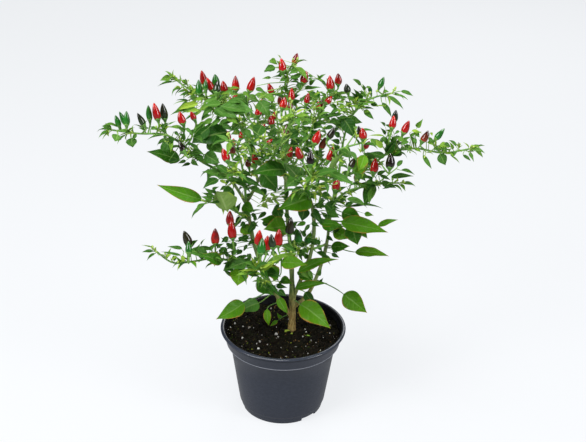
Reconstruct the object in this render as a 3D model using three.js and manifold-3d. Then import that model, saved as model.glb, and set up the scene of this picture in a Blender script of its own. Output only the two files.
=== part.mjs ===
// A potted ornamental chilli plant: a dark nursery pot filled with potting soil, a woody trunk that forks
// into four main stems, leafy stems that spread into a flat umbrella crown, and small cone-shaped chillies
// that stand upright on their stalks. Millimetres, +Z up, the origin at the centre of the pot's flat
// underside, and the front of the plant towards -Y.
import * as THREE from "three";
import { mergeVertices } from "three/addons/utils/BufferGeometryUtils.js";
import Module from "manifold-3d";

const wasm = await Module();
wasm.setup();

// Driving dimensions of the pot and its soil
const POT_HEIGHT = 101.6;
const LIP_RADIUS = 70;
const LIP_WIDTH = 4.6;
const LIP_THICKNESS = 3;
const COLLAR_HEIGHT = 17.8;
const COLLAR_TOP_RADIUS = 68.2;
const COLLAR_FOOT_RADIUS = 63.4;
const BODY_TOP_RADIUS = 59.4;
const BODY_FOOT_RADIUS = 48.9;
const FOOT_RADIUS = 45.9;
const FOOT_INSET = 0.7;
const FOOT_HEIGHT = 9;
const POT_WALL = 1.6;
const POT_FLOOR = 2.4;
const FLOOR_FILLET = 3;
const POT_SIDES = 32;
const NOTCH_COUNT = 3;
const NOTCH_FIRST = -48;
const NOTCH_ANGLE = 25;
const NOTCH_HEIGHT = 4;
const DRAIN_COUNT = 6;
const DRAIN_RADIUS = 4;
const DRAIN_CIRCLE = 30;
const SOIL_TOP = 93;
const SOIL_RADIUS = 62.5;
const SOIL_LUMP = 1.3;
const SOIL_RINGS = 5;
const SOIL_SIDES = 22;
const SEAT = 0.3; // the gap left where two pieces touch
const CLEARANCE = 0.35; // the least gap between pieces that only pass each other

// Driving dimensions of the plant
const TRUNK_FOOT_RADIUS = 4.5;
const TRUNK_ROOT_DEPTH = 22;
const STUB = 9; // the start of each leafy stem that belongs to the trunk
const STEM_RADII = [1.35, 0.85]; // a leafy stem at its root and tip
const STEM_PIECE = 26;
const STALK_RADIUS = 0.85;
const PETIOLE_RADIUS = 0.7;
const ROOT_RADIUS = 0.5; // where a stalk starts inside its stem
const FREE_AFTER = 3.2; // a stalk is clear of its stem this far from its root
const BLADE_THICKNESS = 1.1;
const CHILLI_LENGTH = 17.6;
const CHILLI_WIDTH = 9;
const CALYX_HEIGHT = 3.4;
const STALK_LENGTH = 11;
const LONGEST_STALK = 21; // past this a twig carries the stalk
const OWN_SOLIDS = 39; // ripe chillies that are solids of their own

// Where the plant is seen from: the eye, how far it looks down, how far the picture leans to the right, and
// the focal length in picture columns
const EYE = new THREE.Vector3(8.6, -953.9, 700.6);
const PITCH = THREE.MathUtils.degToRad(26.18);
const LEAN = THREE.MathUtils.degToRad(1.17);
const FOCAL = 1000;
const MIDDLE_COLUMN = 293;
const MIDDLE_ROW = 221;
const ROUTE_DEPTH = -9; // the y that the routes count their depths from
const UP = new THREE.Vector3(0, 0, 1);

// A place in the picture, measured from its middle, turned back by a lean
function levelled(across, below, lean) {
  return [
    across * Math.cos(lean) + below * Math.sin(lean),
    below * Math.cos(lean) - across * Math.sin(lean),
  ];
}

// The point at a y that the picture shows at a column and row
function seen(column, row, y) {
  const [across, below] = levelled(column - MIDDLE_COLUMN, row - MIDDLE_ROW, LEAN);
  const ray = new THREE.Vector3(
    across / FOCAL,
    Math.cos(PITCH) - (below / FOCAL) * Math.sin(PITCH),
    -(below / FOCAL) * Math.cos(PITCH) - Math.sin(PITCH),
  );
  return EYE.clone().addScaledVector(ray, (y - EYE.y) / ray.y);
}

// The column and row where the picture shows a point
function pictured(p) {
  const d = p.clone().sub(EYE);
  const depth = d.y * Math.cos(PITCH) - d.z * Math.sin(PITCH);
  const height = d.y * Math.sin(PITCH) + d.z * Math.cos(PITCH);
  const [across, below] = levelled((FOCAL * d.x) / depth, (-FOCAL * height) / depth, -LEAN);
  return [MIDDLE_COLUMN + across, MIDDLE_ROW + below];
}

// Each route is a list of column, row and depth. Main stems belong to the trunk, with a radius at each end.
const MAIN_STEMS = {
  trunk: {
    radii: [3.9, 3.1],
    route: [[291.8, 329, 14], [292.4, 312, 14], [292.4, 300, 14], [292.2, 285, 13.5]],
  },
  centre: {
    radii: [2.5, 1.7],
    route: [
      [292.2, 290, 14], [291.6, 268, 14], [290.4, 248, 16], [288.4, 228, 20], [286.8, 208, 23],
      [286, 192, 26], [285.7, 180, 28],
    ],
  },
  left: {
    radii: [2.4, 1.7],
    route: [
      [291.2, 316, 14], [286, 308, 12], [277, 296, 8], [269, 281, 4], [261, 264, 0], [254.5, 246, -3],
      [251, 228, -5], [248.5, 213, -6], [246, 203, -7],
    ],
  },
  left_fork: { radii: [1.7, 1.5], route: [[246, 203, -7], [240, 193, -9], [234, 184, -11]] },
  inner_fork: { radii: [1.7, 1.5], route: [[246, 203, -7], [252, 193, -8], [258, 181, -9]] },
  right: {
    radii: [2.3, 1.6],
    route: [
      [292.2, 300, 14], [297, 288, 11], [303, 275, 8], [308.5, 261, 5], [312.5, 245, 2], [314, 228, 0],
      [313.4, 212, -2], [310, 200, -4], [306, 188, -6],
    ],
  },
  far_right: {
    radii: [2.2, 1.4],
    route: [
      [292.6, 308, 14], [302, 301, 19], [311, 289, 26], [318, 273, 31], [323.5, 257, 35], [327, 242, 38],
      [328.5, 228, 40], [331, 212, 43], [335, 200, 46],
    ],
  },
};

// Each leafy stem grows from a main stem at the first point of its route. leaf is its usual leaf's length.
const LEAFY_STEMS = {
  left_long: {
    leaf: 19,
    route: [
      [234, 184, -11], [225, 177, -16], [213, 166, -24], [203, 160.5, -29], [195, 161, -33],
      [189.5, 157, -36], [186, 148, -38], [180, 139.5, -40], [164, 134.5, -44], [148, 133, -47],
      [131, 134, -49], [120, 132.5, -50], [112, 130, -51],
    ],
  },
  left_crown: {
    leaf: 22,
    route: [
      [258, 181, -9], [255, 168, -6], [250, 152, 0], [244, 135, 8], [236, 120, 17], [226, 108, 26],
      [212, 101, 34], [198, 95, 42], [187, 87, 50], [176, 80, 56],
    ],
  },
  top: {
    leaf: 21,
    route: [
      [285.7, 180, 28], [286, 160, 29], [288, 140, 28], [291, 120, 26], [291, 103, 23], [288, 90, 20],
      [285, 78, 18], [287, 68, 17], [293, 63, 16],
    ],
  },
  back_left: {
    leaf: 24,
    route: [
      [285.7, 180, 28], [279, 166, 42], [269, 149, 62], [257, 131, 84], [246, 115, 104], [236, 103, 120],
      [228, 96, 130],
    ],
  },
  back_middle: {
    leaf: 24,
    route: [
      [285.7, 180, 28], [284, 168, 48], [281, 147, 76], [278, 126, 104], [274, 109, 126], [270, 98, 140],
    ],
  },
  back_right: {
    leaf: 24,
    route: [
      [285.7, 180, 28], [293, 167, 44], [303, 149, 68], [312, 130, 92], [319, 113, 112], [325, 101, 126],
      [331, 95, 135],
    ],
  },
  right_crown: {
    leaf: 22,
    route: [
      [335, 200, 46], [338, 180, 50], [341, 158, 53], [344, 138, 54], [349, 121, 54], [357, 108, 53],
      [368, 100, 52], [381, 96, 51], [392, 93, 50],
    ],
  },
  right_long: {
    leaf: 19,
    route: [
      [306, 188, -6], [315, 186, -11], [328, 182, -17], [345, 176, -23], [360, 170, -28], [372, 165, -31],
      [383, 157, -34], [394, 150, -37], [411, 148.5, -40], [428, 149.5, -43], [444, 153, -46],
      [458, 152.5, -48], [469, 149, -50],
    ],
  },
  right_middle: {
    leaf: 22,
    route: [
      [331, 212, 43], [334, 203, 32], [342, 195, 18], [353, 189.5, 6], [365, 186.5, -4], [378, 184, -12],
      [391, 182.5, -18], [399, 183, -22],
    ],
  },
  front_right: {
    leaf: 23,
    route: [[310, 200, -4], [309, 193, -20], [308, 186, -38], [310, 180, -54], [313, 176, -66]],
  },
  inner_right: {
    leaf: 22,
    route: [
      [306, 188, -6], [311, 176, -22], [319, 165, -36], [330, 156, -48], [341, 149, -56], [352, 145, -60],
      [362, 143, -62],
    ],
  },
  front_middle: {
    leaf: 22,
    route: [
      [258, 181, -9], [264, 171, -22], [272, 158, -31], [280, 144, -37], [287, 131, -41], [292, 119, -44],
      [293, 114, -45],
    ],
  },
  front_left: {
    leaf: 22,
    route: [[234, 184, -11], [232, 180, -28], [232, 176, -46], [234, 172, -62]],
  },
  inner_left: {
    leaf: 22,
    route: [
      [246, 203, -7], [245, 188, -22], [243, 172, -34], [240, 158, -43], [236, 147, -49], [230, 139, -54],
    ],
  },
  left_middle: {
    leaf: 24,
    route: [[250, 221, -5], [240, 214, -16], [228, 207, -27], [216, 203, -37], [207, 201.5, -44]],
  },
  low_left: {
    leaf: 21,
    route: [
      [261, 264, 0], [250, 266, -12], [236, 262.5, -24], [222, 258.5, -33], [208, 258.5, -40],
      [196, 260.5, -45], [182, 264.5, -50], [168, 260.5, -54], [156, 251, -57],
    ],
  },
  low_front: {
    leaf: 22,
    route: [[272, 286, 5], [268, 282, -12], [264, 278, -32], [261, 273, -50], [260, 269, -62]],
  },
  low_middle: {
    leaf: 21,
    route: [
      [326.5, 244, 37.5], [318, 247.5, 22], [307, 249.5, 6], [297, 250.5, -8], [287, 254.5, -20],
      [281, 258, -28],
    ],
  },
};

// Chillies by the stem that bears them: column and row of the middle, lean to the right in degrees, depth
// from the stem, ripeness, and length against the usual one
const CHILLIES = {
  left_long: [
    [117.5, 120.5, -14, 0, "green", 0.8], [121.5, 116, -26, 6, "green", 0.75],
    [126.4, 117.4, 6, 0, "green", 0.9], [140.6, 118.8, -26, 0, "dark", 0.85],
    [148.7, 111.6, 0, 3, "green", 0.95], [156.8, 110.6, -14, -2, "red", 1.05],
    [164.4, 111.6, -6, 5, "dark", 1.1], [182.4, 119.2, -8, 0, "red", 1], [182, 145, -26, -12, "dark", 0.85],
    [192.6, 116.5, 4, 8, "red", 0.8],
  ],
  left_crown: [
    [198.5, 87.4, -4, -8, "green", 1.05], [203.2, 76.4, -22, 6, "red", 1.1],
    [205.6, 85.5, 2, -12, "green", 0.8], [211, 83, -28, -4, "red", 1.05],
    [215.2, 77.8, -4, 10, "green", 0.95], [217, 86, 6, -14, "dark", 0.95],
    [224.2, 84.5, -12, 2, "red", 0.95], [235, 97.5, 8, -6, "red", 0.8], [228.3, 134.4, 0, 0, "red", 0.8],
  ],
  top: [
    [281.9, 64.3, -6, -3, "red", 1.05], [295.4, 58.4, 14, 3, "mottled", 0.95],
    [304.2, 76.6, 12, 5, "red", 0.95], [291.6, 93, 6, -9, "red", 0.9],
    [283.2, 101.6, -4, -10, "mottled", 0.85], [290.4, 104, 2, -16, "dark", 0.85],
    [271.5, 117, 6, -6, "red", 0.75], [284.9, 129.6, 9, -20, "mottled", 1],
  ],
  back_left: [
    [235.5, 81.5, 0, 0, "mottled", 1], [251.9, 83.2, 14, -4, "red", 1.1],
    [262.7, 101.7, -8, -4, "red", 0.8], [258, 112, 4, -4, "red", 0.85], [246, 99, -12, 14, "dark", 0.95],
    [240.5, 132.8, 5, -6, "red", 0.8],
  ],
  back_middle: [
    [270.2, 87.4, -16, 0, "red", 0.95], [276, 96, 8, 12, "mottled", 0.95],
    [263.2, 126.5, 6, -8, "red", 0.8],
  ],
  back_right: [
    [329.4, 82, 0, -6, "red", 1.1], [338.1, 79.4, -2, 2, "mottled", 1], [307.6, 98.7, 8, -8, "red", 0.9],
    [319, 105.3, -5, -4, "red", 0.8], [318, 92, -10, 10, "dark", 0.9],
  ],
  right_crown: [
    [347.4, 87.6, -6, 0, "dark", 0.8], [382.4, 81, 18, 0, "green", 0.85], [328.2, 99.8, 26, -8, "red", 0.8],
    [370, 88, -4, 14, "red", 0.95],
  ],
  right_long: [
    [395, 114, 12, 9, "dark", 0.95], [392.3, 121.2, 5, -3, "red", 0.95], [405.9, 126.6, 26, 0, "red", 1.05],
    [424.4, 135.6, 26, 0, "mottled", 0.95], [440.9, 133.4, 34, 0, "green", 0.95],
    [389.8, 159.5, 5, -8, "dark", 1], [374.6, 164.8, 4, -8, "red", 1],
  ],
  right_middle: [
    [335.2, 183.5, 6, -14, "red", 0.95], [320.3, 186.6, 0, -6, "red", 0.7], [356, 176, 12, 16, "red", 0.95],
  ],
  front_right: [[310.1, 156.4, 3, -2, "dark", 1.05], [299.4, 152.8, -12, 8, "red", 0.95]],
  inner_right: [
    [362.6, 132.6, -12, 0, "red", 1], [359, 129, -6, 7, "dark", 0.95], [331.6, 131.6, 24, 5, "dark", 0.95],
    [316.4, 136.8, 16, -4, "red", 1.1], [323.4, 142.2, 18, 2, "mottled", 0.9],
    [331.4, 152.4, 20, 0, "red", 0.95], [352.7, 162, 28, -4, "dark", 0.9], [368, 143, 26, 8, "red", 0.75],
  ],
  front_middle: [[290.4, 152.8, 10, 4, "red", 0.9], [276, 139, -8, -8, "red", 0.8]],
  front_left: [[225.4, 154.6, -12, -6, "red", 1]],
  inner_left: [
    [233.2, 146, 2, 4, "dark", 0.9], [247.8, 161.4, -6, 2, "mottled", 0.75],
    [254, 157.6, 10, 10, "red", 0.8],
  ],
  left_middle: [[230.1, 217.2, 2, 0, "mottled", 0.95]],
  low_left: [
    [186.8, 238.2, -18, 0, "dark", 1], [215.2, 235.7, 1, 3, "mottled", 1], [232, 229, -4, -2, "red", 1.15],
  ],
  low_front: [
    [259.1, 237.4, 4, 7, "red", 1], [261.6, 245.6, 4, -7, "green", 0.95], [267.2, 242.7, 4, 5, "red", 0.95],
    [271.8, 240.8, -4, 0, "dark", 0.95],
  ],
  low_middle: [
    [278.9, 237.2, 2, 0, "red", 1.1], [290.2, 225.5, 5, 4, "dark", 1.15],
    [309, 237.6, 18, 3, "green", 0.75], [298.5, 236, -3, 5, "green", 0.85],
  ],
};

// Broad leaves by the stem that bears them: column and row of the blade's base, then of its tip, depth of
// base and tip from the stem, width in mm, and how far the face turns from up to the viewer, in degrees
const BROAD_LEAVES = {
  left_long: [
    [180, 160, 148, 150.6, 2, -6, 22, 50], [164, 140.5, 173, 150, -2, -8, 17, 75],
    [131, 138, 132.6, 147.6, -3, -6, 11, 80], [118, 134.5, 115, 141.6, -3, -6, 10, 80],
    [205, 154, 220, 163, -6, -12, 18, 60], [206, 160, 222, 171, -10, -20, 13, -50],
    [111.5, 128.5, 102, 125.8, 0, -3, 6, 50],
  ],
  left_crown: [
    [228, 132, 192, 142.6, -10, -30, 24, 50], [224, 106, 254, 111, -8, -22, 19, 45],
    [234, 97, 249, 106, -4, -14, 15, 50], [214, 110, 238, 118, -14, -26, 14, 45],
    [171, 77, 160, 80.4, 0, -5, 7, 60], [208, 141, 224, 153, -20, -34, 15, 60],
  ],
  top: [
    [259, 101, 269.5, 116.6, -6, -16, 14, 65], [275, 67, 264, 72, 0, -6, 8, 50],
    [276, 61, 269, 61, 0, -4, 6, 50], [262, 125, 255, 140, -20, -34, 15, 55],
  ],
  back_left: [[246, 97, 262, 104, 14, 24, 15, 20], [228, 98, 214, 95, 6, 10, 14, 20]],
  back_middle: [[283, 101, 296, 96, 10, 22, 14, 15], [266, 98, 254, 94, 8, 18, 14, 15]],
  back_right: [[331, 96, 346, 99, 6, 12, 15, 20], [316, 100, 302, 96, 12, 22, 14, 20]],
  right_crown: [
    [343, 118, 355, 138.4, -12, -22, 18, 65], [345, 119, 362.6, 122.6, -6, -8, 11, 45],
    [388, 96, 404, 109, -2, -10, 5, 40], [382, 102.7, 391.8, 117, -2, -8, 6, 50],
    [364, 110, 374, 119.3, -4, -10, 9, 60], [401, 91, 413.5, 96.2, 0, -4, 5, 40],
    [361, 85, 353, 79, 0, -3, 5, 40],
  ],
  right_long: [
    [397, 145, 388, 156, 6, 2, 20, 70], [423, 155, 432, 169, -2, -7, 8, 60],
    [439.7, 154, 445.6, 165.4, -2, -6, 10, 75], [474.5, 148.4, 483.4, 157.6, 0, -3, 4, 50],
    [463, 155, 471, 161, -2, -5, 6, 50],
  ],
  right_middle: [
    [370, 187, 364.4, 206.3, -2, -8, 17, 75], [391, 177, 413.3, 175.9, 0, -8, 9, 50],
    [382, 184, 396.5, 188, -2, -8, 10, 50], [348, 207, 383, 206.5, 4, -4, 6, 10],
  ],
  front_right: [
    [299.7, 179.5, 284.2, 163.4, -6, -14, 14, -50], [318, 174, 340, 170, -4, -16, 13, 45],
    [330, 172, 356, 185.8, -6, -26, 14, 55], [330.5, 171, 343.5, 153, 0, -4, 11, -40],
    [300, 176, 285, 187, 0, -8, 13, 50],
  ],
  inner_right: [[353, 170, 367, 156, 4, 2, 18, 60], [340, 150, 352, 158, 0, -12, 13, 50]],
  front_middle: [[285, 169.5, 252, 173.4, -2, -30, 25, 45], [263, 173, 278, 189.2, -8, -14, 20, 70]],
  front_left: [
    [226, 176, 203, 171, -4, -18, 11, 45], [218, 179, 203, 188, -6, -22, 9, 40],
    [238, 178, 262, 186, -6, -18, 11, 45], [233, 189, 222, 197, 4, -4, 14, 60],
  ],
  left_middle: [
    [202, 199.5, 157, 184.8, -2, -10, 20, 62], [227, 211, 217, 190.4, -14, -22, 27, -60],
    [205.5, 203, 190.2, 218, -2, -8, 5, 20],
  ],
  low_left: [
    [240, 268, 237.2, 286, -6, -14, 20, 72], [232, 266, 223.5, 270.3, -2, -10, 12, 50],
    [208, 255, 186, 251, 0, -8, 12, 40], [222, 262, 200, 255, -4, -14, 14, 45],
    [246, 262, 228, 268, -8, -20, 14, 45],
  ],
  low_front: [
    [262, 270, 297, 251, -4, -6, 12, 25], [258, 268, 244, 262, -2, -12, 11, 30],
    [266, 272, 280, 276, 0, -14, 12, 45], [256, 271, 236, 275, -2, -14, 12, 45],
  ],
  low_middle: [[284, 262, 306, 264, -2, -12, 24, 48], [279, 276, 264, 268, 10, 2, 16, 45]],
  centre: [
    [276, 208, 280.5, 222, 6, -4, 14, 70], [276, 222, 261.5, 219, 4, -8, 14, 50],
    [286, 226, 264, 229, -4, -30, 24, 50], [281, 279, 292, 283.5, 2, -8, 10, 55],
  ],
  left: [
    [243, 205, 254.5, 211.7, -6, -16, 13, 55], [244, 303, 216.2, 319, -6, -28, 20, 55],
    [259, 303, 239.5, 311.8, 0, -14, 17, 50], [267, 309, 269, 326, -4, -10, 9, 75],
    [258, 282, 274, 295, -4, -18, 17, 55], [278, 297, 288, 314, -6, -14, 10, 60],
    [242, 226, 251, 235, -2, -8, 13, 60],
  ],
  right: [
    [311, 197, 278.6, 208.6, -8, -34, 26, 55], [305, 208, 302, 221.4, 4, -4, 13, 75],
    [298, 271.8, 336.3, 258.1, -4, -14, 16, 42], [295.6, 288, 326.8, 282.6, -6, -18, 14, 42],
    [300, 304, 330.4, 328.4, -18, -48, 25, 62], [305, 292, 316, 305.5, 6, -6, 11, 65],
    [300, 272, 313, 281, 2, -8, 14, 50],
  ],
  far_right: [
    [341, 221.7, 388, 232, -14, -30, 23, 50], [342, 212, 362, 219, -6, -16, 23, 45],
    [352, 225, 357.8, 244.8, -12, -24, 19, 70], [378, 226, 397.8, 219.4, 0, -4, 11, 45],
    [333, 231, 351, 238, -8, -14, 15, 50], [331, 247.5, 349.5, 246, -4, -8, 12, 55],
    [355, 252, 388.8, 255.4, 0, -12, 18, 40], [343.5, 294, 366.8, 312.8, 2, -16, 23, 68],
    [322, 226, 344, 226, -10, -16, 13, 45],
  ],
};

// Draws that repeat, started afresh for each place so that none depends on another
let state = 0;
function sow(place) {
  state = (place * 2654435761 + 977) % 4294967296;
}
function draw(low, high) {
  state = (state * 1664525 + 1013904223) % 4294967296;
  return low + ((high - low) * state) / 4294967296;
}

const radians = THREE.MathUtils.degToRad;
function moved(p, ...steps) {
  const q = p.clone();
  for (const [direction, distance] of steps) q.addScaledVector(direction, distance);
  return q;
}

// A smooth line through a route's points, with its length up to each point
const STEPS = 5;
function line(points) {
  const made = [];
  const last = points.length - 1;
  for (let i = 0; i < last; i++) {
    const near = [points[Math.max(i - 1, 0)], points[i], points[i + 1], points[Math.min(i + 2, last)]];
    for (let k = 0; k < STEPS; k++) {
      const [t, t2, t3] = [k / STEPS, (k / STEPS) ** 2, (k / STEPS) ** 3];
      const shares = [-t + 2 * t2 - t3, 2 - 5 * t2 + 3 * t3, t + 4 * t2 - 3 * t3, t3 - t2];
      made.push(moved(new THREE.Vector3(), ...near.map((q, n) => [q, shares[n] / 2])));
    }
  }
  made.push(points[last].clone());
  const lengths = [0];
  for (let i = 1; i < made.length; i++) lengths.push(lengths[i - 1] + made[i].distanceTo(made[i - 1]));
  return { points: made, lengths, length: lengths[lengths.length - 1] };
}

// The point and heading at a distance along a line
function along(path, s) {
  let i = 1;
  while (i < path.points.length - 1 && path.lengths[i] < s) i++;
  const [a, b] = [path.points[i - 1], path.points[i]];
  const t = (s - path.lengths[i - 1]) / (path.lengths[i] - path.lengths[i - 1]);
  return { at: a.clone().lerp(b, t), heading: b.clone().sub(a).normalize() };
}

// A line as straight pieces of about the same length
function straightened(path, piece) {
  const count = Math.ceil(path.length / piece);
  const points = Array.from({ length: count + 1 }, (_, i) => along(path, (path.length * i) / count).at);
  const lengths = points.map((_, i) => (path.length * i) / count);
  return { points, lengths, length: path.length };
}

const stems = {};
for (const [name, { route }] of Object.entries({ ...MAIN_STEMS, ...LEAFY_STEMS })) {
  const points = route.map(([column, row, depth]) => seen(column, row, ROUTE_DEPTH + depth));
  stems[name] = straightened(line(points), STEM_PIECE);
}
const bearer = (name) => (MAIN_STEMS[name] ? "trunk" : name);

// The point and heading on a stem that the picture shows nearest to a column and row
function rootNear(name, column, row) {
  const path = stems[name];
  const least = MAIN_STEMS[name] ? 2 : STUB + 4;
  let best = null;
  for (let s = least; s < path.length; s += 2) {
    const [c, r] = pictured(along(path, s).at);
    const far = Math.hypot(c - column, r - row);
    if (!best || far < best.far) best = { far, s };
  }
  return along(path, best.s);
}

// A heading turned about the vertical, level or rising or drooping a little
function turned(heading, turn, low, high) {
  const flat = new THREE.Vector3(heading.x, heading.y, 0).normalize();
  return moved(flat.applyAxisAngle(UP, radians(turn)), [UP, draw(low, high)]).normalize();
}

// A narrow leaf of a given length on its own stalk, from a point on a stem along a heading
function narrowLeaf(stem, root, heading, length) {
  const base = moved(root, [heading, length * draw(0.22, 0.4)]);
  const tip = moved(base, [heading, length], [UP, -length * draw(0.02, 0.3)]);
  const width = length * draw(0.34, 0.46);
  const tilt = draw(-0.35, 0.5);
  const face = new THREE.Vector3(draw(-0.35, 0.35), -Math.sin(tilt), Math.cos(tilt));
  return { stem, root, base, tip, width, face };
}

// The ways that a chilli may stand: as it is seen, or a little nearer or further
const DEPTH_SHIFTS = [0, -5, 5, -10, 10, -15, 15];
const OUTWARD_LEAN = -0.012;
function chilliChoices(stem, [column, row, lean, depth, ripeness, share]) {
  const root = rootNear(stem, column, row + 17).at;
  const tilt = radians(lean);
  const axis = new THREE.Vector3(Math.sin(tilt), depth * OUTWARD_LEAN, Math.cos(tilt)).normalize();
  const length = CHILLI_LENGTH * share;
  const width = CHILLI_WIDTH * (0.7 + 0.3 * share);
  return DEPTH_SHIFTS.map((shift) => {
    const foot = moved(seen(column, row, root.y + depth + shift), [axis, -length / 2]);
    const under = moved(foot, [axis, -CALYX_HEIGHT]);
    const joint = under.distanceTo(root) > LONGEST_STALK ? moved(under, [axis, -STALK_LENGTH]) : null;
    return { stem, root, joint, under, foot, axis, length, width, ripeness };
  });
}

// The ways that a broad leaf may lie: as it is seen, or a little nearer or further
function broadChoices(stem, [column, row, tipColumn, tipRow, depth, tipDepth, width, turn]) {
  const root = rootNear(stem, column, row).at;
  const face = new THREE.Vector3(0, -Math.sin(radians(turn)), Math.cos(radians(turn)));
  return DEPTH_SHIFTS.map((shift) => ({
    stem,
    root,
    base: seen(column, row, root.y + depth + shift),
    tip: seen(tipColumn, tipRow, root.y + tipDepth + shift),
    width,
    face,
  }));
}

// The places for leaves along a leafy stem: one at each joint on alternate sides, smaller towards the tip,
// with a twig opposite at every third joint, and two at the tip. Each place takes a turn in degrees.
const JOINT_SPACING = 58;
function stemPlaces(stem) {
  const path = stems[stem];
  const { leaf } = LEAFY_STEMS[stem];
  const places = [];
  let side = 1;
  let joint = 0;
  for (let s = Math.min(0.35 * path.length, 36); s < path.length - 4; s += JOINT_SPACING) {
    const { at, heading } = along(path, s);
    const size = leaf * (1.1 - (0.4 * s) / path.length);
    const towards = side;
    places.push((turn) => {
      const out = turned(heading, turn * towards, -0.45, 0.3);
      return [narrowLeaf(stem, at, out, size * draw(0.8, 1.15))];
    });
    if (joint % 3 === 1) {
      places.push((turn) => {
        const out = turned(heading, -turn * towards, -0.2, 0.8);
        const end = moved(at, [out, draw(14, 26)]);
        const pair = [-55, 30].map((spread) => {
          const aside = turned(out, spread + draw(-20, 20), -0.3, 0.4);
          return narrowLeaf(stem, end, aside, size * draw(0.65, 0.95));
        });
        return [{ stem, root: at, end }, ...pair];
      });
    }
    side = -side;
    joint += 1;
  }
  const { at, heading } = along(path, path.length - 1.5);
  for (const towards of [-1, 1]) {
    places.push((turn) => {
      const out = turned(heading, (towards * turn) / 2, -0.4, 0.3);
      return [narrowLeaf(stem, at, out, leaf * draw(0.6, 0.85))];
    });
  }
  return places;
}

// A geometry's triangles as a closed solid
function solid(geometry) {
  const plain = geometry.index ? geometry.toNonIndexed() : geometry.clone();
  plain.deleteAttribute("normal");
  plain.deleteAttribute("uv");
  const merged = mergeVertices(plain, 1e-4);
  return new wasm.Manifold(new wasm.Mesh({
    numProp: 3,
    vertProperties: merged.attributes.position.array,
    triVerts: new Uint32Array(merged.index.array),
  }));
}

// A solid from a list of points and the triangles between them
function faceted(points, triangles) {
  return new wasm.Manifold(new wasm.Mesh({
    numProp: 3,
    vertProperties: new Float32Array(points.flatMap((p) => p.toArray())),
    triVerts: new Uint32Array(triangles.flat()),
  }));
}

// A solid as a geometry for a mesh
function geometryOf(body) {
  const { numProp, numVert, vertProperties, triVerts } = body.getMesh();
  const positions = new Float32Array(numVert * 3);
  for (let i = 0; i < numVert; i++) {
    positions.set(vertProperties.subarray(i * numProp, i * numProp + 3), i * 3);
  }
  const geometry = new THREE.BufferGeometry();
  geometry.setAttribute("position", new THREE.BufferAttribute(positions, 3));
  geometry.setIndex(new THREE.BufferAttribute(triVerts, 1));
  geometry.computeVertexNormals();
  return geometry;
}

const joined = (bodies) => wasm.Manifold.union(bodies);

// Rings with the same number of points, joined into a closed body that may end in a point
function rings(list, end = null) {
  const sides = list[0].length;
  const points = list.flat();
  const triangles = [];
  for (let i = 0; i + 1 < list.length; i++) {
    for (let k = 0; k < sides; k++) {
      const [a, b] = [i * sides + k, i * sides + ((k + 1) % sides)];
      triangles.push([a, b, b + sides], [a, b + sides, a + sides]);
    }
  }
  const top = (list.length - 1) * sides;
  for (let k = 1; k + 1 < sides; k++) triangles.push([0, k + 1, k]);
  if (end) {
    const last = points.push(end) - 1;
    for (let k = 0; k < sides; k++) triangles.push([top + k, top + ((k + 1) % sides), last]);
  } else {
    for (let k = 1; k + 1 < sides; k++) triangles.push([top, top + k, top + k + 1]);
  }
  return faceted(points, triangles);
}

// A ring of points round a centre, square to a heading
function ring(centre, heading, radius, sides) {
  const across = new THREE.Vector3(0.83, 0.55, 0.1).cross(heading).normalize();
  const over = heading.clone().cross(across);
  return Array.from({ length: sides }, (_, k) => {
    const angle = (2 * Math.PI * k) / sides;
    return moved(centre, [across, radius * Math.cos(angle)], [over, radius * Math.sin(angle)]);
  });
}

// A tapering tube round a line, from a distance along it to its end
function tube(path, from, radii, sides) {
  const stops = [from, ...path.lengths.filter((s) => s > from + 4)];
  return rings(stops.map((s) => {
    const [before, after] = [along(path, Math.max(s - 1, 0)), along(path, Math.min(s + 1, path.length))];
    const radius = radii[0] + ((radii[1] - radii[0]) * (s - from)) / (path.length - from);
    return ring(along(path, s).at, before.heading.add(after.heading).normalize(), radius, sides);
  }));
}

// A blade's arched midrib, its face's normal and the direction across it
const ARCH = 0.3;
function bladeFrame({ base, tip, face }) {
  const axis = tip.clone().sub(base);
  const length = axis.length();
  axis.normalize();
  const normal = moved(face, [axis, -face.dot(axis)]).normalize();
  const rib = (t) => moved(base, [axis, length * t], [normal, ARCH * length * t * (1 - t)]);
  return { rib, length, axis, normal, across: axis.clone().cross(normal) };
}

// Three corners round a point on a leaf's stalk, square to a heading
function corners(p, heading, across, radius) {
  const ahead = heading.clone().normalize();
  const side = moved(across, [ahead, -across.dot(ahead)]).normalize();
  const under = ahead.clone().cross(side);
  return [
    moved(p, [side, radius], [under, -radius / 2]),
    moved(p, [under, radius]),
    moved(p, [side, -radius], [under, -radius / 2]),
  ];
}

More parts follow.
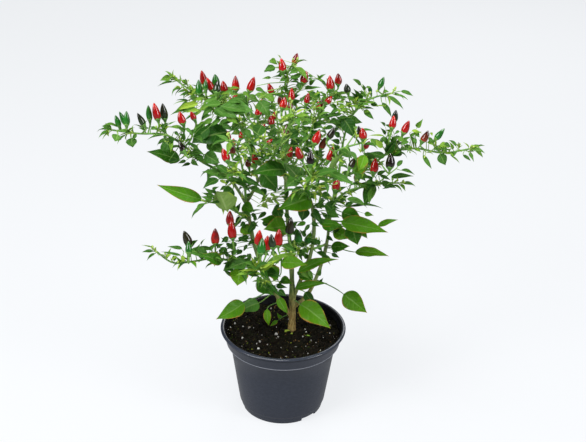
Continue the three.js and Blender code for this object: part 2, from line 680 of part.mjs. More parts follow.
// A leaf with its stalk: flat above and keeled below, arched, and widest a third of the way along. A narrow
// leaf tapers into its stalk. Where a broad leaf's stalk turns back under it, the two are joined by a union.
const NARROW_OUTLINE = [[0.34, 1], [0.7, 0.62]];
const BROAD_OUTLINE = [[0.18, 0.74], [0.45, 1], [0.77, 0.54]];
const LEAST_BROAD = 13.5;
const LEAST_ONWARD = 0.25;
function leafBody(leaf, rooted = true) {
  const { rib, length, axis, normal, across } = bladeFrame(leaf);
  const broad = leaf.width > LEAST_BROAD;
  const turns = (broad ? BROAD_OUTLINE : NARROW_OUTLINE).map(([t, share]) => {
    const half = (leaf.width / 2) * share;
    return [[across, half], [normal, -BLADE_THICKNESS], [across, -half]].map((step) => moved(rib(t), step));
  });
  const out = leaf.base.clone().sub(leaf.root).normalize();
  const start = rooted ? leaf.root : moved(leaf.root, [out, FREE_AFTER]);
  const back = out.dot(axis) < LEAST_ONWARD;
  if (broad) turns.unshift(corners(leaf.base, back ? axis : moved(out, [axis, 1]), across, PETIOLE_RADIUS));
  if (broad && back) {
    const sunk = moved(rib(3 / length), [normal, -BLADE_THICKNESS / 2]);
    return joined([rings(turns, leaf.tip), rod(start, sunk, [ROOT_RADIUS, ROOT_RADIUS], 3)]);
  }
  turns.unshift(corners(start, out, across, ROOT_RADIUS));
  return rings(turns, leaf.tip);
}

// A straight round twig or stalk between two points
function rod(from, to, radii, sides) {
  const heading = to.clone().sub(from).normalize();
  return rings([ring(from, heading, radii[0], sides), ring(to, heading, radii[1], sides)]);
}

// A chilli: round at the foot, widest a third of the way up, and pointed
const CHILLI_OUTLINE = [[0, 0.62], [0.34, 1], [0.7, 0.62]];
const CHILLI_SIDES = 6;
function chilliRings({ foot, axis, length, width }, sides) {
  return CHILLI_OUTLINE.map(([t, share]) => {
    return ring(moved(foot, [axis, length * t]), axis, (width / 2) * share, sides);
  });
}
function chilliBody(chilli) {
  return rings(chilliRings(chilli, CHILLI_SIDES), moved(chilli.foot, [chilli.axis, chilli.length]));
}

// A chilli's stalk, with the twig that carries it where the stem is far, widened at its end into the green
// cup that the chilli sits in. An unripe chilli is one with its stalk.
function stalkBody(chilli, fused) {
  const { root, joint, under, foot, axis, length, width } = chilli;
  const sides = fused ? 5 : 3;
  const out = (joint ?? under).clone().sub(root).normalize();
  const turns = [ring(root, out, ROOT_RADIUS, sides)];
  if (joint) turns.push(ring(joint, moved(out, [axis, 1]).normalize(), STALK_RADIUS, sides));
  turns.push(ring(under, joint ? axis : moved(out, [axis, 1]).normalize(), STALK_RADIUS, sides));
  if (fused) return rings([...turns, ...chilliRings(chilli, sides)], moved(foot, [axis, length]));
  return rings([...turns, ring(moved(foot, [axis, -SEAT]), axis, width * 0.34, sides)]);
}

// The pot: one turned shell with a rolled lip, a stepped collar and an inset foot, cut by notches and drains
function potBody() {
  const collarFoot = POT_HEIGHT - COLLAR_HEIGHT;
  const profile = [
    [0, 0],
    [FOOT_RADIUS, 0],
    [BODY_FOOT_RADIUS - FOOT_INSET, FOOT_HEIGHT],
    [BODY_FOOT_RADIUS, FOOT_HEIGHT + 0.8],
    [BODY_TOP_RADIUS, collarFoot - 0.8],
    [COLLAR_FOOT_RADIUS, collarFoot],
    [COLLAR_TOP_RADIUS, POT_HEIGHT - LIP_THICKNESS - 0.6],
    [LIP_RADIUS - 0.8, POT_HEIGHT - LIP_THICKNESS],
    [LIP_RADIUS, POT_HEIGHT - LIP_THICKNESS / 2],
    [LIP_RADIUS - 1.3, POT_HEIGHT],
    [LIP_RADIUS - LIP_WIDTH + 1.3, POT_HEIGHT],
    [LIP_RADIUS - LIP_WIDTH, POT_HEIGHT - LIP_THICKNESS / 2],
    [COLLAR_FOOT_RADIUS - POT_WALL, collarFoot + POT_WALL],
    [innerRadius(collarFoot), collarFoot + POT_WALL],
    [innerRadius(POT_FLOOR + FLOOR_FILLET), POT_FLOOR + FLOOR_FILLET],
    [innerRadius(POT_FLOOR) - FLOOR_FILLET, POT_FLOOR],
    [0, POT_FLOOR],
  ].map(([r, z]) => new THREE.Vector2(r, z));
  const shell = solid(new THREE.LatheGeometry(profile, POT_SIDES).rotateX(Math.PI / 2));
  const cuts = [];
  for (let k = 0; k < NOTCH_COUNT; k++) {
    const middle = NOTCH_FIRST + (360 / NOTCH_COUNT) * k;
    const outline = [
      [FOOT_RADIUS - 5, -1],
      [BODY_TOP_RADIUS, -1],
      [BODY_TOP_RADIUS, 1],
      [FOOT_RADIUS - 5, 1],
    ].map(([r, side]) => {
      const angle = radians(middle + (side * NOTCH_ANGLE) / 2);
      return new THREE.Vector2(r * Math.cos(angle), r * Math.sin(angle));
    });
    const options = { depth: NOTCH_HEIGHT + 1, bevelEnabled: false };
    const block = new THREE.ExtrudeGeometry(new THREE.Shape(outline), options);
    cuts.push(solid(block.translate(0, 0, -1)));
  }
  for (let k = 0; k < DRAIN_COUNT; k++) {
    const angle = (2 * Math.PI * (k + 0.5)) / DRAIN_COUNT;
    const hole = new THREE.CylinderGeometry(DRAIN_RADIUS, DRAIN_RADIUS, 12, 8).rotateX(Math.PI / 2);
    cuts.push(solid(hole.translate(DRAIN_CIRCLE * Math.cos(angle), DRAIN_CIRCLE * Math.sin(angle), 0)));
  }
  return shell.subtract(joined(cuts));
}

// The pot's inner radius at a height below its collar
function innerRadius(z) {
  const collarFoot = POT_HEIGHT - COLLAR_HEIGHT;
  return BODY_TOP_RADIUS - POT_WALL - ((collarFoot - z) * (BODY_TOP_RADIUS - FOOT_RADIUS)) / collarFoot;
}

// The height of the soil's lumps at a point
function lump(x, y) {
  return SOIL_LUMP * (Math.sin(x * 0.31 + 1.3) * Math.cos(y * 0.27) + 0.6 * Math.sin(x * 0.13 - y * 0.23));
}

// The soil: a plug in the pot with a lumpy top, and a plain hole for the trunk
function soilBody() {
  const turn = (radius, z, rough) => Array.from({ length: SOIL_SIDES }, (_, k) => {
    const angle = (2 * Math.PI * k) / SOIL_SIDES;
    const [x, y] = [radius * Math.cos(angle), radius * Math.sin(angle)];
    return new THREE.Vector3(x, y, z + (rough ? lump(x, y) : 0));
  });
  const collarFoot = POT_HEIGHT - COLLAR_HEIGHT;
  const ledge = collarFoot + POT_WALL + SEAT;
  const list = [
    turn(innerRadius(POT_FLOOR) - FLOOR_FILLET - 1, POT_FLOOR + SEAT, false),
    turn(innerRadius(POT_FLOOR + 6) - 2 * SEAT, POT_FLOOR + 6, false),
    turn(innerRadius(collarFoot) - 2 * SEAT, ledge, false),
    turn(COLLAR_FOOT_RADIUS - POT_WALL - 2.5 * SEAT, ledge, false),
  ];
  for (let k = SOIL_RINGS; k >= 1; k--) list.push(turn((SOIL_RADIUS * k) / SOIL_RINGS, SOIL_TOP, true));
  return rings(list).subtract(trunkFoot(SEAT));
}

// The trunk's foot, from its root collar in the soil up to the first main stem, or the hole round it
function trunkFoot(grow) {
  const base = stems.trunk.points[0];
  return rings([
    [SOIL_TOP - TRUNK_ROOT_DEPTH - grow, TRUNK_FOOT_RADIUS * 0.9],
    [SOIL_TOP, TRUNK_FOOT_RADIUS],
    [base.z + 5, MAIN_STEMS.trunk.radii[0]],
  ].map(([z, r]) => ring(new THREE.Vector3(base.x, base.y, z), UP, r + grow, 8)));
}

// What stands so far: the body of the trunk and of each leafy stem, and the chillies with solids of their own
const bodies = {};
const fruit = [];
function fuse(name, list) {
  bodies[name] = joined([bodies[name], ...list].filter(Boolean));
}

// Whether a body keeps its distance from all that stands, except one node
function clear(body, name = "") {
  const box = body.boundingBox();
  const near = (other) => {
    const b = other.boundingBox();
    return [0, 1, 2].every((n) => box.min[n] < b.max[n] + CLEARANCE && box.max[n] > b.min[n] - CLEARANCE);
  };
  const others = Object.entries(bodies).filter(([n]) => n !== name).map(([, b]) => b);
  return [...others, ...fruit.map((f) => f.body)].every((other) => {
    return !near(other) || body.minGap(other, 2 * CLEARANCE) >= CLEARANCE;
  });
}

// The main stems and the leafy stems
fuse("trunk", [trunkFoot(0)]);
for (const [name, { radii }] of Object.entries(MAIN_STEMS)) {
  fuse("trunk", [tube(stems[name], 0, radii, name === "trunk" ? 8 : 5)]);
}
for (const name of Object.keys(LEAFY_STEMS)) {
  const stub = rod(along(stems[name], 0).at, along(stems[name], STUB).at, [STEM_RADII[0], STEM_RADII[0]], 4);
  fuse("trunk", [stub]);
  fuse(name, [tube(stems[name], STUB + SEAT, STEM_RADII, 4)]);
}

// The chillies, the largest ripe ones as solids of their own and the unripe ones fused to their stalks
const planned = Object.entries(CHILLIES).flatMap(([stem, rows]) => rows.map((row) => ({ stem, row })));
const ripe = planned.filter(({ row }) => row[4] === "red" || row[4] === "mottled");
const own = new Set(ripe.sort((a, b) => b.row[5] - a.row[5]).slice(0, OWN_SOLIDS));
const twigEnds = [];
for (const place of planned) {
  const name = bearer(place.stem);
  for (const choice of chilliChoices(place.stem, place.row)) {
    const body = chilliBody(choice);
    const stalk = stalkBody(choice, choice.ripeness === "green" || choice.ripeness === "dark");
    if (!clear(body) || !clear(stalk, name)) continue;
    fuse(name, [stalk]);
    if (own.has(place)) fruit.push({ ripeness: choice.ripeness, body });
    if (choice.joint) twigEnds.push(choice);
    break;
  }
}

// The broad leaves: clear of every blade where that can be, and otherwise of every other node
for (const [stem, rows] of Object.entries(BROAD_LEAVES)) {
  const name = bearer(stem);
  for (const row of rows) {
    const choices = broadChoices(stem, row).filter((leaf) => clear(leafBody(leaf), name));
    const apart = choices.find((leaf) => clear(leafBody(leaf, false)));
    if (!choices.length) continue;
    fuse(name, [leafBody(apart ?? choices[0])]);
  }
}

// The narrow leaves and twigs, each at the first choice of its place that is clear
const TRIES = 5;
const places = twigEnds.map(({ stem, joint, root }) => (turn) => {
  const out = joint.clone().sub(root).normalize();
  return [narrowLeaf(stem, joint, turned(out, 3 * turn, -0.4, 0.3), draw(13, 21))];
});
for (const stem of Object.keys(LEAFY_STEMS)) places.push(...stemPlaces(stem));
places.forEach((choicesAt, number) => {
  for (let k = 0; k < TRIES; k++) {
    sow(number * TRIES + k);
    draw(0, 1);
    const [first, ...pair] = choicesAt(draw(35, 85));
    const name = bearer(first.stem);
    if (first.end) {
      const twig = rod(first.root, first.end, [ROOT_RADIUS, 0.7], 3);
      const apart = pair.filter((leaf) => clear(leafBody(leaf, false)) && clear(leafBody(leaf), name));
      if (!apart.length || !clear(twig, name)) continue;
      fuse(name, [twig, ...apart.map((leaf) => leafBody(leaf))]);
    } else {
      if (!clear(leafBody(first, false)) || !clear(leafBody(first), name)) continue;
      fuse(name, [leafBody(first)]);
    }
    break;
  }
});

// A body without its slivers and the small voids left between crossing twigs
const SLIVER = 0.08;
function filled(body) {
  return joined(body.simplify(SLIVER).decompose().filter((shell) => shell.volume() > 0));
}

const COLOURS = {
  pot: 0x3b3e45,
  soil: 0x1d1712,
  bark: 0x6f7a3a,
  leaf: 0x2f6b22,
  red: 0xc9161a,
  mottled: 0x8a1f1a,
};
const ROUGHNESS = { pot: 0.5, soil: 1, bark: 0.8, leaf: 0.5, red: 0.2, mottled: 0.2 };
const group = new THREE.Group();
function add(name, body, finish) {
  const options = { color: COLOURS[finish], roughness: ROUGHNESS[finish], metalness: 0 };
  const mesh = new THREE.Mesh(geometryOf(body), new THREE.MeshStandardMaterial(options));
  mesh.name = name;
  group.add(mesh);
}

add("pot", potBody(), "pot");
add("soil", soilBody(), "soil");
for (const [name, whole] of Object.entries(bodies)) {
  if (name === "trunk") add(name, filled(whole), "bark");
  else add(`leafy_stem_${name}`, filled(whole), "leaf");
}
const numbers = {};
for (const { ripeness, body } of fruit) {
  numbers[ripeness] = (numbers[ripeness] ?? 0) + 1;
  add(`chilli_${ripeness}_${String(numbers[ripeness]).padStart(2, "0")}`, body, ripeness);
}

export default group;
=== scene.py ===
# A potted ornamental chilli plant in full detail around its solids: the moulded pot, the soil with its
# crumbs and perlite, the barked trunk, and each leafy stem with its twigs, veined leaves, flower buds,
# calyxes and glossy chillies. The plan repeats the solids' plan in millimetres, and meshes are in metres.
import math
import random

import bmesh
import bpy
import numpy as np
from mathutils import Euler, Matrix, Vector, kdtree, noise


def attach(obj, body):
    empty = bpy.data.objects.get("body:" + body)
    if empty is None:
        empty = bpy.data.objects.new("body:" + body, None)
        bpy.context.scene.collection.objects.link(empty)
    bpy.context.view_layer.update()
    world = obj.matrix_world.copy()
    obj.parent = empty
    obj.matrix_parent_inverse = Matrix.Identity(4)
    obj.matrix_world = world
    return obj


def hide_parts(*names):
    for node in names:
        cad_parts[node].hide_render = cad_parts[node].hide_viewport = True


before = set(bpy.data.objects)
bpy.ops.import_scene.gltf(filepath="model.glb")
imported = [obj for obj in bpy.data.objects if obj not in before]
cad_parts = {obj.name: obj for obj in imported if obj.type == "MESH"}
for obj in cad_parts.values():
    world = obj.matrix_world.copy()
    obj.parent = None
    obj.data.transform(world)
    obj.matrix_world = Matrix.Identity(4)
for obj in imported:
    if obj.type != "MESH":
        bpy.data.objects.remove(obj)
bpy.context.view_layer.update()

METRE = 0.001  # a millimetre of the plan in metres

# The pot and its soil
POT_HEIGHT = 101.6
LIP_RADIUS = 70
LIP_WIDTH = 4.6
LIP_THICKNESS = 3
COLLAR_HEIGHT = 17.8
COLLAR_TOP_RADIUS = 68.2
COLLAR_FOOT_RADIUS = 63.4
BODY_TOP_RADIUS = 59.4
BODY_FOOT_RADIUS = 48.9
FOOT_RADIUS = 45.9
FOOT_INSET = 0.7
FOOT_HEIGHT = 9
POT_WALL = 1.6
POT_FLOOR = 2.4
FLOOR_FILLET = 3
NOTCH_COUNT = 3
NOTCH_FIRST = -48
NOTCH_ANGLE = 25
NOTCH_HEIGHT = 4
DRAIN_COUNT = 6
DRAIN_RADIUS = 4
DRAIN_CIRCLE = 30
SOIL_TOP = 93
SOIL_LUMP = 1.3
SOIL_EDGE_RADIUS = 63.5  # the soil meets the pot's wall here

# The plant
TRUNK_FOOT_RADIUS = 4.5
TRUNK_ROOT_DEPTH = 22  # how deep the trunk stands in the soil
STUB = 9  # this much of each leafy stem belongs to the trunk
STEM_RADII = (1.35, 0.85)  # at a leafy stem's foot and near its tip
STEM_PIECE = 26  # about how long the straight pieces of a stem are
PETIOLE_RADIUS = 0.7
CHILLI_LENGTH = 17.6
CHILLI_WIDTH = 9
CALYX_HEIGHT = 3.4
STALK_LENGTH = 11
LONGEST_STALK = 21  # a chilli farther from its stem has a twig before its stalk
OWN_SOLIDS = 39  # this many of the ripe chillies are solids of their own
SEAT = 0.3  # how far one solid stays off another that it sits in

# Where the plant is seen from: the eye, how far it looks down, how far the picture leans to the right, and
# the focal length in picture columns
EYE = np.array([8.6, -953.9, 700.6])
PITCH = math.radians(26.18)
LEAN = math.radians(1.17)
FOCAL = 1000.0
MIDDLE_COLUMN = 293.0
MIDDLE_ROW = 221.0
PICTURE_WIDTH = 586
ROUTE_DEPTH = -9  # the y that the routes count their depths from
UP = np.array([0.0, 0.0, 1.0])


def levelled(across, below, lean):
    """A place in the picture, measured from its middle, turned back by a lean."""
    return (
        across * math.cos(lean) + below * math.sin(lean),
        below * math.cos(lean) - across * math.sin(lean),
    )


def seen(column, row, y):
    """The point at a y that the picture shows at a column and row."""
    across, below = levelled(column - MIDDLE_COLUMN, row - MIDDLE_ROW, LEAN)
    ahead = math.cos(PITCH) - below / FOCAL * math.sin(PITCH)
    rise = -below / FOCAL * math.cos(PITCH) - math.sin(PITCH)
    return EYE + np.array([across / FOCAL, ahead, rise]) * ((y - EYE[1]) / ahead)


def pictured(p):
    """The column and row where the picture shows a point."""
    d = p - EYE
    depth = d[1] * math.cos(PITCH) - d[2] * math.sin(PITCH)
    height = d[1] * math.sin(PITCH) + d[2] * math.cos(PITCH)
    across, below = levelled(FOCAL * d[0] / depth, -FOCAL * height / depth, -LEAN)
    return MIDDLE_COLUMN + across, MIDDLE_ROW + below


# Each route is a list of column, row and depth. Main stems belong to the trunk, with a radius at each end.
MAIN_STEMS = {
    "trunk": {
        "radii": [3.9, 3.1],
        "route": [[291.8, 329, 14], [292.4, 312, 14], [292.4, 300, 14], [292.2, 285, 13.5]],
    },
    "centre": {
        "radii": [2.5, 1.7],
        "route": [
            [292.2, 290, 14], [291.6, 268, 14], [290.4, 248, 16], [288.4, 228, 20], [286.8, 208, 23],
            [286, 192, 26], [285.7, 180, 28],
        ],
    },
    "left": {
        "radii": [2.4, 1.7],
        "route": [
            [291.2, 316, 14], [286, 308, 12], [277, 296, 8], [269, 281, 4], [261, 264, 0], [254.5, 246, -3],
            [251, 228, -5], [248.5, 213, -6], [246, 203, -7],
        ],
    },
    "left_fork": {"radii": [1.7, 1.5], "route": [[246, 203, -7], [240, 193, -9], [234, 184, -11]]},
    "inner_fork": {"radii": [1.7, 1.5], "route": [[246, 203, -7], [252, 193, -8], [258, 181, -9]]},
    "right": {
        "radii": [2.3, 1.6],
        "route": [
            [292.2, 300, 14], [297, 288, 11], [303, 275, 8], [308.5, 261, 5], [312.5, 245, 2],
            [314, 228, 0], [313.4, 212, -2], [310, 200, -4], [306, 188, -6],
        ],
    },
    "far_right": {
        "radii": [2.2, 1.4],
        "route": [
            [292.6, 308, 14], [302, 301, 19], [311, 289, 26], [318, 273, 31], [323.5, 257, 35],
            [327, 242, 38], [328.5, 228, 40], [331, 212, 43], [335, 200, 46],
        ],
    },
}

# A leafy stem's leaf is the length of its leaves in millimetres
LEAFY_STEMS = {
    "left_long": {
        "leaf": 19,
        "route": [
            [234, 184, -11], [225, 177, -16], [213, 166, -24], [203, 160.5, -29], [195, 161, -33],
            [189.5, 157, -36], [186, 148, -38], [180, 139.5, -40], [164, 134.5, -44], [148, 133, -47],
            [131, 134, -49], [120, 132.5, -50], [112, 130, -51],
        ],
    },
    "left_crown": {
        "leaf": 22,
        "route": [
            [258, 181, -9], [255, 168, -6], [250, 152, 0], [244, 135, 8], [236, 120, 17], [226, 108, 26],
            [212, 101, 34], [198, 95, 42], [187, 87, 50], [176, 80, 56],
        ],
    },
    "top": {
        "leaf": 21,
        "route": [
            [285.7, 180, 28], [286, 160, 29], [288, 140, 28], [291, 120, 26], [291, 103, 23], [288, 90, 20],
            [285, 78, 18], [287, 68, 17], [293, 63, 16],
        ],
    },
    "back_left": {
        "leaf": 24,
        "route": [
            [285.7, 180, 28], [279, 166, 42], [269, 149, 62], [257, 131, 84], [246, 115, 104],
            [236, 103, 120], [228, 96, 130],
        ],
    },
    "back_middle": {
        "leaf": 24,
        "route": [
            [285.7, 180, 28], [284, 168, 48], [281, 147, 76], [278, 126, 104], [274, 109, 126],
            [270, 98, 140],
        ],
    },
    "back_right": {
        "leaf": 24,
        "route": [
            [285.7, 180, 28], [293, 167, 44], [303, 149, 68], [312, 130, 92], [319, 113, 112],
            [325, 101, 126], [331, 95, 135],
        ],
    },
    "right_crown": {
        "leaf": 22,
        "route": [
            [335, 200, 46], [338, 180, 50], [341, 158, 53], [344, 138, 54], [349, 121, 54], [357, 108, 53],
            [368, 100, 52], [381, 96, 51], [392, 93, 50],
        ],
    },
    "right_long": {
        "leaf": 19,
        "route": [
            [306, 188, -6], [315, 186, -11], [328, 182, -17], [345, 176, -23], [360, 170, -28],
            [372, 165, -31], [383, 157, -34], [394, 150, -37], [411, 148.5, -40], [428, 149.5, -43],
            [444, 153, -46], [458, 152.5, -48], [469, 149, -50],
        ],
    },
    "right_middle": {
        "leaf": 22,
        "route": [
            [331, 212, 43], [334, 203, 32], [342, 195, 18], [353, 189.5, 6], [365, 186.5, -4],
            [378, 184, -12], [391, 182.5, -18], [399, 183, -22],
        ],
    },
    "front_right": {
        "leaf": 23,
        "route": [[310, 200, -4], [309, 193, -20], [308, 186, -38], [310, 180, -54], [313, 176, -66]],
    },
    "inner_right": {
        "leaf": 22,
        "route": [
            [306, 188, -6], [311, 176, -22], [319, 165, -36], [330, 156, -48], [341, 149, -56],
            [352, 145, -60], [362, 143, -62],
        ],
    },
    "front_middle": {
        "leaf": 22,
        "route": [
            [258, 181, -9], [264, 171, -22], [272, 158, -31], [280, 144, -37], [287, 131, -41],
            [292, 119, -44], [293, 114, -45],
        ],
    },
    "front_left": {
        "leaf": 22,
        "route": [[234, 184, -11], [232, 180, -28], [232, 176, -46], [234, 172, -62]],
    },
    "inner_left": {
        "leaf": 22,
        "route": [
            [246, 203, -7], [245, 188, -22], [243, 172, -34], [240, 158, -43], [236, 147, -49],
            [230, 139, -54],
        ],
    },
    "left_middle": {
        "leaf": 24,
        "route": [[250, 221, -5], [240, 214, -16], [228, 207, -27], [216, 203, -37], [207, 201.5, -44]],
    },
    "low_left": {
        "leaf": 21,
        "route": [
            [261, 264, 0], [250, 266, -12], [236, 262.5, -24], [222, 258.5, -33], [208, 258.5, -40],
            [196, 260.5, -45], [182, 264.5, -50], [168, 260.5, -54], [156, 251, -57],
        ],
    },
    "low_front": {
        "leaf": 22,
        "route": [[272, 286, 5], [268, 282, -12], [264, 278, -32], [261, 273, -50], [260, 269, -62]],
    },
    "low_middle": {
        "leaf": 21,
        "route": [
            [326.5, 244, 37.5], [318, 247.5, 22], [307, 249.5, 6], [297, 250.5, -8], [287, 254.5, -20],
            [281, 258, -28],
        ],
    },
}

# The chillies of each leafy stem: the column and row of each one's middle, its lean to the right in degrees,
# its depth beside its root on the stem, its ripeness, and its size beside a full-grown one
CHILLIES = {
    "left_long": [
        [117.5, 120.5, -14, 0, "green", 0.8], [121.5, 116, -26, 6, "green", 0.75],
        [126.4, 117.4, 6, 0, "green", 0.9], [140.6, 118.8, -26, 0, "dark", 0.85],
        [148.7, 111.6, 0, 3, "green", 0.95], [156.8, 110.6, -14, -2, "red", 1.05],
        [164.4, 111.6, -6, 5, "dark", 1.1], [182.4, 119.2, -8, 0, "red", 1],
        [182, 145, -26, -12, "dark", 0.85], [192.6, 116.5, 4, 8, "red", 0.8],
    ],
    "left_crown": [
        [198.5, 87.4, -4, -8, "green", 1.05], [203.2, 76.4, -22, 6, "red", 1.1],
        [205.6, 85.5, 2, -12, "green", 0.8], [211, 83, -28, -4, "red", 1.05],
        [215.2, 77.8, -4, 10, "green", 0.95], [217, 86, 6, -14, "dark", 0.95],
        [224.2, 84.5, -12, 2, "red", 0.95], [235, 97.5, 8, -6, "red", 0.8],
        [228.3, 134.4, 0, 0, "red", 0.8],
    ],
    "top": [
        [281.9, 64.3, -6, -3, "red", 1.05], [295.4, 58.4, 14, 3, "mottled", 0.95],
        [304.2, 76.6, 12, 5, "red", 0.95], [291.6, 93, 6, -9, "red", 0.9],
        [283.2, 101.6, -4, -10, "mottled", 0.85], [290.4, 104, 2, -16, "dark", 0.85],
        [271.5, 117, 6, -6, "red", 0.75], [284.9, 129.6, 9, -20, "mottled", 1],
    ],
    "back_left": [
        [235.5, 81.5, 0, 0, "mottled", 1], [251.9, 83.2, 14, -4, "red", 1.1],
        [262.7, 101.7, -8, -4, "red", 0.8], [258, 112, 4, -4, "red", 0.85],
        [246, 99, -12, 14, "dark", 0.95], [240.5, 132.8, 5, -6, "red", 0.8],
    ],
    "back_middle": [
        [270.2, 87.4, -16, 0, "red", 0.95], [276, 96, 8, 12, "mottled", 0.95],
        [263.2, 126.5, 6, -8, "red", 0.8],
    ],
    "back_right": [
        [329.4, 82, 0, -6, "red", 1.1], [338.1, 79.4, -2, 2, "mottled", 1],
        [307.6, 98.7, 8, -8, "red", 0.9], [319, 105.3, -5, -4, "red", 0.8], [318, 92, -10, 10, "dark", 0.9],
    ],
    "right_crown": [
        [347.4, 87.6, -6, 0, "dark", 0.8], [382.4, 81, 18, 0, "green", 0.85],
        [328.2, 99.8, 26, -8, "red", 0.8], [370, 88, -4, 14, "red", 0.95],
    ],
    "right_long": [
        [395, 114, 12, 9, "dark", 0.95], [392.3, 121.2, 5, -3, "red", 0.95],
        [405.9, 126.6, 26, 0, "red", 1.05], [424.4, 135.6, 26, 0, "mottled", 0.95],
        [440.9, 133.4, 34, 0, "green", 0.95], [389.8, 159.5, 5, -8, "dark", 1],
        [374.6, 164.8, 4, -8, "red", 1],
    ],
    "right_middle": [
        [335.2, 183.5, 6, -14, "red", 0.95], [320.3, 186.6, 0, -6, "red", 0.7],
        [356, 176, 12, 16, "red", 0.95],
    ],
    "front_right": [[310.1, 156.4, 3, -2, "dark", 1.05], [299.4, 152.8, -12, 8, "red", 0.95]],
    "inner_right": [
        [362.6, 132.6, -12, 0, "red", 1], [359, 129, -6, 7, "dark", 0.95],
        [331.6, 131.6, 24, 5, "dark", 0.95], [316.4, 136.8, 16, -4, "red", 1.1],
        [323.4, 142.2, 18, 2, "mottled", 0.9], [331.4, 152.4, 20, 0, "red", 0.95],
        [352.7, 162, 28, -4, "dark", 0.9], [368, 143, 26, 8, "red", 0.75],
    ],
    "front_middle": [[290.4, 152.8, 10, 4, "red", 0.9], [276, 139, -8, -8, "red", 0.8]],
    "front_left": [[225.4, 154.6, -12, -6, "red", 1]],
    "inner_left": [
        [233.2, 146, 2, 4, "dark", 0.9], [247.8, 161.4, -6, 2, "mottled", 0.75],
        [254, 157.6, 10, 10, "red", 0.8],
    ],
    "left_middle": [[230.1, 217.2, 2, 0, "mottled", 0.95]],
    "low_left": [
        [186.8, 238.2, -18, 0, "dark", 1], [215.2, 235.7, 1, 3, "mottled", 1],
        [232, 229, -4, -2, "red", 1.15],
    ],
    "low_front": [
        [259.1, 237.4, 4, 7, "red", 1], [261.6, 245.6, 4, -7, "green", 0.95],
        [267.2, 242.7, 4, 5, "red", 0.95], [271.8, 240.8, -4, 0, "dark", 0.95],
    ],
    "low_middle": [
        [278.9, 237.2, 2, 0, "red", 1.1], [290.2, 225.5, 5, 4, "dark", 1.15],
        [309, 237.6, 18, 3, "green", 0.75], [298.5, 236, -3, 5, "green", 0.85],
    ],
}

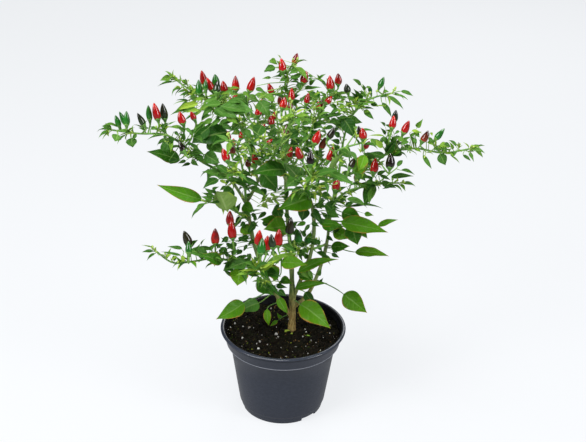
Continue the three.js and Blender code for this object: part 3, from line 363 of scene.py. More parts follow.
# The broad leaves of each stem: the column and row of a blade's base and of its tip, the depths of both
# beside the leaf's root, its width, and how many degrees its upper face turns towards the front
BROAD_LEAVES = {
    "left_long": [
        [180, 160, 148, 150.6, 2, -6, 22, 50], [164, 140.5, 173, 150, -2, -8, 17, 75],
        [131, 138, 132.6, 147.6, -3, -6, 11, 80], [118, 134.5, 115, 141.6, -3, -6, 10, 80],
        [205, 154, 220, 163, -6, -12, 18, 60], [206, 160, 222, 171, -10, -20, 13, -50],
        [111.5, 128.5, 102, 125.8, 0, -3, 6, 50],
    ],
    "left_crown": [
        [228, 132, 192, 142.6, -10, -30, 24, 50], [224, 106, 254, 111, -8, -22, 19, 45],
        [234, 97, 249, 106, -4, -14, 15, 50], [214, 110, 238, 118, -14, -26, 14, 45],
        [171, 77, 160, 80.4, 0, -5, 7, 60], [208, 141, 224, 153, -20, -34, 15, 60],
    ],
    "top": [
        [259, 101, 269.5, 116.6, -6, -16, 14, 65], [275, 67, 264, 72, 0, -6, 8, 50],
        [276, 61, 269, 61, 0, -4, 6, 50], [262, 125, 255, 140, -20, -34, 15, 55],
    ],
    "back_left": [[246, 97, 262, 104, 14, 24, 15, 20], [228, 98, 214, 95, 6, 10, 14, 20]],
    "back_middle": [[283, 101, 296, 96, 10, 22, 14, 15], [266, 98, 254, 94, 8, 18, 14, 15]],
    "back_right": [[331, 96, 346, 99, 6, 12, 15, 20], [316, 100, 302, 96, 12, 22, 14, 20]],
    "right_crown": [
        [343, 118, 355, 138.4, -12, -22, 18, 65], [345, 119, 362.6, 122.6, -6, -8, 11, 45],
        [388, 96, 404, 109, -2, -10, 5, 40], [382, 102.7, 391.8, 117, -2, -8, 6, 50],
        [364, 110, 374, 119.3, -4, -10, 9, 60], [401, 91, 413.5, 96.2, 0, -4, 5, 40],
        [361, 85, 353, 79, 0, -3, 5, 40],
    ],
    "right_long": [
        [397, 145, 388, 156, 6, 2, 20, 70], [423, 155, 432, 169, -2, -7, 8, 60],
        [439.7, 154, 445.6, 165.4, -2, -6, 10, 75], [474.5, 148.4, 483.4, 157.6, 0, -3, 4, 50],
        [463, 155, 471, 161, -2, -5, 6, 50],
    ],
    "right_middle": [
        [370, 187, 364.4, 206.3, -2, -8, 17, 75], [391, 177, 413.3, 175.9, 0, -8, 9, 50],
        [382, 184, 396.5, 188, -2, -8, 10, 50], [348, 207, 383, 206.5, 4, -4, 6, 10],
    ],
    "front_right": [
        [299.7, 179.5, 284.2, 163.4, -6, -14, 14, -50], [318, 174, 340, 170, -4, -16, 13, 45],
        [330, 172, 356, 185.8, -6, -26, 14, 55], [330.5, 171, 343.5, 153, 0, -4, 11, -40],
        [300, 176, 285, 187, 0, -8, 13, 50],
    ],
    "inner_right": [[353, 170, 367, 156, 4, 2, 18, 60], [340, 150, 352, 158, 0, -12, 13, 50]],
    "front_middle": [[285, 169.5, 252, 173.4, -2, -30, 25, 45], [263, 173, 278, 189.2, -8, -14, 20, 70]],
    "front_left": [
        [226, 176, 203, 171, -4, -18, 11, 45], [218, 179, 203, 188, -6, -22, 9, 40],
        [238, 178, 262, 186, -6, -18, 11, 45], [233, 189, 222, 197, 4, -4, 14, 60],
    ],
    "left_middle": [
        [202, 199.5, 157, 184.8, -2, -10, 20, 62], [227, 211, 217, 190.4, -14, -22, 27, -60],
        [205.5, 203, 190.2, 218, -2, -8, 5, 20],
    ],
    "low_left": [
        [240, 268, 237.2, 286, -6, -14, 20, 72], [232, 266, 223.5, 270.3, -2, -10, 12, 50],
        [208, 255, 186, 251, 0, -8, 12, 40], [222, 262, 200, 255, -4, -14, 14, 45],
        [246, 262, 228, 268, -8, -20, 14, 45],
    ],
    "low_front": [
        [262, 270, 297, 251, -4, -6, 12, 25], [258, 268, 244, 262, -2, -12, 11, 30],
        [266, 272, 280, 276, 0, -14, 12, 45], [256, 271, 236, 275, -2, -14, 12, 45],
    ],
    "low_middle": [[284, 262, 306, 264, -2, -12, 24, 48], [279, 276, 264, 268, 10, 2, 16, 45]],
    "centre": [
        [276, 208, 280.5, 222, 6, -4, 14, 70], [276, 222, 261.5, 219, 4, -8, 14, 50],
        [286, 226, 264, 229, -4, -30, 24, 50], [281, 279, 292, 283.5, 2, -8, 10, 55],
    ],
    "left": [
        [243, 205, 254.5, 211.7, -6, -16, 13, 55], [244, 303, 216.2, 319, -6, -28, 20, 55],
        [259, 303, 239.5, 311.8, 0, -14, 17, 50], [267, 309, 269, 326, -4, -10, 9, 75],
        [258, 282, 274, 295, -4, -18, 17, 55], [278, 297, 288, 314, -6, -14, 10, 60],
        [242, 226, 251, 235, -2, -8, 13, 60],
    ],
    "right": [
        [311, 197, 278.6, 208.6, -8, -34, 26, 55], [305, 208, 302, 221.4, 4, -4, 13, 75],
        [298, 271.8, 336.3, 258.1, -4, -14, 16, 42], [295.6, 288, 326.8, 282.6, -6, -18, 14, 42],
        [300, 304, 330.4, 328.4, -18, -48, 25, 62], [305, 292, 316, 305.5, 6, -6, 11, 65],
        [300, 272, 313, 281, 2, -8, 14, 50],
    ],
    "far_right": [
        [341, 221.7, 388, 232, -14, -30, 23, 50], [342, 212, 362, 219, -6, -16, 23, 45],
        [352, 225, 357.8, 244.8, -12, -24, 19, 70], [378, 226, 397.8, 219.4, 0, -4, 11, 45],
        [333, 231, 351, 238, -8, -14, 15, 50], [331, 247.5, 349.5, 246, -4, -8, 12, 55],
        [355, 252, 388.8, 255.4, 0, -12, 18, 40], [343.5, 294, 366.8, 312.8, 2, -16, 23, 68],
        [322, 226, 344, 226, -10, -16, 13, 45],
    ],
}

# Smaller leaves where the picture shows them, by the stem that bears each: the column and row of a blade's
# base and tip, its depth beside its root, its width in columns, its turn towards the front and its tone
SEEN_LEAVES = {
    "back_left": [
        (246, 124, 237, 129.6, 6, 6.4, 52, 0.5), (247, 129, 238, 135.6, 6, 6.4, 52, 0.5),
        (240, 131, 230.6, 134.4, 6, 6, 52, 0.5), (238, 127, 230, 130.6, 8, 6, 52, 0.5),
    ],
    "inner_fork": [
        (258.6, 191.4, 266.6, 196.4, -6, 3.4, 60, 0.3), (262, 199.6, 269, 193.6, -6, 3.2, 60, 0.22),
        (261, 204.6, 268.6, 208.4, -6, 3.4, 60, 0.16), (266, 198.6, 259.6, 203, -6, 3, 60, 0.2),
    ],
    "low_middle": [
        (298.6, 254.6, 306.6, 250.6, -6, 5, 60, 0.55), (297.4, 250.4, 304.6, 256.6, -4, 6, 62, 0.6),
        (302.6, 248.6, 308.4, 253.4, -4, 5, 60, 0.5),
    ],
    "front_right": [
        (308.6, 139.6, 318, 146.8, -8, 6, 60, 0.48), (305.6, 146, 314, 152.6, -8, 5.4, 60, 0.44),
        (300.4, 158.6, 309.4, 165.4, -8, 5.4, 55, 0.5), (318.6, 147, 327.6, 143.8, -4, 5, 55, 0.5),
        (327.4, 139.4, 334.6, 145.6, -2, 4.6, 60, 0.5), (302.4, 140, 309.6, 134.6, -8, 4.6, 58, 0.46),
    ],
    "left_middle": [
        (238, 212.4, 232, 204.6, 4, 5.4, 55, 0.5), (237, 210.6, 241, 202.6, 4, 4.6, 58, 0.5),
        (232, 210, 236.6, 219, 4, 5.6, 58, 0.55), (233, 207, 236.4, 197, 4, 5, 55, 0.45),
        (211.4, 199.6, 200.6, 196.6, -12, 4.4, 55, 0.5), (206.4, 203.6, 198.4, 208.6, -10, 3, 58, 0.5),
        (212.4, 193, 204, 187.6, -10, 4, 55, 0.5), (214.4, 197, 201.6, 192.4, -10, 4.6, 52, 0.5),
        (213, 200, 203.6, 197.8, -10, 3.6, 52, 0.5), (217, 193.4, 206.6, 189.8, -10, 3.8, 52, 0.56),
        (220, 201.6, 210, 203.4, -12, 3, 52, 0.6), (212.4, 190, 219, 186.6, -8, 3.6, 55, 0.55),
    ],
    "right_middle": [
        (361, 186, 369, 181.6, -4, 4.6, 60, 0.55), (380, 175.4, 391, 180.2, -8, 3.8, 52, 0.5),
        (381, 182.2, 394, 187.4, -8, 5.4, 52, 0.5), (391, 185.6, 382, 189, -8, 3.4, 52, 0.6),
        (366.6, 181, 377.4, 184, -8, 5, 52, 0.48), (372.4, 180.4, 366, 174.6, -8, 4, 55, 0.62),
        (377, 174.4, 387.6, 170, -8, 4, 55, 0.7), (356, 172.4, 366, 181.4, -14, 7.4, 52, 0.5),
        (369, 187.4, 354.6, 184, -10, 3, 50, 0.4), (371, 188.4, 366.6, 199, -8, 8, 65, 0.66),
        (398.6, 183.6, 402.6, 181.6, 0, 1.4, 50, 0.1),
    ],
    "left_crown": [
        (241, 131, 232, 137.4, 8, 6.2, 55, 0.5), (238.6, 124, 230.6, 129.6, 8, 5.6, 55, 0.5),
        (248, 144.6, 256.6, 149.4, 8, 5.6, 55, 0.5), (240, 129, 234.4, 141, 8, 4.6, 55, 0.5),
        (214, 104, 207.6, 110.6, 2, 4.4, 55, 0.5), (188.6, 86.4, 195.6, 91.4, -4, 4, 60, 0.3),
        (190, 91.6, 198.4, 94.4, -4, 3.8, 55, 0.35), (189.6, 102.6, 198.6, 105.4, -8, 4.6, 55, 0.5),
        (191, 98.6, 199.6, 100, -8, 3.8, 52, 0.44), (233, 130.4, 238.4, 138, -10, 4.6, 62, 0.5),
        (251, 140.6, 258.4, 146, -8, 4.6, 60, 0.5), (216, 89.6, 225, 91, -10, 3, 52, 0.36),
        (233.4, 91.8, 223.6, 92.4, -10, 3.4, 52, 0.4), (229, 93.8, 241.6, 94.4, -18, 2.6, 55, 0.36),
        (242, 98.4, 229, 99.4, -20, 4, 55, 0.45), (228, 101, 240.6, 102.4, -20, 4, 52, 0.42),
        (199, 110, 185.6, 112.8, -34, 3.6, 55, 0.2), (198.6, 113.2, 187, 116.4, -34, 3.2, 55, 0.36),
        (205.6, 92, 198, 99, -14, 3.6, 55, 0.4), (198, 103.6, 176, 110.4, -24, 7, 52, 0.1),
        (197, 108.4, 180.6, 113.4, -27, 4.4, 50, 0.36), (209, 104.4, 198, 111.6, -22, 6, 52, 0.26),
        (213, 107, 201.4, 117, -24, 6, 52, 0.45), (217, 109.4, 232, 118.4, -28, 7, 52, 0.46),
        (208, 112.4, 201, 121.6, -22, 3.6, 60, 0.62), (212.6, 119, 200.6, 125.4, -26, 5, 55, 0.36),
        (206, 121.6, 195.4, 126.6, -26, 3, 55, 0.3), (209, 127.4, 191.4, 143.2, -34, 13, 62, 0.62),
        (211, 127.4, 227, 140.6, -33, 12, 62, 0.66), (226, 116.4, 239, 124.6, -26, 7, 55, 0.3),
        (233, 98.6, 249.6, 106.6, -14, 6, 52, 0.46), (218, 96.6, 206.4, 103.6, -14, 6, 52, 0.44),
        (196, 88, 190, 96, -10, 2.6, 60, 0.1), (193.6, 95.4, 186.4, 93, -12, 2.4, 50, 0.08),
        (200.4, 99.6, 193, 96.6, -16, 2.6, 50, 0.06), (190, 84.4, 191.6, 90.6, -4, 2.2, 60, 0.12),
        (219.4, 87.8, 227.4, 88.8, -6, 2.8, 45, 0.3), (231.4, 88.2, 240.6, 88.6, -6, 3, 45, 0.3),
        (238.4, 91.6, 246.4, 91.4, -4, 1.8, 45, 0.05), (229, 92.4, 219.6, 95.2, -10, 2.6, 50, 0.2),
        (213, 88.6, 204, 95.6, -8, 3.4, 50, 0.32), (182, 80, 188.5, 85.5, -3, 4, 40, 0.75),
        (174, 77, 179, 81.7, -1, 3, 40, 0.15), (181, 88, 173.7, 89.7, 2, 2.8, 40, 0.5),
        (185.5, 90.3, 177.2, 92.8, -4, 3, 40, 0.5), (190.6, 92.5, 178.8, 95.7, -6, 4, 40, 0.45),
        (188.7, 100.8, 175.6, 99.9, -9, 2.6, 30, 0.55), (187, 101.2, 172.4, 104.4, -12, 1.6, 30, 0.3),
        (187.4, 101.5, 180.4, 105.6, -15, 2.4, 40, 0.45), (195.7, 103.4, 173.7, 111.7, -22, 6, 45, 0.2),
        (190, 109.1, 169.6, 114.8, -28, 4.6, 40, 0.42), (200.8, 109.1, 195.7, 116.1, -26, 4.5, 60, 0.15),
        (207.8, 109.1, 206.5, 115.5, -26, 2.6, 60, 0.2), (221.2, 103.4, 201.5, 105.9, -20, 7.5, 40, 0.42),
        (218, 98.3, 200.8, 104, -14, 5, 40, 0.4), (208.5, 92.5, 200.8, 98.3, -8, 3.2, 40, 0.35),
        (214.8, 95.7, 207, 97, -12, 3.4, 40, 0.25), (221.2, 105.9, 251.5, 112.3, -24, 9, 38, 0.42),
        (214, 109, 232, 116.8, -28, 7, 42, 0.45), (229.5, 116.8, 240, 121.4, -20, 7.5, -45, 0.6),
        (242.9, 91.9, 250.6, 97.6, -4, 4.5, 50, 0.3), (236, 87.4, 228.6, 89, 0, 3.4, 40, 0.2),
        (190.6, 116, 184, 120.8, -24, 1.8, 40, 0.4), (204.8, 114.6, 201.3, 121.4, -20, 2.8, 60, 0.5),
        (226, 93.5, 217.5, 92, -8, 4, 40, 0.35), (198, 86.5, 205.5, 90.6, -6, 4, 40, 0.3),
        (196, 95, 188, 98, -14, 3, 40, 0.12), (202, 99, 192, 101, -18, 3.6, 42, 0.25),
        (212, 100.5, 222, 99, -16, 4, 40, 0.4), (206, 106.5, 214.5, 110.5, -25, 4, 45, 0.2),
        (196.5, 100.5, 187.5, 106.5, -20, 3, 45, 0.1), (228, 112, 215, 120.5, -20, 5, 45, 0.55),
        (221, 119, 208, 127.5, -24, 5, 45, 0.45), (236, 110, 246, 118, -16, 5, 45, 0.5),
        (222, 125, 234, 131, -22, 5, 50, 0.5),
    ],
    "top": [
        (283.6, 66.6, 276, 60.4, 10, 4.6, 56, 0.45), (284.6, 72, 276.6, 77, 10, 4.6, 56, 0.5),
        (291, 98, 300, 94.6, 8, 6, 55, 0.5), (290, 92, 299, 88.6, 8, 5.4, 55, 0.5),
        (291, 104, 301.6, 100.6, 8, 6, 55, 0.5), (291, 101, 297.6, 107.6, 8, 5, 55, 0.5),
        (288.6, 80, 281.6, 74.4, 8, 4.6, 55, 0.45), (287, 74, 282, 67.6, 4, 4, 58, 0.45),
        (286.6, 92, 282.4, 84.6, -2, 3.6, 55, 0.44), (296, 84.6, 302.4, 88.6, -2, 3.2, 55, 0.5),
        (302.6, 84.4, 309.4, 80.4, -4, 3.6, 55, 0.4), (304.6, 88.4, 314.6, 86.6, -4, 3.8, 55, 0.46),
        (302.4, 92, 312.4, 94.6, -6, 3.6, 52, 0.5), (309.4, 85, 316, 79.6, -4, 3.2, 60, 0.4),
        (300.4, 115.4, 311, 112.8, -10, 4.4, 55, 0.46), (302, 124, 312.4, 121.6, -10, 4.6, 55, 0.5),
        (299.4, 131.6, 308.6, 137.6, -12, 4.8, 58, 0.5), (305.4, 130.4, 300.4, 124.4, -12, 4, 60, 0.42),
        (275.4, 131.6, 266.6, 136.6, -12, 4.6, 58, 0.5), (290.6, 108.6, 281.4, 110.6, -14, 3.4, 52, 0.3),
        (300.6, 75.4, 288.4, 78.6, -10, 4.6, 50, 0.48), (291, 75.6, 297, 80.8, -8, 4, 60, 0.5),
        (281.8, 76, 274, 76.2, -6, 2, 50, 0.55), (284, 86.6, 281, 92, -10, 2.4, 60, 0.55),
        (299, 82, 299.6, 90.6, -10, 4.6, 70, 0.58), (294, 94.6, 306, 95.4, -14, 3, 50, 0.2),
        (302.4, 94.6, 293, 100.6, -16, 6, 52, 0.5), (272, 99, 278.6, 104.6, -18, 6, 60, 0.6),
        (300, 98.6, 309.4, 101.2, -20, 2.6, 50, 0.3), (270, 98.4, 278.4, 106, -14, 7, 55, 0.5),
        (309, 83, 314.6, 79.6, -6, 2.4, 50, 0.3), (308.4, 86.4, 303.4, 83.4, -6, 2.6, 50, 0.4),
        (306.6, 90.6, 313, 92.4, -8, 2.6, 50, 0.3), (280.6, 58.2, 277.8, 54.6, 0, 1.8, 40, 0.1),
        (277.4, 64.1, 268.5, 62.2, -2, 3.4, 40, 0.35), (275.5, 67.3, 263.4, 71.1, -5, 4, 45, 0.45),
        (271, 77.5, 262, 78.6, -4, 3.2, 40, 0.35), (281.9, 75, 273.6, 78.4, -8, 3.4, 40, 0.4),
        (271.7, 80.7, 260.5, 87.2, -6, 3.4, 45, 0.5), (255.7, 88.4, 265.3, 92.4, -10, 4.6, 45, 0.5),
        (285.7, 65.4, 288.8, 59, -2, 4, 60, 0.5), (283.2, 59.8, 288.6, 57.4, 1, 2.8, 50, 0.1),
        (298.5, 69.9, 288.3, 74.4, -8, 5.5, 45, 0.42), (297.2, 64.1, 300.6, 68.8, -4, 3.4, 55, 0.45),
        (302.3, 67.6, 306.6, 69.4, -2, 3.4, 40, 0.15), (292.7, 76.9, 298.8, 80.4, -8, 5.4, 55, 0.48),
        (308, 75.4, 313.4, 77.2, -4, 3, 40, 0.45), (308.5, 78.6, 313.4, 81, -6, 3, 40, 0.45),
        (319.5, 78.8, 325.9, 73.8, 0, 3.4, 45, 0.4), (319.5, 78.8, 316.8, 74.2, 0, 2.4, 60, 0.35),
        (307.6, 88.8, 321.8, 87, -6, 3.2, 40, 0.45), (303, 72.5, 297.5, 75.5, -5, 3.6, 45, 0.45),
        (283, 71.5, 276, 73, -5, 3.4, 40, 0.4), (287, 79.5, 279, 81.5, -9, 4, 40, 0.42),
        (280.5, 83.4, 271.5, 84.2, -8, 3.6, 40, 0.42), (294, 95.4, 304.4, 93.2, -12, 5, 40, 0.35),
        (283, 94.2, 281, 88.6, -10, 3.8, 60, 0.2), (280.6, 93.5, 275.2, 94.9, -12, 2.4, 40, 0.2),
        (266, 94.7, 275.2, 102.6, -16, 6.5, 50, 0.36), (304.8, 102.4, 294, 102.8, -18, 3.6, 40, 0.45),
        (317, 102.6, 304.8, 99.2, -14, 2.4, 40, 0.2), (307.4, 105.6, 294.6, 107.4, -20, 4, 40, 0.5),
        (268, 88.5, 261, 91.5, -8, 3.4, 45, 0.48), (297, 84.5, 290, 87, -8, 3.6, 45, 0.45),
        (300.5, 80.5, 306, 84.4, -8, 3.6, 45, 0.45), (276, 108, 266, 108.6, -16, 4.6, 40, 0.45),
        (288, 106, 279.5, 109.5, -18, 4.4, 45, 0.5),
    ],
    "back_right": [
        (314, 151.6, 323.4, 156.4, 0, 6.4, 52, 0.5), (316, 156, 325.4, 151, 0, 6, 52, 0.5),
        (318, 99, 309.4, 94, 0, 6.4, 52, 0.5), (316, 96, 306.4, 90.4, 0, 6, 52, 0.5),
        (312, 99.4, 303, 96.4, 0, 5.6, 52, 0.5), (328, 104, 320, 101.6, 0, 5, 55, 0.5),
        (331, 104.4, 338, 109.4, 2, 5.6, 55, 0.5), (317.6, 117.6, 326.6, 113, 4, 6.4, 55, 0.5),
        (319, 112, 327.6, 105.6, 4, 6.4, 55, 0.5), (314, 126, 323.6, 123, 4, 6.8, 55, 0.48),
        (309, 137, 318.4, 141, 2, 6.4, 55, 0.5), (312, 131, 304, 126, 2, 6.4, 55, 0.5),
        (304, 148, 311.6, 153.6, 0, 5.8, 55, 0.5), (316, 121.6, 308.6, 116, 4, 6, 55, 0.5),
        (322, 106, 314.6, 100.6, 4, 5.8, 55, 0.5), (325, 101, 332.6, 95.6, 4, 5.8, 55, 0.45),
        (309, 137, 301.4, 133, 2, 5.6, 55, 0.5), (310, 134, 320, 131.6, 2, 6, 55, 0.5),
        (306, 143, 316, 148, 2, 6, 55, 0.5), (320, 110, 312.4, 106, 2, 5.4, 55, 0.5),
        (313, 128.6, 321.6, 117.6, 4, 5.6, 55, 0.5), (313.8, 95.4, 324.2, 91.3, -14, 2.8, 40, 0.15),
        (308.7, 92.2, 317, 89.5, -10, 1.8, 40, 0.1), (330, 86.5, 321.5, 83.4, 0, 3, 40, 0.45),
        (326, 93, 334.5, 90.6, -6, 3, 40, 0.3), (318, 98, 309, 96, -16, 3.6, 40, 0.4),
        (322, 80.6, 326.6, 85, 0, 3, 50, 0.45),
    ],
    "front_middle": [
        (270.6, 128.6, 258, 137, -10, 7, 60, 0.5), (281, 117.4, 270.6, 115.6, -6, 2.6, 50, 0.46),
        (246, 129, 250.6, 139.6, -8, 7, 65, 0.5), (262, 138, 270.4, 136.4, -8, 2.4, 50, 0.1),
        (260, 139, 253.4, 142.4, -8, 2.2, 50, 0.08), (299, 132.4, 288.4, 139, -8, 6, 55, 0.6),
        (294.6, 113.9, 288.2, 109.2, -3, 2.2, 45, 0.02), (295.9, 112.6, 306.3, 108.8, -3, 2.4, 40, 0.02),
        (294.6, 115.2, 279.8, 117.9, -5, 4, 42, 0.24), (295.9, 115.8, 311, 116, -5, 3.6, 40, 0.24),
        (294, 118.3, 293.2, 122.6, -6, 2.6, 60, 0.1), (297, 117, 303.5, 121.6, -6, 3.4, 50, 0.3),
        (291, 117.4, 285, 122, -5, 3.4, 50, 0.35), (293.4, 111.4, 292.4, 107, -2, 1.8, 60, 0.0),
        (288, 126, 277, 129.5, -6, 5, 45, 0.5), (290, 131, 300.5, 133.5, -6, 5, 45, 0.5),
        (281, 139, 271, 145, -8, 6, 50, 0.5), (271.5, 153.5, 262, 160.5, -8, 6, 50, 0.5),
        (262, 165, 252, 160, -8, 5, 50, 0.45), (287.5, 128, 296, 126, -5, 4, 45, 0.3),
    ],
    "right_crown": [
        (356, 103.6, 352.6, 95.6, 12, 5.4, 55, 0.5), (358.6, 101, 351, 91.6, 12, 5.4, 55, 0.5),
        (359.6, 97, 353.6, 88.6, 12, 4.8, 56, 0.45), (361, 99, 362, 89.6, 10, 4.6, 56, 0.45),
        (339.6, 143, 330.4, 139.6, 4, 6.4, 55, 0.5), (339.6, 149.6, 330, 147, 6, 6.8, 55, 0.45),
        (339, 155.6, 329.6, 157.4, 6, 5.8, 55, 0.5), (339.6, 136.6, 331.4, 131.6, 4, 6, 55, 0.55),
        (341, 128, 333.4, 122.6, 6, 5.4, 55, 0.5), (343.6, 122, 335.6, 116, 6, 5, 55, 0.5),
        (346, 112.6, 338.4, 106.6, 6, 5, 55, 0.45), (351, 107, 345, 100.4, 4, 5, 56, 0.5),
        (355.6, 104, 352.6, 95.6, 4, 5.4, 56, 0.5), (357.4, 100.6, 350.4, 92.6, 2, 5, 56, 0.5),
        (369.4, 93.6, 375.6, 86.4, 2, 5, 58, 0.4), (382, 93.6, 382.6, 85.4, 2, 4.6, 58, 0.4),
        (370.6, 103, 378.6, 106.6, 2, 4.6, 58, 0.5), (352.4, 97, 347.4, 90.4, -8, 3.4, 60, 0.44),
        (357.6, 95.4, 350.4, 93.4, -8, 3, 55, 0.5), (353.4, 98.6, 345.6, 96.8, -8, 3, 55, 0.4),
        (338.4, 108.6, 329.6, 113.6, -16, 4.6, 55, 0.5), (341.4, 113.6, 331.4, 117, -16, 4.4, 52, 0.46),
        (336.4, 118.6, 328.4, 123.6, -16, 4.6, 58, 0.52), (326, 96.6, 319.6, 91.6, -10, 3.4, 55, 0.4),
        (356, 99.6, 371.6, 101.2, -6, 2.6, 45, 0.4), (358.4, 103.4, 370.6, 105.2, -8, 3.2, 48, 0.4),
        (353.4, 105.6, 361.4, 109.2, -10, 3, 50, 0.22), (345.4, 104.8, 352.4, 103.4, -8, 2.4, 48, 0.12),
        (326, 117.4, 338.4, 114.4, -18, 4, 50, 0.52), (380, 96.2, 387.4, 97, 0, 3, 50, 0.6),
        (377.6, 98.8, 382.8, 99.6, -2, 2.6, 55, 0.5), (366, 87, 371, 88, 0, 2.4, 50, 0.3),
        (341.4, 94.8, 347.8, 93.4, 0, 2.6, 45, 0.5), (329.6, 110.6, 318.4, 110.4, -20, 3.6, 48, 0.36),
        (332, 114.6, 321, 112.4, -18, 3.4, 48, 0.5), (346, 108.4, 338.6, 112.2, -12, 2.6, 50, 0.25),
        (325.9, 108.1, 308.7, 112.8, -22, 6, 40, 0.5), (338, 107.5, 325.6, 105.4, -18, 4, 40, 0.22),
        (338, 107, 349.8, 106, -18, 2.8, 40, 0.15), (338, 108.6, 340.4, 114.4, -18, 3, 60, 0.2),
        (337.6, 105.6, 337.8, 100.4, -16, 2.2, 60, 0.02), (360.2, 82.8, 353.2, 78.4, 4, 2.8, 50, 0.22),
        (365, 90, 362.6, 84, 2, 3.4, 60, 0.42), (369, 94.9, 377.6, 89.7, 0, 2.2, 40, 0.5),
        (384.4, 84.7, 389.7, 91.2, 0, 3.8, 50, 0.6), (390, 85.8, 394.8, 90, 0, 2.8, 50, 0.38),
        (383.8, 91, 389.2, 91.9, 0, 3.4, 45, 0.38), (383.8, 94.9, 387.8, 97.6, -2, 3.4, 50, 0.6),
        (385.7, 106.4, 374, 106.2, -6, 2, 40, 0.15), (354.4, 113.4, 362.6, 118.4, -8, 1.8, 40, 0.15),
        (353, 112.4, 345.5, 112, -8, 4.4, 40, 0.5), (359.5, 101, 368.2, 100.4, -6, 3, 40, 0.4),
        (374.2, 102.5, 364.4, 104, -6, 3.4, 40, 0.34), (360.8, 107.6, 348.5, 105.5, -8, 3.6, 40, 0.2),
        (354.4, 100.6, 358.6, 96.4, -4, 2.6, 50, 0.08), (354.4, 100.8, 347, 98.4, -6, 3, 45, 0.2),
        (350.6, 91.2, 358.5, 88.8, 0, 3.6, 40, 0.5), (352, 93.4, 357.5, 96.4, -2, 4.6, 50, 0.5),
        (343, 94.2, 348.4, 93.2, 0, 3, 40, 0.45), (332.8, 89, 341.9, 92.6, 4, 4, 45, 0.45),
        (335.3, 131.2, 344.9, 139.8, -14, 4.8, 50, 0.6), (332.8, 138.2, 345.5, 141.6, -20, 8, 45, 0.62),
        (347, 97.5, 338, 97.6, -6, 3, 40, 0.4), (366, 97.4, 359.4, 93.2, 0, 3.2, 45, 0.45),
        (372.5, 92.6, 367.4, 87.4, 0, 3, 50, 0.3), (378.6, 98.8, 385.4, 102.6, -2, 2.6, 45, 0.35),
        (344, 103, 335, 101.4, -12, 3, 40, 0.3), (330, 104.4, 319.5, 101.6, -16, 3.4, 40, 0.35),
        (346, 117.4, 336, 119.6, -12, 4.6, 42, 0.5), (341.5, 123, 330, 121, -14, 4.4, 42, 0.5),
        (336, 113, 325, 117.2, -18, 4.6, 45, 0.5), (330, 119.4, 318, 116.6, -18, 4.6, 42, 0.45),
        (333, 126.4, 322, 129.6, -16, 4.6, 45, 0.55), (338, 127.4, 331.4, 133.6, -10, 4, 50, 0.5),
        (326, 124, 315.6, 122, -16, 4, 42, 0.5), (342, 109.6, 351.6, 110, -10, 3.4, 40, 0.3),
        (364, 111.4, 370.6, 112, -6, 4, 45, 0.3), (360.6, 105.6, 366.6, 108.4, -6, 3, 45, 0.2),
    ],
    "inner_right": [
        (357, 152.4, 368.6, 153.6, -3, 4.6, 60, 0.5), (366.6, 148.4, 378.4, 153.6, -2, 5, 58, 0.52),
        (371, 138.6, 376.6, 146.4, 2, 4.4, 65, 0.36), (364.4, 154.6, 358, 171.4, -9, 10, 66, 0.94),
        (362.6, 152, 353, 144.6, -6, 3, 50, 0.55), (359.6, 144, 354.4, 136.6, -4, 2, 55, 0.5),
        (365.4, 146, 371.6, 146.6, -6, 2.8, 50, 0.42), (362, 151, 368, 148, -8, 2, 50, 0.06),
        (361, 152.6, 357.6, 148, -8, 2, 55, 0.06), (331, 156, 320, 152.6, -8, 5, 45, 0.5),
        (318.6, 165.4, 309, 160.6, -8, 5, 45, 0.5), (324, 160.6, 330, 167.4, -8, 5, 50, 0.55),
        (343.6, 144, 358.4, 148.6, -2, 4.2, 42, 0.52), (311, 176, 303, 170, -6, 5, 45, 0.5),
        (336, 152, 331, 146, -4, 5, 45, 0.45),
    ],
    "right_long": [
        (371, 157.4, 362.6, 152.4, 14, 6, 54, 0.5), (372, 161, 363.4, 155, 8, 6, 55, 0.5),
        (376, 158.6, 367, 151.6, 6, 5, 55, 0.5), (392, 143, 397.4, 134.6, -2, 5, 58, 0.45),
        (387, 144, 382.6, 135, -2, 4.6, 58, 0.45), (396, 143.6, 391, 135.6, 2, 4.4, 58, 0.5),
        (414, 143.6, 410.4, 134.6, 0, 4, 58, 0.4), (400.6, 137.6, 407, 133.4, -2, 4, 60, 0.45),
        (410.4, 136.6, 415.4, 131.6, -2, 3, 60, 0.4), (450.6, 155.6, 457.6, 151.6, -3, 4, 58, 0.45),
        (343.6, 171.4, 351.6, 177, -4, 5, 60, 0.5), (352, 170.6, 361.4, 175.4, -4, 5, 58, 0.5),
        (361.6, 174.4, 369, 178.6, -4, 4.6, 60, 0.55), (345, 178.6, 337.6, 173.6, -4, 4.4, 60, 0.45),
        (402, 140.4, 411.4, 136.4, -3, 3.4, 55, 0.4), (411, 139.4, 419.6, 143.6, -3, 3.6, 55, 0.5),
        (414, 134.6, 421.6, 131.6, -3, 2.6, 50, 0.3), (428.4, 137.6, 434.4, 143.4, -3, 3.6, 60, 0.5),
        (434.4, 137.2, 440.6, 143.6, -4, 4, 60, 0.5), (404.6, 145.6, 412.6, 147.6, -3, 3.4, 52, 0.44),
        (396.4, 136, 402.4, 141.4, -3, 3.2, 60, 0.46), (419.6, 145.6, 428.6, 147.2, -4, 3.4, 52, 0.5),
        (440, 147, 449.6, 150.4, -4, 3.4, 55, 0.42), (444.6, 142.6, 451.4, 147.6, -4, 3.6, 60, 0.46),
        (384.6, 156.6, 368.4, 152.2, -6, 6.6, 52, 0.56), (386.4, 153, 396.6, 139.4, -5, 9, 60, 0.62),
        (393, 153.6, 401, 151, -4, 4.4, 55, 0.85), (383, 147, 371, 138.6, -6, 5.6, 52, 0.16),
        (366.4, 159.4, 372.4, 166.4, -4, 5, 60, 0.6), (366.6, 167.4, 367.6, 161.6, -5, 2, 60, 0.08),
        (381, 144.6, 371, 138.6, -4, 5, -90, 0.2), (383.8, 135.7, 368.3, 135.5, -2, 2, 40, 0.15),
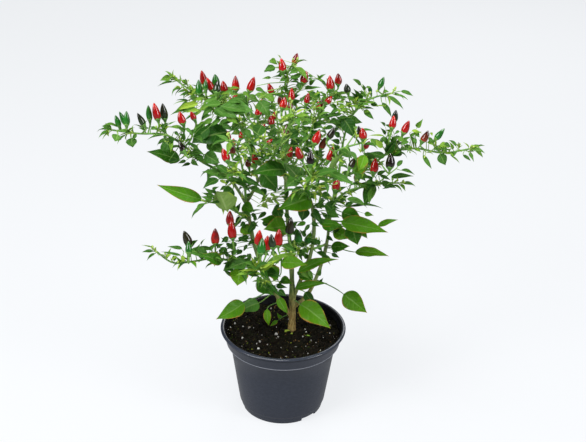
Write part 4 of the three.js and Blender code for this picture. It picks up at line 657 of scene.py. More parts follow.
        (385.7, 134.4, 380.4, 127.4, 0, 3.4, 50, 0.5), (385, 125.5, 380.2, 121.6, 0, 3.4, 45, 0.42),
        (396.5, 123.6, 401.8, 124.9, 0, 3, 40, 0.5), (406, 122.3, 401.4, 117.6, 0, 2, 45, 0.2),
        (411, 123.4, 417.6, 121, 0, 1.8, 40, 0.15), (416.6, 127.4, 422.9, 119, 0, 5.4, 60, 0.34),
        (411.7, 130.4, 422.2, 133.2, -2, 3.2, 42, 0.1), (415.4, 133, 419.6, 137.4, -3, 4.4, 50, 0.5),
        (397.6, 138, 406.2, 142.7, -5, 5, 42, 0.36), (413.6, 138.7, 417, 143.4, -4, 4, 50, 0.5),
        (418.7, 143.2, 422, 148, -3, 2.8, 50, 0.4), (437.8, 143.8, 429.3, 137.2, -2, 5, 50, 0.38),
        (430.8, 132.3, 432.3, 136, -1, 2.4, 60, 0.15), (439.7, 144.4, 449.6, 147.8, -2, 6, 42, 0.2),
        (453.1, 149.5, 449.2, 141.7, -1, 3, 60, 0.3), (414.2, 148.3, 421.4, 152.3, -4, 3.4, 42, 0.2),
        (434.6, 147.6, 439.2, 151.7, -4, 4, 50, 0.52), (444.8, 153.4, 454, 154.2, -3, 2.8, 40, 0.2),
        (451.2, 155.9, 460, 163.6, -3, 1.8, 45, 0.2), (458.9, 154.6, 468, 161.9, -2, 3.4, 45, 0.38),
        (465.9, 156.6, 471.4, 158.7, 0, 1.2, 40, 0.15), (469, 147.6, 463.2, 141.8, 0, 1.8, 45, 0.1),
        (475.5, 146.4, 480.8, 148.4, 0, 1.4, 40, 0.1), (391.6, 127.4, 384, 124.6, 0, 3, 42, 0.45),
        (391, 132, 385, 130.2, 0, 2.4, 42, 0.2), (403, 134.6, 412, 136.4, -3, 3.4, 42, 0.35),
        (399, 130.6, 394.2, 134.4, -2, 3, 50, 0.45), (408.4, 141.4, 400, 145.2, -5, 4, 45, 0.45),
        (427.6, 141.6, 434, 145.4, -3, 3.4, 45, 0.3), (424.4, 148.4, 417.6, 145.4, -4, 3.2, 45, 0.35),
        (444, 149.6, 437.4, 146.8, -2, 3.4, 42, 0.25), (462, 151.6, 455.4, 149.6, -1, 2.2, 40, 0.2),
    ],
    "left_long": [
        (163.6, 130.4, 168.4, 123.6, 2, 4.6, 58, 0.5), (166, 130, 161.6, 122.6, 0, 4, 58, 0.5),
        (202, 155, 196, 161.6, -2, 4, 58, 0.5), (161.6, 128.4, 168.6, 122.6, -4, 4, 60, 0.5),
        (160.4, 122.4, 154.6, 126.6, -4, 3.6, 58, 0.45), (200.6, 127.4, 207.6, 122, -4, 4, 58, 0.5),
        (191.4, 160.6, 198.6, 166, -4, 5, 60, 0.5), (166.6, 132.6, 158.6, 128.6, -3, 3.4, 52, 0.5),
        (184.4, 130.6, 176.4, 126.4, -4, 4, 55, 0.5), (189.6, 134.4, 197.4, 128.6, -4, 4, 58, 0.46),
        (186, 160.6, 177.6, 163.4, -3, 3.4, 55, 0.5), (190.4, 163.4, 181.4, 166.6, -3, 3.2, 52, 0.55),
        (195.6, 127.6, 203.4, 123.2, -3, 3.4, 55, 0.46), (136.4, 133.8, 131.6, 140.4, -3, 4, 70, 0.45),
        (204.4, 117.6, 212.6, 114.4, -4, 3.8, 52, 0.5), (180, 149.6, 186.6, 155.6, -4, 4.4, 60, 0.5),
        (189.6, 152.4, 182.4, 157.4, -4, 3.8, 58, 0.5), (183.6, 140, 184.6, 132, -5, 3.4, 70, 0.5),
        (187, 143.4, 195, 144.4, -6, 3.2, 55, 0.6), (189.4, 154, 205, 157.2, -8, 4, 52, 0.5),
        (165.4, 122.6, 178.8, 117.2, 0, 1.8, 50, 0.4), (168.4, 124.4, 176, 121, 0, 1.6, 50, 0.4),
        (158.4, 129, 152.4, 133, -2, 3.4, 50, 0.4), (186, 128.4, 193.6, 134.4, -4, 3.4, 55, 0.42),
        (106.6, 129.3, 108.7, 136.6, -2, 4, 60, 0.15), (151, 128, 158.4, 129.5, 0, 4.4, 42, 0.5),
        (166.5, 121.6, 175.8, 119, 0, 2.8, 42, 0.5), (182, 127.6, 168, 127, -2, 3.8, 42, 0.36),
        (163.5, 129.5, 170.6, 125.6, 0, 2.6, 42, 0.1), (163, 127.5, 157.6, 123.6, 0, 2.6, 45, 0.1),
        (126, 131, 119.6, 128.2, -1, 2.6, 42, 0.1), (128, 131.6, 134.4, 127.4, 0, 2.6, 42, 0.12),
        (136, 131.4, 141, 126.6, -1, 2.8, 45, 0.15), (144.6, 130, 138.4, 127.6, 0, 3, 42, 0.4),
        (169, 162.4, 180.8, 160, -6, 4.8, 45, 0.62), (190.8, 144.6, 199.9, 149.9, -8, 4, 45, 0.55),
        (192, 151, 205, 155, -8, 5.6, 45, 0.5), (182.4, 132, 188, 127.4, 0, 3, 45, 0.5),
        (184.6, 137.4, 178.4, 133, -2, 3.4, 45, 0.45), (154.6, 131.6, 160.8, 134.4, -2, 3.4, 45, 0.45),
        (174.6, 131.4, 179.4, 136.6, -2, 3.2, 45, 0.5), (152.6, 126.6, 146.4, 128.4, 0, 3, 42, 0.4),
        (185, 142, 192.4, 138, -2, 3, 45, 0.5), (197.6, 158.6, 205.4, 162, -6, 4, 45, 0.5),
    ],
    "front_left": [
        (220, 180.3, 228, 184.4, -8, 3.6, 45, 0.1), (227.7, 179, 244.6, 181.8, -8, 5.4, 42, 0.48),
        (234, 168.8, 248.4, 168.8, -6, 3.6, 40, 0.2), (217.6, 165, 229.4, 175.4, -8, 6, 50, 0.5),
        (219, 172.6, 209, 176.6, -10, 4, 45, 0.4), (222.6, 168.8, 214, 166.4, -8, 4.4, 45, 0.42),
        (231, 174.4, 240.6, 174.6, -6, 4, 42, 0.3), (226, 186.4, 219.4, 190.6, -6, 4, 50, 0.5),
    ],
    "inner_left": [
        (236, 149, 226.6, 146, -6, 5, 45, 0.5), (241, 158, 232, 160.6, -6, 5.4, 45, 0.5),
        (238, 153.6, 246.6, 156.6, -6, 5.4, 50, 0.5), (243, 172, 252, 176.6, -6, 5, 50, 0.55),
        (231, 140, 238, 144.6, -4, 5, 45, 0.4), (242.6, 164, 251.6, 161, -6, 4.4, 42, 0.48),
    ],
    "low_left": [
        (209.6, 250, 216.6, 243.4, -3, 4.4, 60, 0.5), (219.4, 252.6, 226.6, 247, -3, 4.6, 60, 0.55),
        (231.6, 254.4, 239.4, 248.6, -4, 4.8, 58, 0.5), (195.4, 252.6, 200.6, 243.4, -3, 4, 60, 0.45),
        (233.4, 260, 226.6, 252.6, -4, 4.4, 60, 0.5), (203.6, 258.6, 195.6, 253.4, -3, 3.8, 55, 0.5),
        (211, 249.4, 192, 248, 0, 4.4, 50, 0.5), (216, 258.4, 197.6, 253, -2, 4.4, 52, 0.72),
        (191, 247.4, 197.6, 240.6, 2, 2.2, 55, 0.5), (240, 262, 223, 263.2, -5, 5.4, 52, 0.48),
        (245, 256.4, 232, 261, -3, 4.6, 55, 0.7), (232.6, 277, 223.6, 270.2, -4, 4.6, -95, 0.6),
        (251, 258.4, 239, 266, -5, 4.6, 55, 0.5), (224.4, 252.4, 232, 257.6, -2, 4, 55, 0.6),
        (153, 247.4, 141.3, 244.7, 0, 1.6, 40, 0.2), (181, 255.3, 160.6, 251.2, 0, 2.8, 40, 0.45),
        (182.3, 255.3, 183.8, 263.4, -3, 4.4, 60, 0.1), (182.3, 248.4, 167.2, 246.2, 2, 4, 42, 0.5),
        (191.2, 243.8, 198, 239.8, 2, 3.4, 45, 0.5), (211.6, 249.2, 193, 247.4, 0, 5, 42, 0.48),
        (205, 252.6, 192.4, 252, -3, 4, 42, 0.45), (223, 261.6, 206.3, 260.6, -4, 4.4, 42, 0.5),
        (239.7, 261.6, 222.6, 263.7, -5, 5.6, 45, 0.48), (255, 261.6, 238, 265.8, -5, 4.6, 45, 0.52),
        (218, 256.5, 224, 252.6, 0, 2.8, 45, 0.12), (218, 256.5, 212.6, 252.6, 0, 2.6, 45, 0.1),
        (230, 256, 238.6, 259.4, -3, 3.4, 45, 0.35), (241, 257.6, 249.6, 256, -3, 3.6, 45, 0.5),
        (172, 259.6, 177.4, 256, 0, 3, 45, 0.1), (165.4, 256.6, 172, 253.6, 0, 2.6, 45, 0.15),
        (227.4, 251, 218.6, 247.4, 2, 4.4, 45, 0.5), (236, 249.6, 226, 246, 2, 5, 50, 0.52),
        (201, 244.6, 205, 238.6, 4, 2, 50, 0.3), (216.7, 247.4, 223.9, 243.4, 2, 4.6, 50, 0.5),
    ],
    "low_front": [
        (256.4, 270.4, 238, 271.2, -7, 2.2, 50, 0.08), (264, 270.4, 275.6, 262.4, -5, 3, 48, 0.1),
        (248.4, 273.6, 260, 277, -8, 5, 55, 0.6), (262, 270.4, 270.4, 273, -8, 3.6, 55, 0.6),
        (257.5, 266.7, 250.3, 255.2, -4, 3.6, 60, 0.06), (256.3, 270.6, 238.2, 270.8, -6, 2.8, 40, 0.1),
        (261.4, 268, 278.2, 259.5, -4, 4.6, 42, 0.1), (258.4, 266, 258.4, 258.6, -4, 2.4, 60, 0.02),
        (259.8, 266.4, 265, 261, -4, 2.4, 60, 0.0), (269, 274.6, 247, 271.8, -8, 7, 45, 0.58),
        (262.7, 274, 269.4, 268.8, -6, 5, 55, 0.55), (284, 245, 297, 251.6, 4, 6, 50, 0.56),
    ],
    "left": [
        (236.4, 226.4, 230.6, 221, -4, 4.4, 62, 0.55), (251.6, 226.6, 258, 221.6, -4, 4.4, 60, 0.5),
        (262.4, 250.6, 269.6, 255.6, -4, 5, 60, 0.5), (271, 251.6, 278.6, 256.6, -4, 5, 60, 0.52),
        (278.6, 289.6, 286.6, 296.6, -6, 6, 65, 0.6), (245, 196.6, 252.6, 192.8, -4, 3.4, 55, 0.5),
        (243.6, 189.4, 251.6, 188, -4, 3.2, 55, 0.5), (251.4, 221.6, 258.6, 226.6, -2, 5, 65, 0.55),
        (247.4, 214.4, 240.8, 219.6, -4, 4.6, 62, 0.55), (254.4, 240, 247.6, 245.6, -4, 4.6, 60, 0.55),
        (256.4, 247.4, 263.4, 252.6, -4, 4.8, 62, 0.5), (246.4, 228.4, 240.4, 222.4, -2, 4, 62, 0.55),
        (255.6, 220.6, 253.4, 213.6, -5, 3.4, 65, 0.6), (255.6, 224, 247.6, 234, -5, 6, 60, 0.6),
        (238, 238, 250, 241.4, -6, 4, 55, 0.62), (226, 243.4, 236, 249, -6, 4, 55, 0.6),
        (227.4, 242, 221, 237.6, -6, 3.6, 60, 0.6), (236.4, 250, 241.4, 254, -6, 4.4, 60, 0.6),
        (248.6, 213, 241, 217.8, -4, 5, 55, 0.6), (240, 216, 235, 227, -4, 5.4, 70, 0.6),
        (245, 222, 239.6, 226.8, -4, 4.6, 60, 0.62), (256, 223.6, 247, 233.8, -4, 6.4, 60, 0.6),
        (247, 229, 242.4, 235.4, -4, 4.6, 65, 0.62), (252, 213, 257.6, 219.8, -5, 4, 65, 0.6),
        (266.4, 212.4, 257, 219.6, -5, 4.8, 60, 0.6), (260.4, 189, 266.8, 195.4, 4, 5.4, 60, 0.6),
        (248.8, 236, 237.4, 242.4, -4, 5.4, 50, 0.6), (228.4, 237, 221, 242.6, -6, 5, 60, 0.6),
        (237, 243.4, 226, 249.4, -6, 5.4, 55, 0.6), (242.4, 250, 235.6, 255.2, -6, 4.4, 55, 0.5),
        (247, 244.4, 243.4, 251.8, -6, 3.4, 65, 0.55), (271.8, 267.4, 279.2, 267.2, -6, 6.6, 65, 0.62),
        (273, 274, 278.8, 281, -6, 4.6, 65, 0.6), (276, 286, 287.4, 287.6, -4, 6, 55, 0.62),
        (258, 284.6, 266, 284.4, -6, 5.6, 60, 0.62), (266, 287.6, 272, 290.4, -6, 4.6, 55, 0.6),
        (277.6, 320.4, 270, 326.4, -6, 4.2, 55, 0.85), (280.6, 317.4, 277.2, 313.4, -5, 5, 70, 0.8),
        (279, 283.4, 285.6, 278.4, -4, 4, 60, 0.6), (266.4, 246.4, 275.4, 243.4, 4, 5, 50, 0.6),
    ],
    "centre": [
        (291.6, 227, 298, 221.6, -4, 4.6, 60, 0.5), (279.4, 204.4, 272.6, 210.6, -4, 4, 65, 0.55),
        (281, 213.6, 274.6, 206.4, -4, 4.2, 62, 0.5), (290, 222.4, 296.6, 228.6, -4, 5, 62, 0.55),
        (289.6, 231, 297.4, 235.6, -4, 4.8, 62, 0.55), (280.6, 241.6, 274.6, 249.4, -2, 4.4, 65, 0.55),
        (283.4, 236, 276.4, 232.6, -2, 4, 62, 0.5), (291.4, 240.6, 298.4, 246.4, -4, 4.6, 60, 0.5),
        (289, 252.4, 296.4, 257, -4, 4.8, 60, 0.55), (282, 186.6, 276.4, 191.4, -6, 3, 60, 0.6),
        (285.6, 192.4, 278.6, 195.6, -6, 3, 55, 0.45), (262.4, 195.6, 270.4, 199.6, -4, 1.2, 55, 0.3),
        (274, 200.4, 281, 205.4, -6, 2.6, 55, 0.2), (256.6, 206.6, 263, 203.6, -4, 1.4, 55, 0.3),
        (286.4, 196.6, 289, 188.4, -6, 3.4, 60, 0.6), (267, 191, 259.4, 192, -4, 6.4, 60, 0.62),
        (268, 188.4, 275, 190.2, -4, 2.4, 50, 0.62), (262.6, 202.4, 268.4, 209, -6, 5, -95, 0.1),
        (267, 199.6, 274.4, 203.4, -6, 4, -95, 0.12), (270, 194, 277.4, 197.6, -5, 3, 50, 0.2),
        (262, 223, 276.4, 223.4, -6, 6, 60, 0.62), (276.7, 191.6, 269, 187.6, -6, 4, 50, 0.6),
        (271, 197.6, 264.6, 203.6, -6, 4.6, -95, 0.1), (279, 196.4, 269.4, 201.6, -8, 4, -95, 0.08),
        (305.8, 222.4, 295.6, 226, -6, 5, 60, 0.8), (306, 231, 299.8, 233.4, -6, 3.8, 60, 0.6),
        (296.4, 228.4, 297, 240.8, -6, 5, 70, 0.6), (306.6, 242.4, 311.6, 230, -6, 4.4, 70, 0.9),
        (285, 243.8, 293, 249.4, -5, 5.4, 60, 0.6), (292, 244.6, 300, 252.4, -4, 5.4, 60, 0.6),
        (281, 246.4, 274.6, 240.4, -4, 4.8, 60, 0.55), (284.6, 214, 291.4, 218.6, -6, 4.4, 60, 0.6),
        (289.4, 200.6, 281.4, 196.4, -6, 5, 55, 0.6), (283.6, 236.4, 276.4, 231.6, -5, 4.6, 60, 0.6),
    ],
    "right": [
        (308, 258, 301.6, 251.4, 2, 5.4, 58, 0.5), (304.6, 271, 312.4, 266.4, 2, 5.4, 58, 0.55),
        (310.6, 266, 318.4, 261, -6, 5, 60, 0.6), (310.6, 213.6, 318.4, 219.6, -4, 5, 65, 0.5),
        (311.6, 222.6, 319.4, 226.4, -4, 5, 60, 0.55), (315, 203.6, 322.4, 209.4, -2, 4.4, 62, 0.5),
        (327.4, 214, 339.4, 217.4, -7, 6, 55, 0.45), (322, 218, 323.6, 225.6, -6, 3, 70, 0.5),
        (309.4, 196, 320, 193.4, -6, 1.8, 45, 0.3), (325.4, 203.4, 333.6, 211.6, -6, 7, 60, 0.6),
        (319, 204.6, 326, 199.4, -4, 4, 55, 0.5), (313.4, 208.6, 320.8, 218.2, -4, 5.4, 65, 0.6),
        (314, 209.6, 323, 225.8, -5, 6.4, 60, 0.62), (327.4, 211, 339.9, 217.6, -6, 6.6, 50, 0.42),
        (319, 222.8, 343.4, 225.6, -8, 9, 42, 0.8), (320.6, 243.4, 309.4, 238.6, -5, 5.4, 55, 0.6),
        (310.4, 240, 317.6, 245.8, -5, 5, 60, 0.6), (301, 270, 309.4, 279, -4, 5.4, 65, 0.35),
        (308.4, 270, 313.6, 279.8, -4, 4.4, 65, 0.4), (297, 271.8, 306, 277.4, -4, 5.6, 60, 0.42),
        (318.4, 275.6, 321.8, 268.2, -4, 4.6, 65, 0.4), (319.6, 282.4, 323.2, 277.8, -4, 3.6, 60, 0.6),
        (327, 206.4, 336.6, 200, 0, 6.4, 55, 0.6), (307.6, 194.6, 317.8, 199.6, -4, 5, 50, 0.55),
        (316.4, 204.4, 326.6, 206.6, 0, 5.4, 50, 0.55), (305.6, 236.4, 299.4, 229.4, -4, 4.6, 60, 0.6),
        (304.4, 246.6, 297.4, 241.4, -2, 4.4, 60, 0.6), (309.6, 224.4, 303.4, 232.4, -4, 4, 65, 0.55),
        (311, 186.6, 320.4, 190.6, -6, 5, 50, 0.5), (322, 193.6, 331.6, 196.6, -8, 5.4, 50, 0.5),
        (300.6, 196.4, 293.6, 190.4, -4, 5, 50, 0.55),
    ],
    "far_right": [
        (327, 216.6, 320.6, 211.4, -4, 5, 62, 0.55), (329.6, 205.6, 336.6, 211.6, -4, 5, 65, 0.55),
        (331, 214.4, 323.4, 220.4, -4, 4.8, 62, 0.5), (333.4, 197.6, 341, 203.4, -4, 4.6, 62, 0.55),
        (331.6, 253.4, 339.6, 257.6, -4, 4.6, 60, 0.6), (364.4, 213.6, 373.6, 215.4, -8, 5, 60, 0.86),
        (361, 229.6, 367.6, 238.6, -14, 7, 70, 0.8), (338.6, 200.4, 348.9, 195.4, -8, 5.6, 50, 0.6),
        (334.6, 192.6, 347.2, 186.4, -10, 5.4, 50, 0.6), (347, 193.6, 361.4, 188, -14, 5, 45, 0.58),
        (332.4, 249.6, 337.4, 253.2, -8, 3.8, 55, 0.6), (317, 245.4, 322.4, 251.6, -8, 4.6, 60, 0.6),
        (329, 205.4, 340, 208.6, -8, 5, 50, 0.5), (326.6, 236.4, 333.6, 241.4, -6, 4.4, 60, 0.6),
        (324.4, 256, 332, 260.4, -6, 4.6, 50, 0.4), (322.6, 262, 334.8, 258.4, -8, 4.4, 42, 0.2),
        (331, 214.4, 324.6, 206.6, -6, 5, 60, 0.55), (333.4, 232.4, 341.4, 228.4, -8, 4.6, 50, 0.55),
        (345.4, 206.6, 355.6, 201.4, -14, 5.4, 50, 0.55),
    ],
}

# Where the picture shows a chilli, by its planned column and row: the column and row of its tip and foot,
# its width in columns, how much nearer it stands than planned, and its look where ripeness doesn't tell it
SEEN_CHILLIES = {
    (117.5, 120.5): (115.2, 115, 118.7, 124.6, 5.4), (121.5, 116): (119.2, 111.5, 124.5, 122.3, 5),
    (126.4, 117.4): (126.4, 111, 126.6, 123.6, 6.1),
    (140.6, 118.8): (137.2, 112.9, 143.3, 123.9, 6, 0, "turning"),
    (148.7, 111.6): (148.2, 105.1, 149.6, 118.4, 5.4), (156.8, 110.6): (153.8, 102.7, 157.6, 118.2, 7.2),
    (164.4, 111.6): (162.4, 103.2, 164.6, 117.6, 6.8, 0, "turning"),
    (182.4, 119.2): (179.4, 111.4, 182.8, 122.6, 7.3), (192.6, 116.5): (190.7, 111.4, 194, 118.4, 5.2),
    (182, 145): (178.7, 140.8, 183.8, 150.4, 5.8, 8), (198.5, 87.4): (198.5, 79.5, 199.6, 93.2, 6.7),
    (203.2, 76.4): (201.4, 70.3, 204.4, 83.4, 6.4), (205.6, 85.5): (205.6, 79.2, 205.8, 88.6, 4.9),
    (211, 83): (206.7, 77.3, 211.9, 89.6, 6.6), (215.2, 77.8): (215, 74.1, 215.8, 85, 6.7),
    (217, 86): (217.7, 80.6, 216.8, 91.8, 7.4, 0, "turning"),
    (224.2, 84.5): (222.8, 80.7, 224.8, 91.6, 6.8), (235, 97.5): (234.6, 93, 236, 101.4, 6),
    (228.3, 134.4): (227.4, 131, 229, 138, 4.4), (281.9, 64.3): (281.1, 58.1, 282.6, 70.3, 7.2, 7),
    (295.4, 58.4): (297.4, 53, 294.6, 62.5, 6), (304.2, 76.6): (306.7, 71.1, 303.5, 81.7, 7, 16),
    (291.6, 93): (291.7, 87.8, 291.4, 99.5, 6.3, 4), (283.2, 101.6): (284.9, 96.4, 282.6, 107.3, 6.9, 16),
    (290.4, 104): (290, 98.4, 290, 108.2, 5.2, 14, "brown"),
    (271.5, 117): (270.6, 115.6, 271.4, 123.5, 6.6, 4),
    (284.9, 129.6): (287, 123.8, 284.7, 135.3, 6.5, 22, "brown"),
    (235.5, 81.5): (235.5, 75.5, 235.8, 89.5, 7), (251.9, 83.2): (254.3, 76.7, 249.8, 90, 7.4),
    (262.7, 101.7): (261.4, 99.2, 263.4, 106, 5), (258, 112): (258.8, 107.6, 258.3, 114.6, 6.6),
    (246, 99): (246.4, 96, 246.6, 101.6, 3.6), (240.5, 132.8): (241.8, 130.6, 240.6, 137, 4.4, 6),
    (230.1, 217.2): (230, 210.6, 230.2, 223.4, 7, 0, "red"),
    (271.8, 240.8): (271.2, 234, 272.6, 246.4, 6.4, 0, "turning"),
    (270.2, 87.4): (268.3, 83, 271.4, 92.1, 6, 16), (276, 96): (279.4, 95.4, 281.4, 103.6, 6),
    (263.2, 126.5): (264.4, 123, 261.4, 130.4, 5.8, 3), (329.4, 82): (329.8, 75.3, 330.2, 88.6, 7.5),
    (338.1, 79.4): (338, 73.2, 338.2, 83.2, 6.6), (307.6, 98.7): (308.7, 92.6, 306.4, 103, 5.6),
    (319, 105.3): (318.4, 101.4, 318.6, 108.4, 4.6), (318, 92): (317.4, 90, 318.6, 95, 3, 0, "green"),
    (347.4, 87.6): (346.2, 83.7, 347.7, 91.3, 6.3, 0, "turning"),
    (382.4, 81): (384.1, 76.8, 380.2, 85.6, 5.6), (328.2, 99.8): (331.9, 96.1, 326.8, 102.4, 6, 6),
    (370, 88): (369.2, 86, 370.4, 91, 3, 0, "green"),
    (395, 114): (396.1, 109.9, 394.5, 119.7, 5.5, 0, "turning"),
    (392.3, 121.2): (394, 115.4, 392.1, 126.7, 6.8), (405.9, 126.6): (409.4, 120.5, 404, 131.9, 6.9),
    (424.4, 135.6): (428.4, 130.5, 423, 140.3, 6.5, 3, "brown"),
    (440.9, 133.4): (444.6, 128.4, 436.8, 137.8, 6), (389.8, 159.5): (390.5, 152.6, 389.8, 166.4, 8.6, 10),
    (374.6, 164.8): (375.6, 158, 374.1, 171.2, 7.6, 3), (335.2, 183.5): (337.9, 177, 335, 188.9, 7.6, 8),
    (320.3, 186.6): (319.2, 184.2, 320, 190, 3.8), (356, 176): (356.4, 173, 355.8, 178, 3),
    (310.1, 156.4): (310.8, 150.2, 310.5, 163.3, 6.9, 5), (299.4, 152.8): (296.6, 146.8, 301, 157.4, 7, 4),
    (362.6, 132.6): (362, 127.7, 363.5, 137.7, 7), (359, 129): (358.2, 125.8, 361, 136, 5.2),
    (331.6, 131.6): (334.4, 127.4, 329.2, 136.8, 6.1, 5),
    (316.4, 136.8): (319.5, 130.2, 315, 142.4, 7.9, 6),
    (323.4, 142.2): (325.9, 137.1, 321.4, 147.5, 6, 6, "brown"),
    (331.4, 152.4): (333.5, 146.5, 328.6, 159.8, 5.8, 8), (352.7, 162): (355.6, 156.8, 350.7, 166.4, 6, 14),
    (368, 143): (369.6, 141, 365.4, 147, 4.6, 6), (290.4, 152.8): (291.6, 146.6, 289.4, 156.4, 5, 4),
    (276, 139): (272.6, 139, 268.2, 143, 4), (225.4, 154.6): (222.6, 148.4, 226.8, 159.6, 7.6, 8),
    (233.2, 146): (233, 143.6, 232.6, 152.6, 5, 14, "brown"),
    (247.8, 161.4): (247, 159, 248.4, 165, 5.2, 6, "brown"),
    (254, 157.6): (253.4, 153.4, 255.4, 161.4, 5.8, 4),
}

# Chillies that the scene adds: each one's stem and depth, then tip, foot, width, nearness and look as above
MORE_CHILLIES = [
    ("low_left", -26, 188.3, 240.8, 188.6, 252, 6.2, 0, "green"),
    ("inner_left", 0, 233.6, 138.2, 233.2, 144, 4.6, 0, "red"),
    ("front_middle", 6, 286.4, 154.4, 289.8, 158.8, 3.8, 0, "red"),
    ("top", 0, 274.8, 111.8, 273.6, 118, 4.6, 0, "red"),
    ("back_right", 0, 321.6, 99.6, 322.4, 105.6, 4, 0, "brown"),
    ("left_crown", 0, 230.2, 97.4, 232, 101.6, 3.6, 0, "red"),
]


def unit(v):
    """A vector's heading, at length 1."""
    return v / math.sqrt(float(v @ v))


def cross(a, b):
    """A vector square to two others."""
    return np.array([a[1] * b[2] - a[2] * b[1], a[2] * b[0] - a[0] * b[2], a[0] * b[1] - a[1] * b[0]])


ASIDE = np.array([0.83, 0.55, 0.1])  # a heading that no stem or chilli has


def across_from(axis):
    """A heading square to an axis, the same one each time."""
    return unit(cross(ASIDE, axis))


def round_angles(sides):
    """The angles of the corners of one turn."""
    return [2 * math.pi * k / sides for k in range(sides)]


def turned_faces(turns, sides):
    """The faces of a round body whose corners come turn by turn, then its low and its high end point."""
    faces = []
    for i in range(turns - 1):
        for k in range(sides):
            a, b = i * sides + k, i * sides + (k + 1) % sides
            faces.append((a, b, b + sides, a + sides))
    top, low, high = (turns - 1) * sides, turns * sides, turns * sides + 1
    faces.extend((low, (k + 1) % sides, k) for k in range(sides))
    faces.extend((high, top + k, top + (k + 1) % sides) for k in range(sides))
    return faces


# Draws that repeat, started afresh for each place so that none depends on another: a place's first state is
# its number times one value plus another, and each later state comes from the one before in the same way
DRAWS = {"state": 0}
DRAW_RANGE = 4294967296
FIRST_STATE = (2654435761, 977)
NEXT_STATE = (1664525, 1013904223)


def sow(place):
    """Starts the draws of a place."""
    DRAWS["state"] = (place * FIRST_STATE[0] + FIRST_STATE[1]) % DRAW_RANGE


def draw(low, high):
    """The next draw, between low and high."""
    DRAWS["state"] = (DRAWS["state"] * NEXT_STATE[0] + NEXT_STATE[1]) % DRAW_RANGE
    return low + (high - low) * DRAWS["state"] / DRAW_RANGE


def between(points, i, t):
    """The point at share t of a smooth line's stretch i."""
    last = len(points) - 1
    near = [points[max(i - 1, 0)], points[i], points[i + 1], points[min(i + 2, last)]]
    shares = [-t + 2 * t**2 - t**3, 2 - 5 * t**2 + 3 * t**3, t + 4 * t**2 - 3 * t**3, t**3 - t**2]
    return sum(p * (share / 2) for p, share in zip(near, shares))


STEPS = 5  # each stretch of a smooth line is measured in this many steps


class Line:
    """A line through points, with its length up to each point."""

    def __init__(self, points, lengths=None):
        self.points = points
        steps = [math.dist(a, b) for a, b in zip(points, points[1:])]
        self.lengths = lengths or [0.0] + list(np.cumsum(steps))
        self.length = self.lengths[-1]

    def stretch(self, s):
        """The stretch where a distance along the line falls, and the share of that stretch up to there."""
        i = 1
        while i < len(self.points) - 1 and self.lengths[i] < s:
            i += 1
        return i - 1, (s - self.lengths[i - 1]) / (self.lengths[i] - self.lengths[i - 1])

    def along(self, s):
        """The point and heading at a distance along the line."""
        i, t = self.stretch(s)
        a, b = self.points[i], self.points[i + 1]
        return a + (b - a) * t, unit(b - a)

    def smooth(self, s):
        """The point at a distance along the line with its corners rounded off."""
        i, t = self.stretch(s)
        return between(self.points, i, min(max(t, 0.0), 1.0))


def straightened(points, piece):
    """A smooth line through points, as straight pieces of about the same length."""
    made = [between(points, i, k / STEPS) for i in range(len(points) - 1) for k in range(STEPS)]
    fine = Line(made + [points[-1]])
    count = math.ceil(fine.length / piece)
    lengths = [fine.length * i / count for i in range(count + 1)]
    return Line([fine.along(s)[0] for s in lengths], lengths)


STEMS = {
    name: straightened([seen(c, r, ROUTE_DEPTH + depth) for c, r, depth in stem["route"]], STEM_PIECE)
    for name, stem in {**MAIN_STEMS, **LEAFY_STEMS}.items()
}


def node_of(stem):
    """The node that holds a stem."""
    return "trunk" if stem in MAIN_STEMS else "leafy_stem_" + stem


CORNER_REACH = 0.12  # a planned point is in use where a solid has a corner as near as this


class Corners:
    """The corners of a node's mesh, in millimetres, to find which of its planned places are in use."""

    def __init__(self, name):
        points = [v.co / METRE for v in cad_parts[name].data.vertices]
        self.tree = kdtree.KDTree(len(points))
        for i, p in enumerate(points):
            self.tree.insert(p, i)
        self.tree.balance()

    def holds(self, point):
        """Whether the mesh has a corner at a point."""
        return self.tree.find(Vector(point))[2] < CORNER_REACH


CORNERS = {name: Corners(name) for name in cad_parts}
FIRST_ROOT = 2  # nothing grows nearer than this to a main stem's start
CLEAR_OF_STUB = 4
ROOT_STEP = 2


def root_near(stem, column, row):
    """The distance along a stem where the picture shows it nearest to a column and row."""
    path = STEMS[stem]
    s = FIRST_ROOT if stem in MAIN_STEMS else STUB + CLEAR_OF_STUB
    best = (math.inf, s)
    while s < path.length:
        c, r = pictured(path.along(s)[0])
        best = min(best, (math.hypot(c - column, r - row), s))
        s += ROOT_STEP
    return best[1]


def turned(heading, turn, low, high):
    """A heading turned about the vertical, level or rising or drooping a little."""
    flat = unit(np.array([heading[0], heading[1], 0.0]))
    c, s = math.cos(math.radians(turn)), math.sin(math.radians(turn))
    level = np.array([flat[0] * c - flat[1] * s, flat[0] * s + flat[1] * c, 0.0])
    return unit(level + UP * draw(low, high))


ARCH = 0.3  # how strongly a blade arches between its base and tip


class Leaf:
    """A leaf: its stem, where it starts, its blade's base and tip, its width and the way it faces. Its tone
    runs from 0, a young yellow-green leaf, over 0.5, a dark one, to 1, an old bright one with tan edges."""

    def __init__(self, stem, root, base, tip, width, face, **looks):
        self.stem, self.root, self.base, self.tip = stem, root, base, tip
        self.width, self.face = width, face
        self.tone, self.seed, self.broad, self.curl, self.arch = 0.5, 0.5, False, 0.25, ARCH
        self.seen_tip, self.on_stem = None, True
        self.__dict__.update(looks)


def narrow_leaf(stem, root, heading, length):
    """A narrow leaf of a length that grows out along a heading, as the solids have it."""
    base = root + heading * (length * draw(0.22, 0.4))
    tip = base + heading * length - UP * (length * draw(0.02, 0.3))
    width = length * draw(0.34, 0.46)
    tilt = draw(-0.35, 0.5)
    face = np.array([draw(-0.35, 0.35), -math.sin(tilt), math.cos(tilt)])
    return Leaf(stem, root, base, tip, width, face)


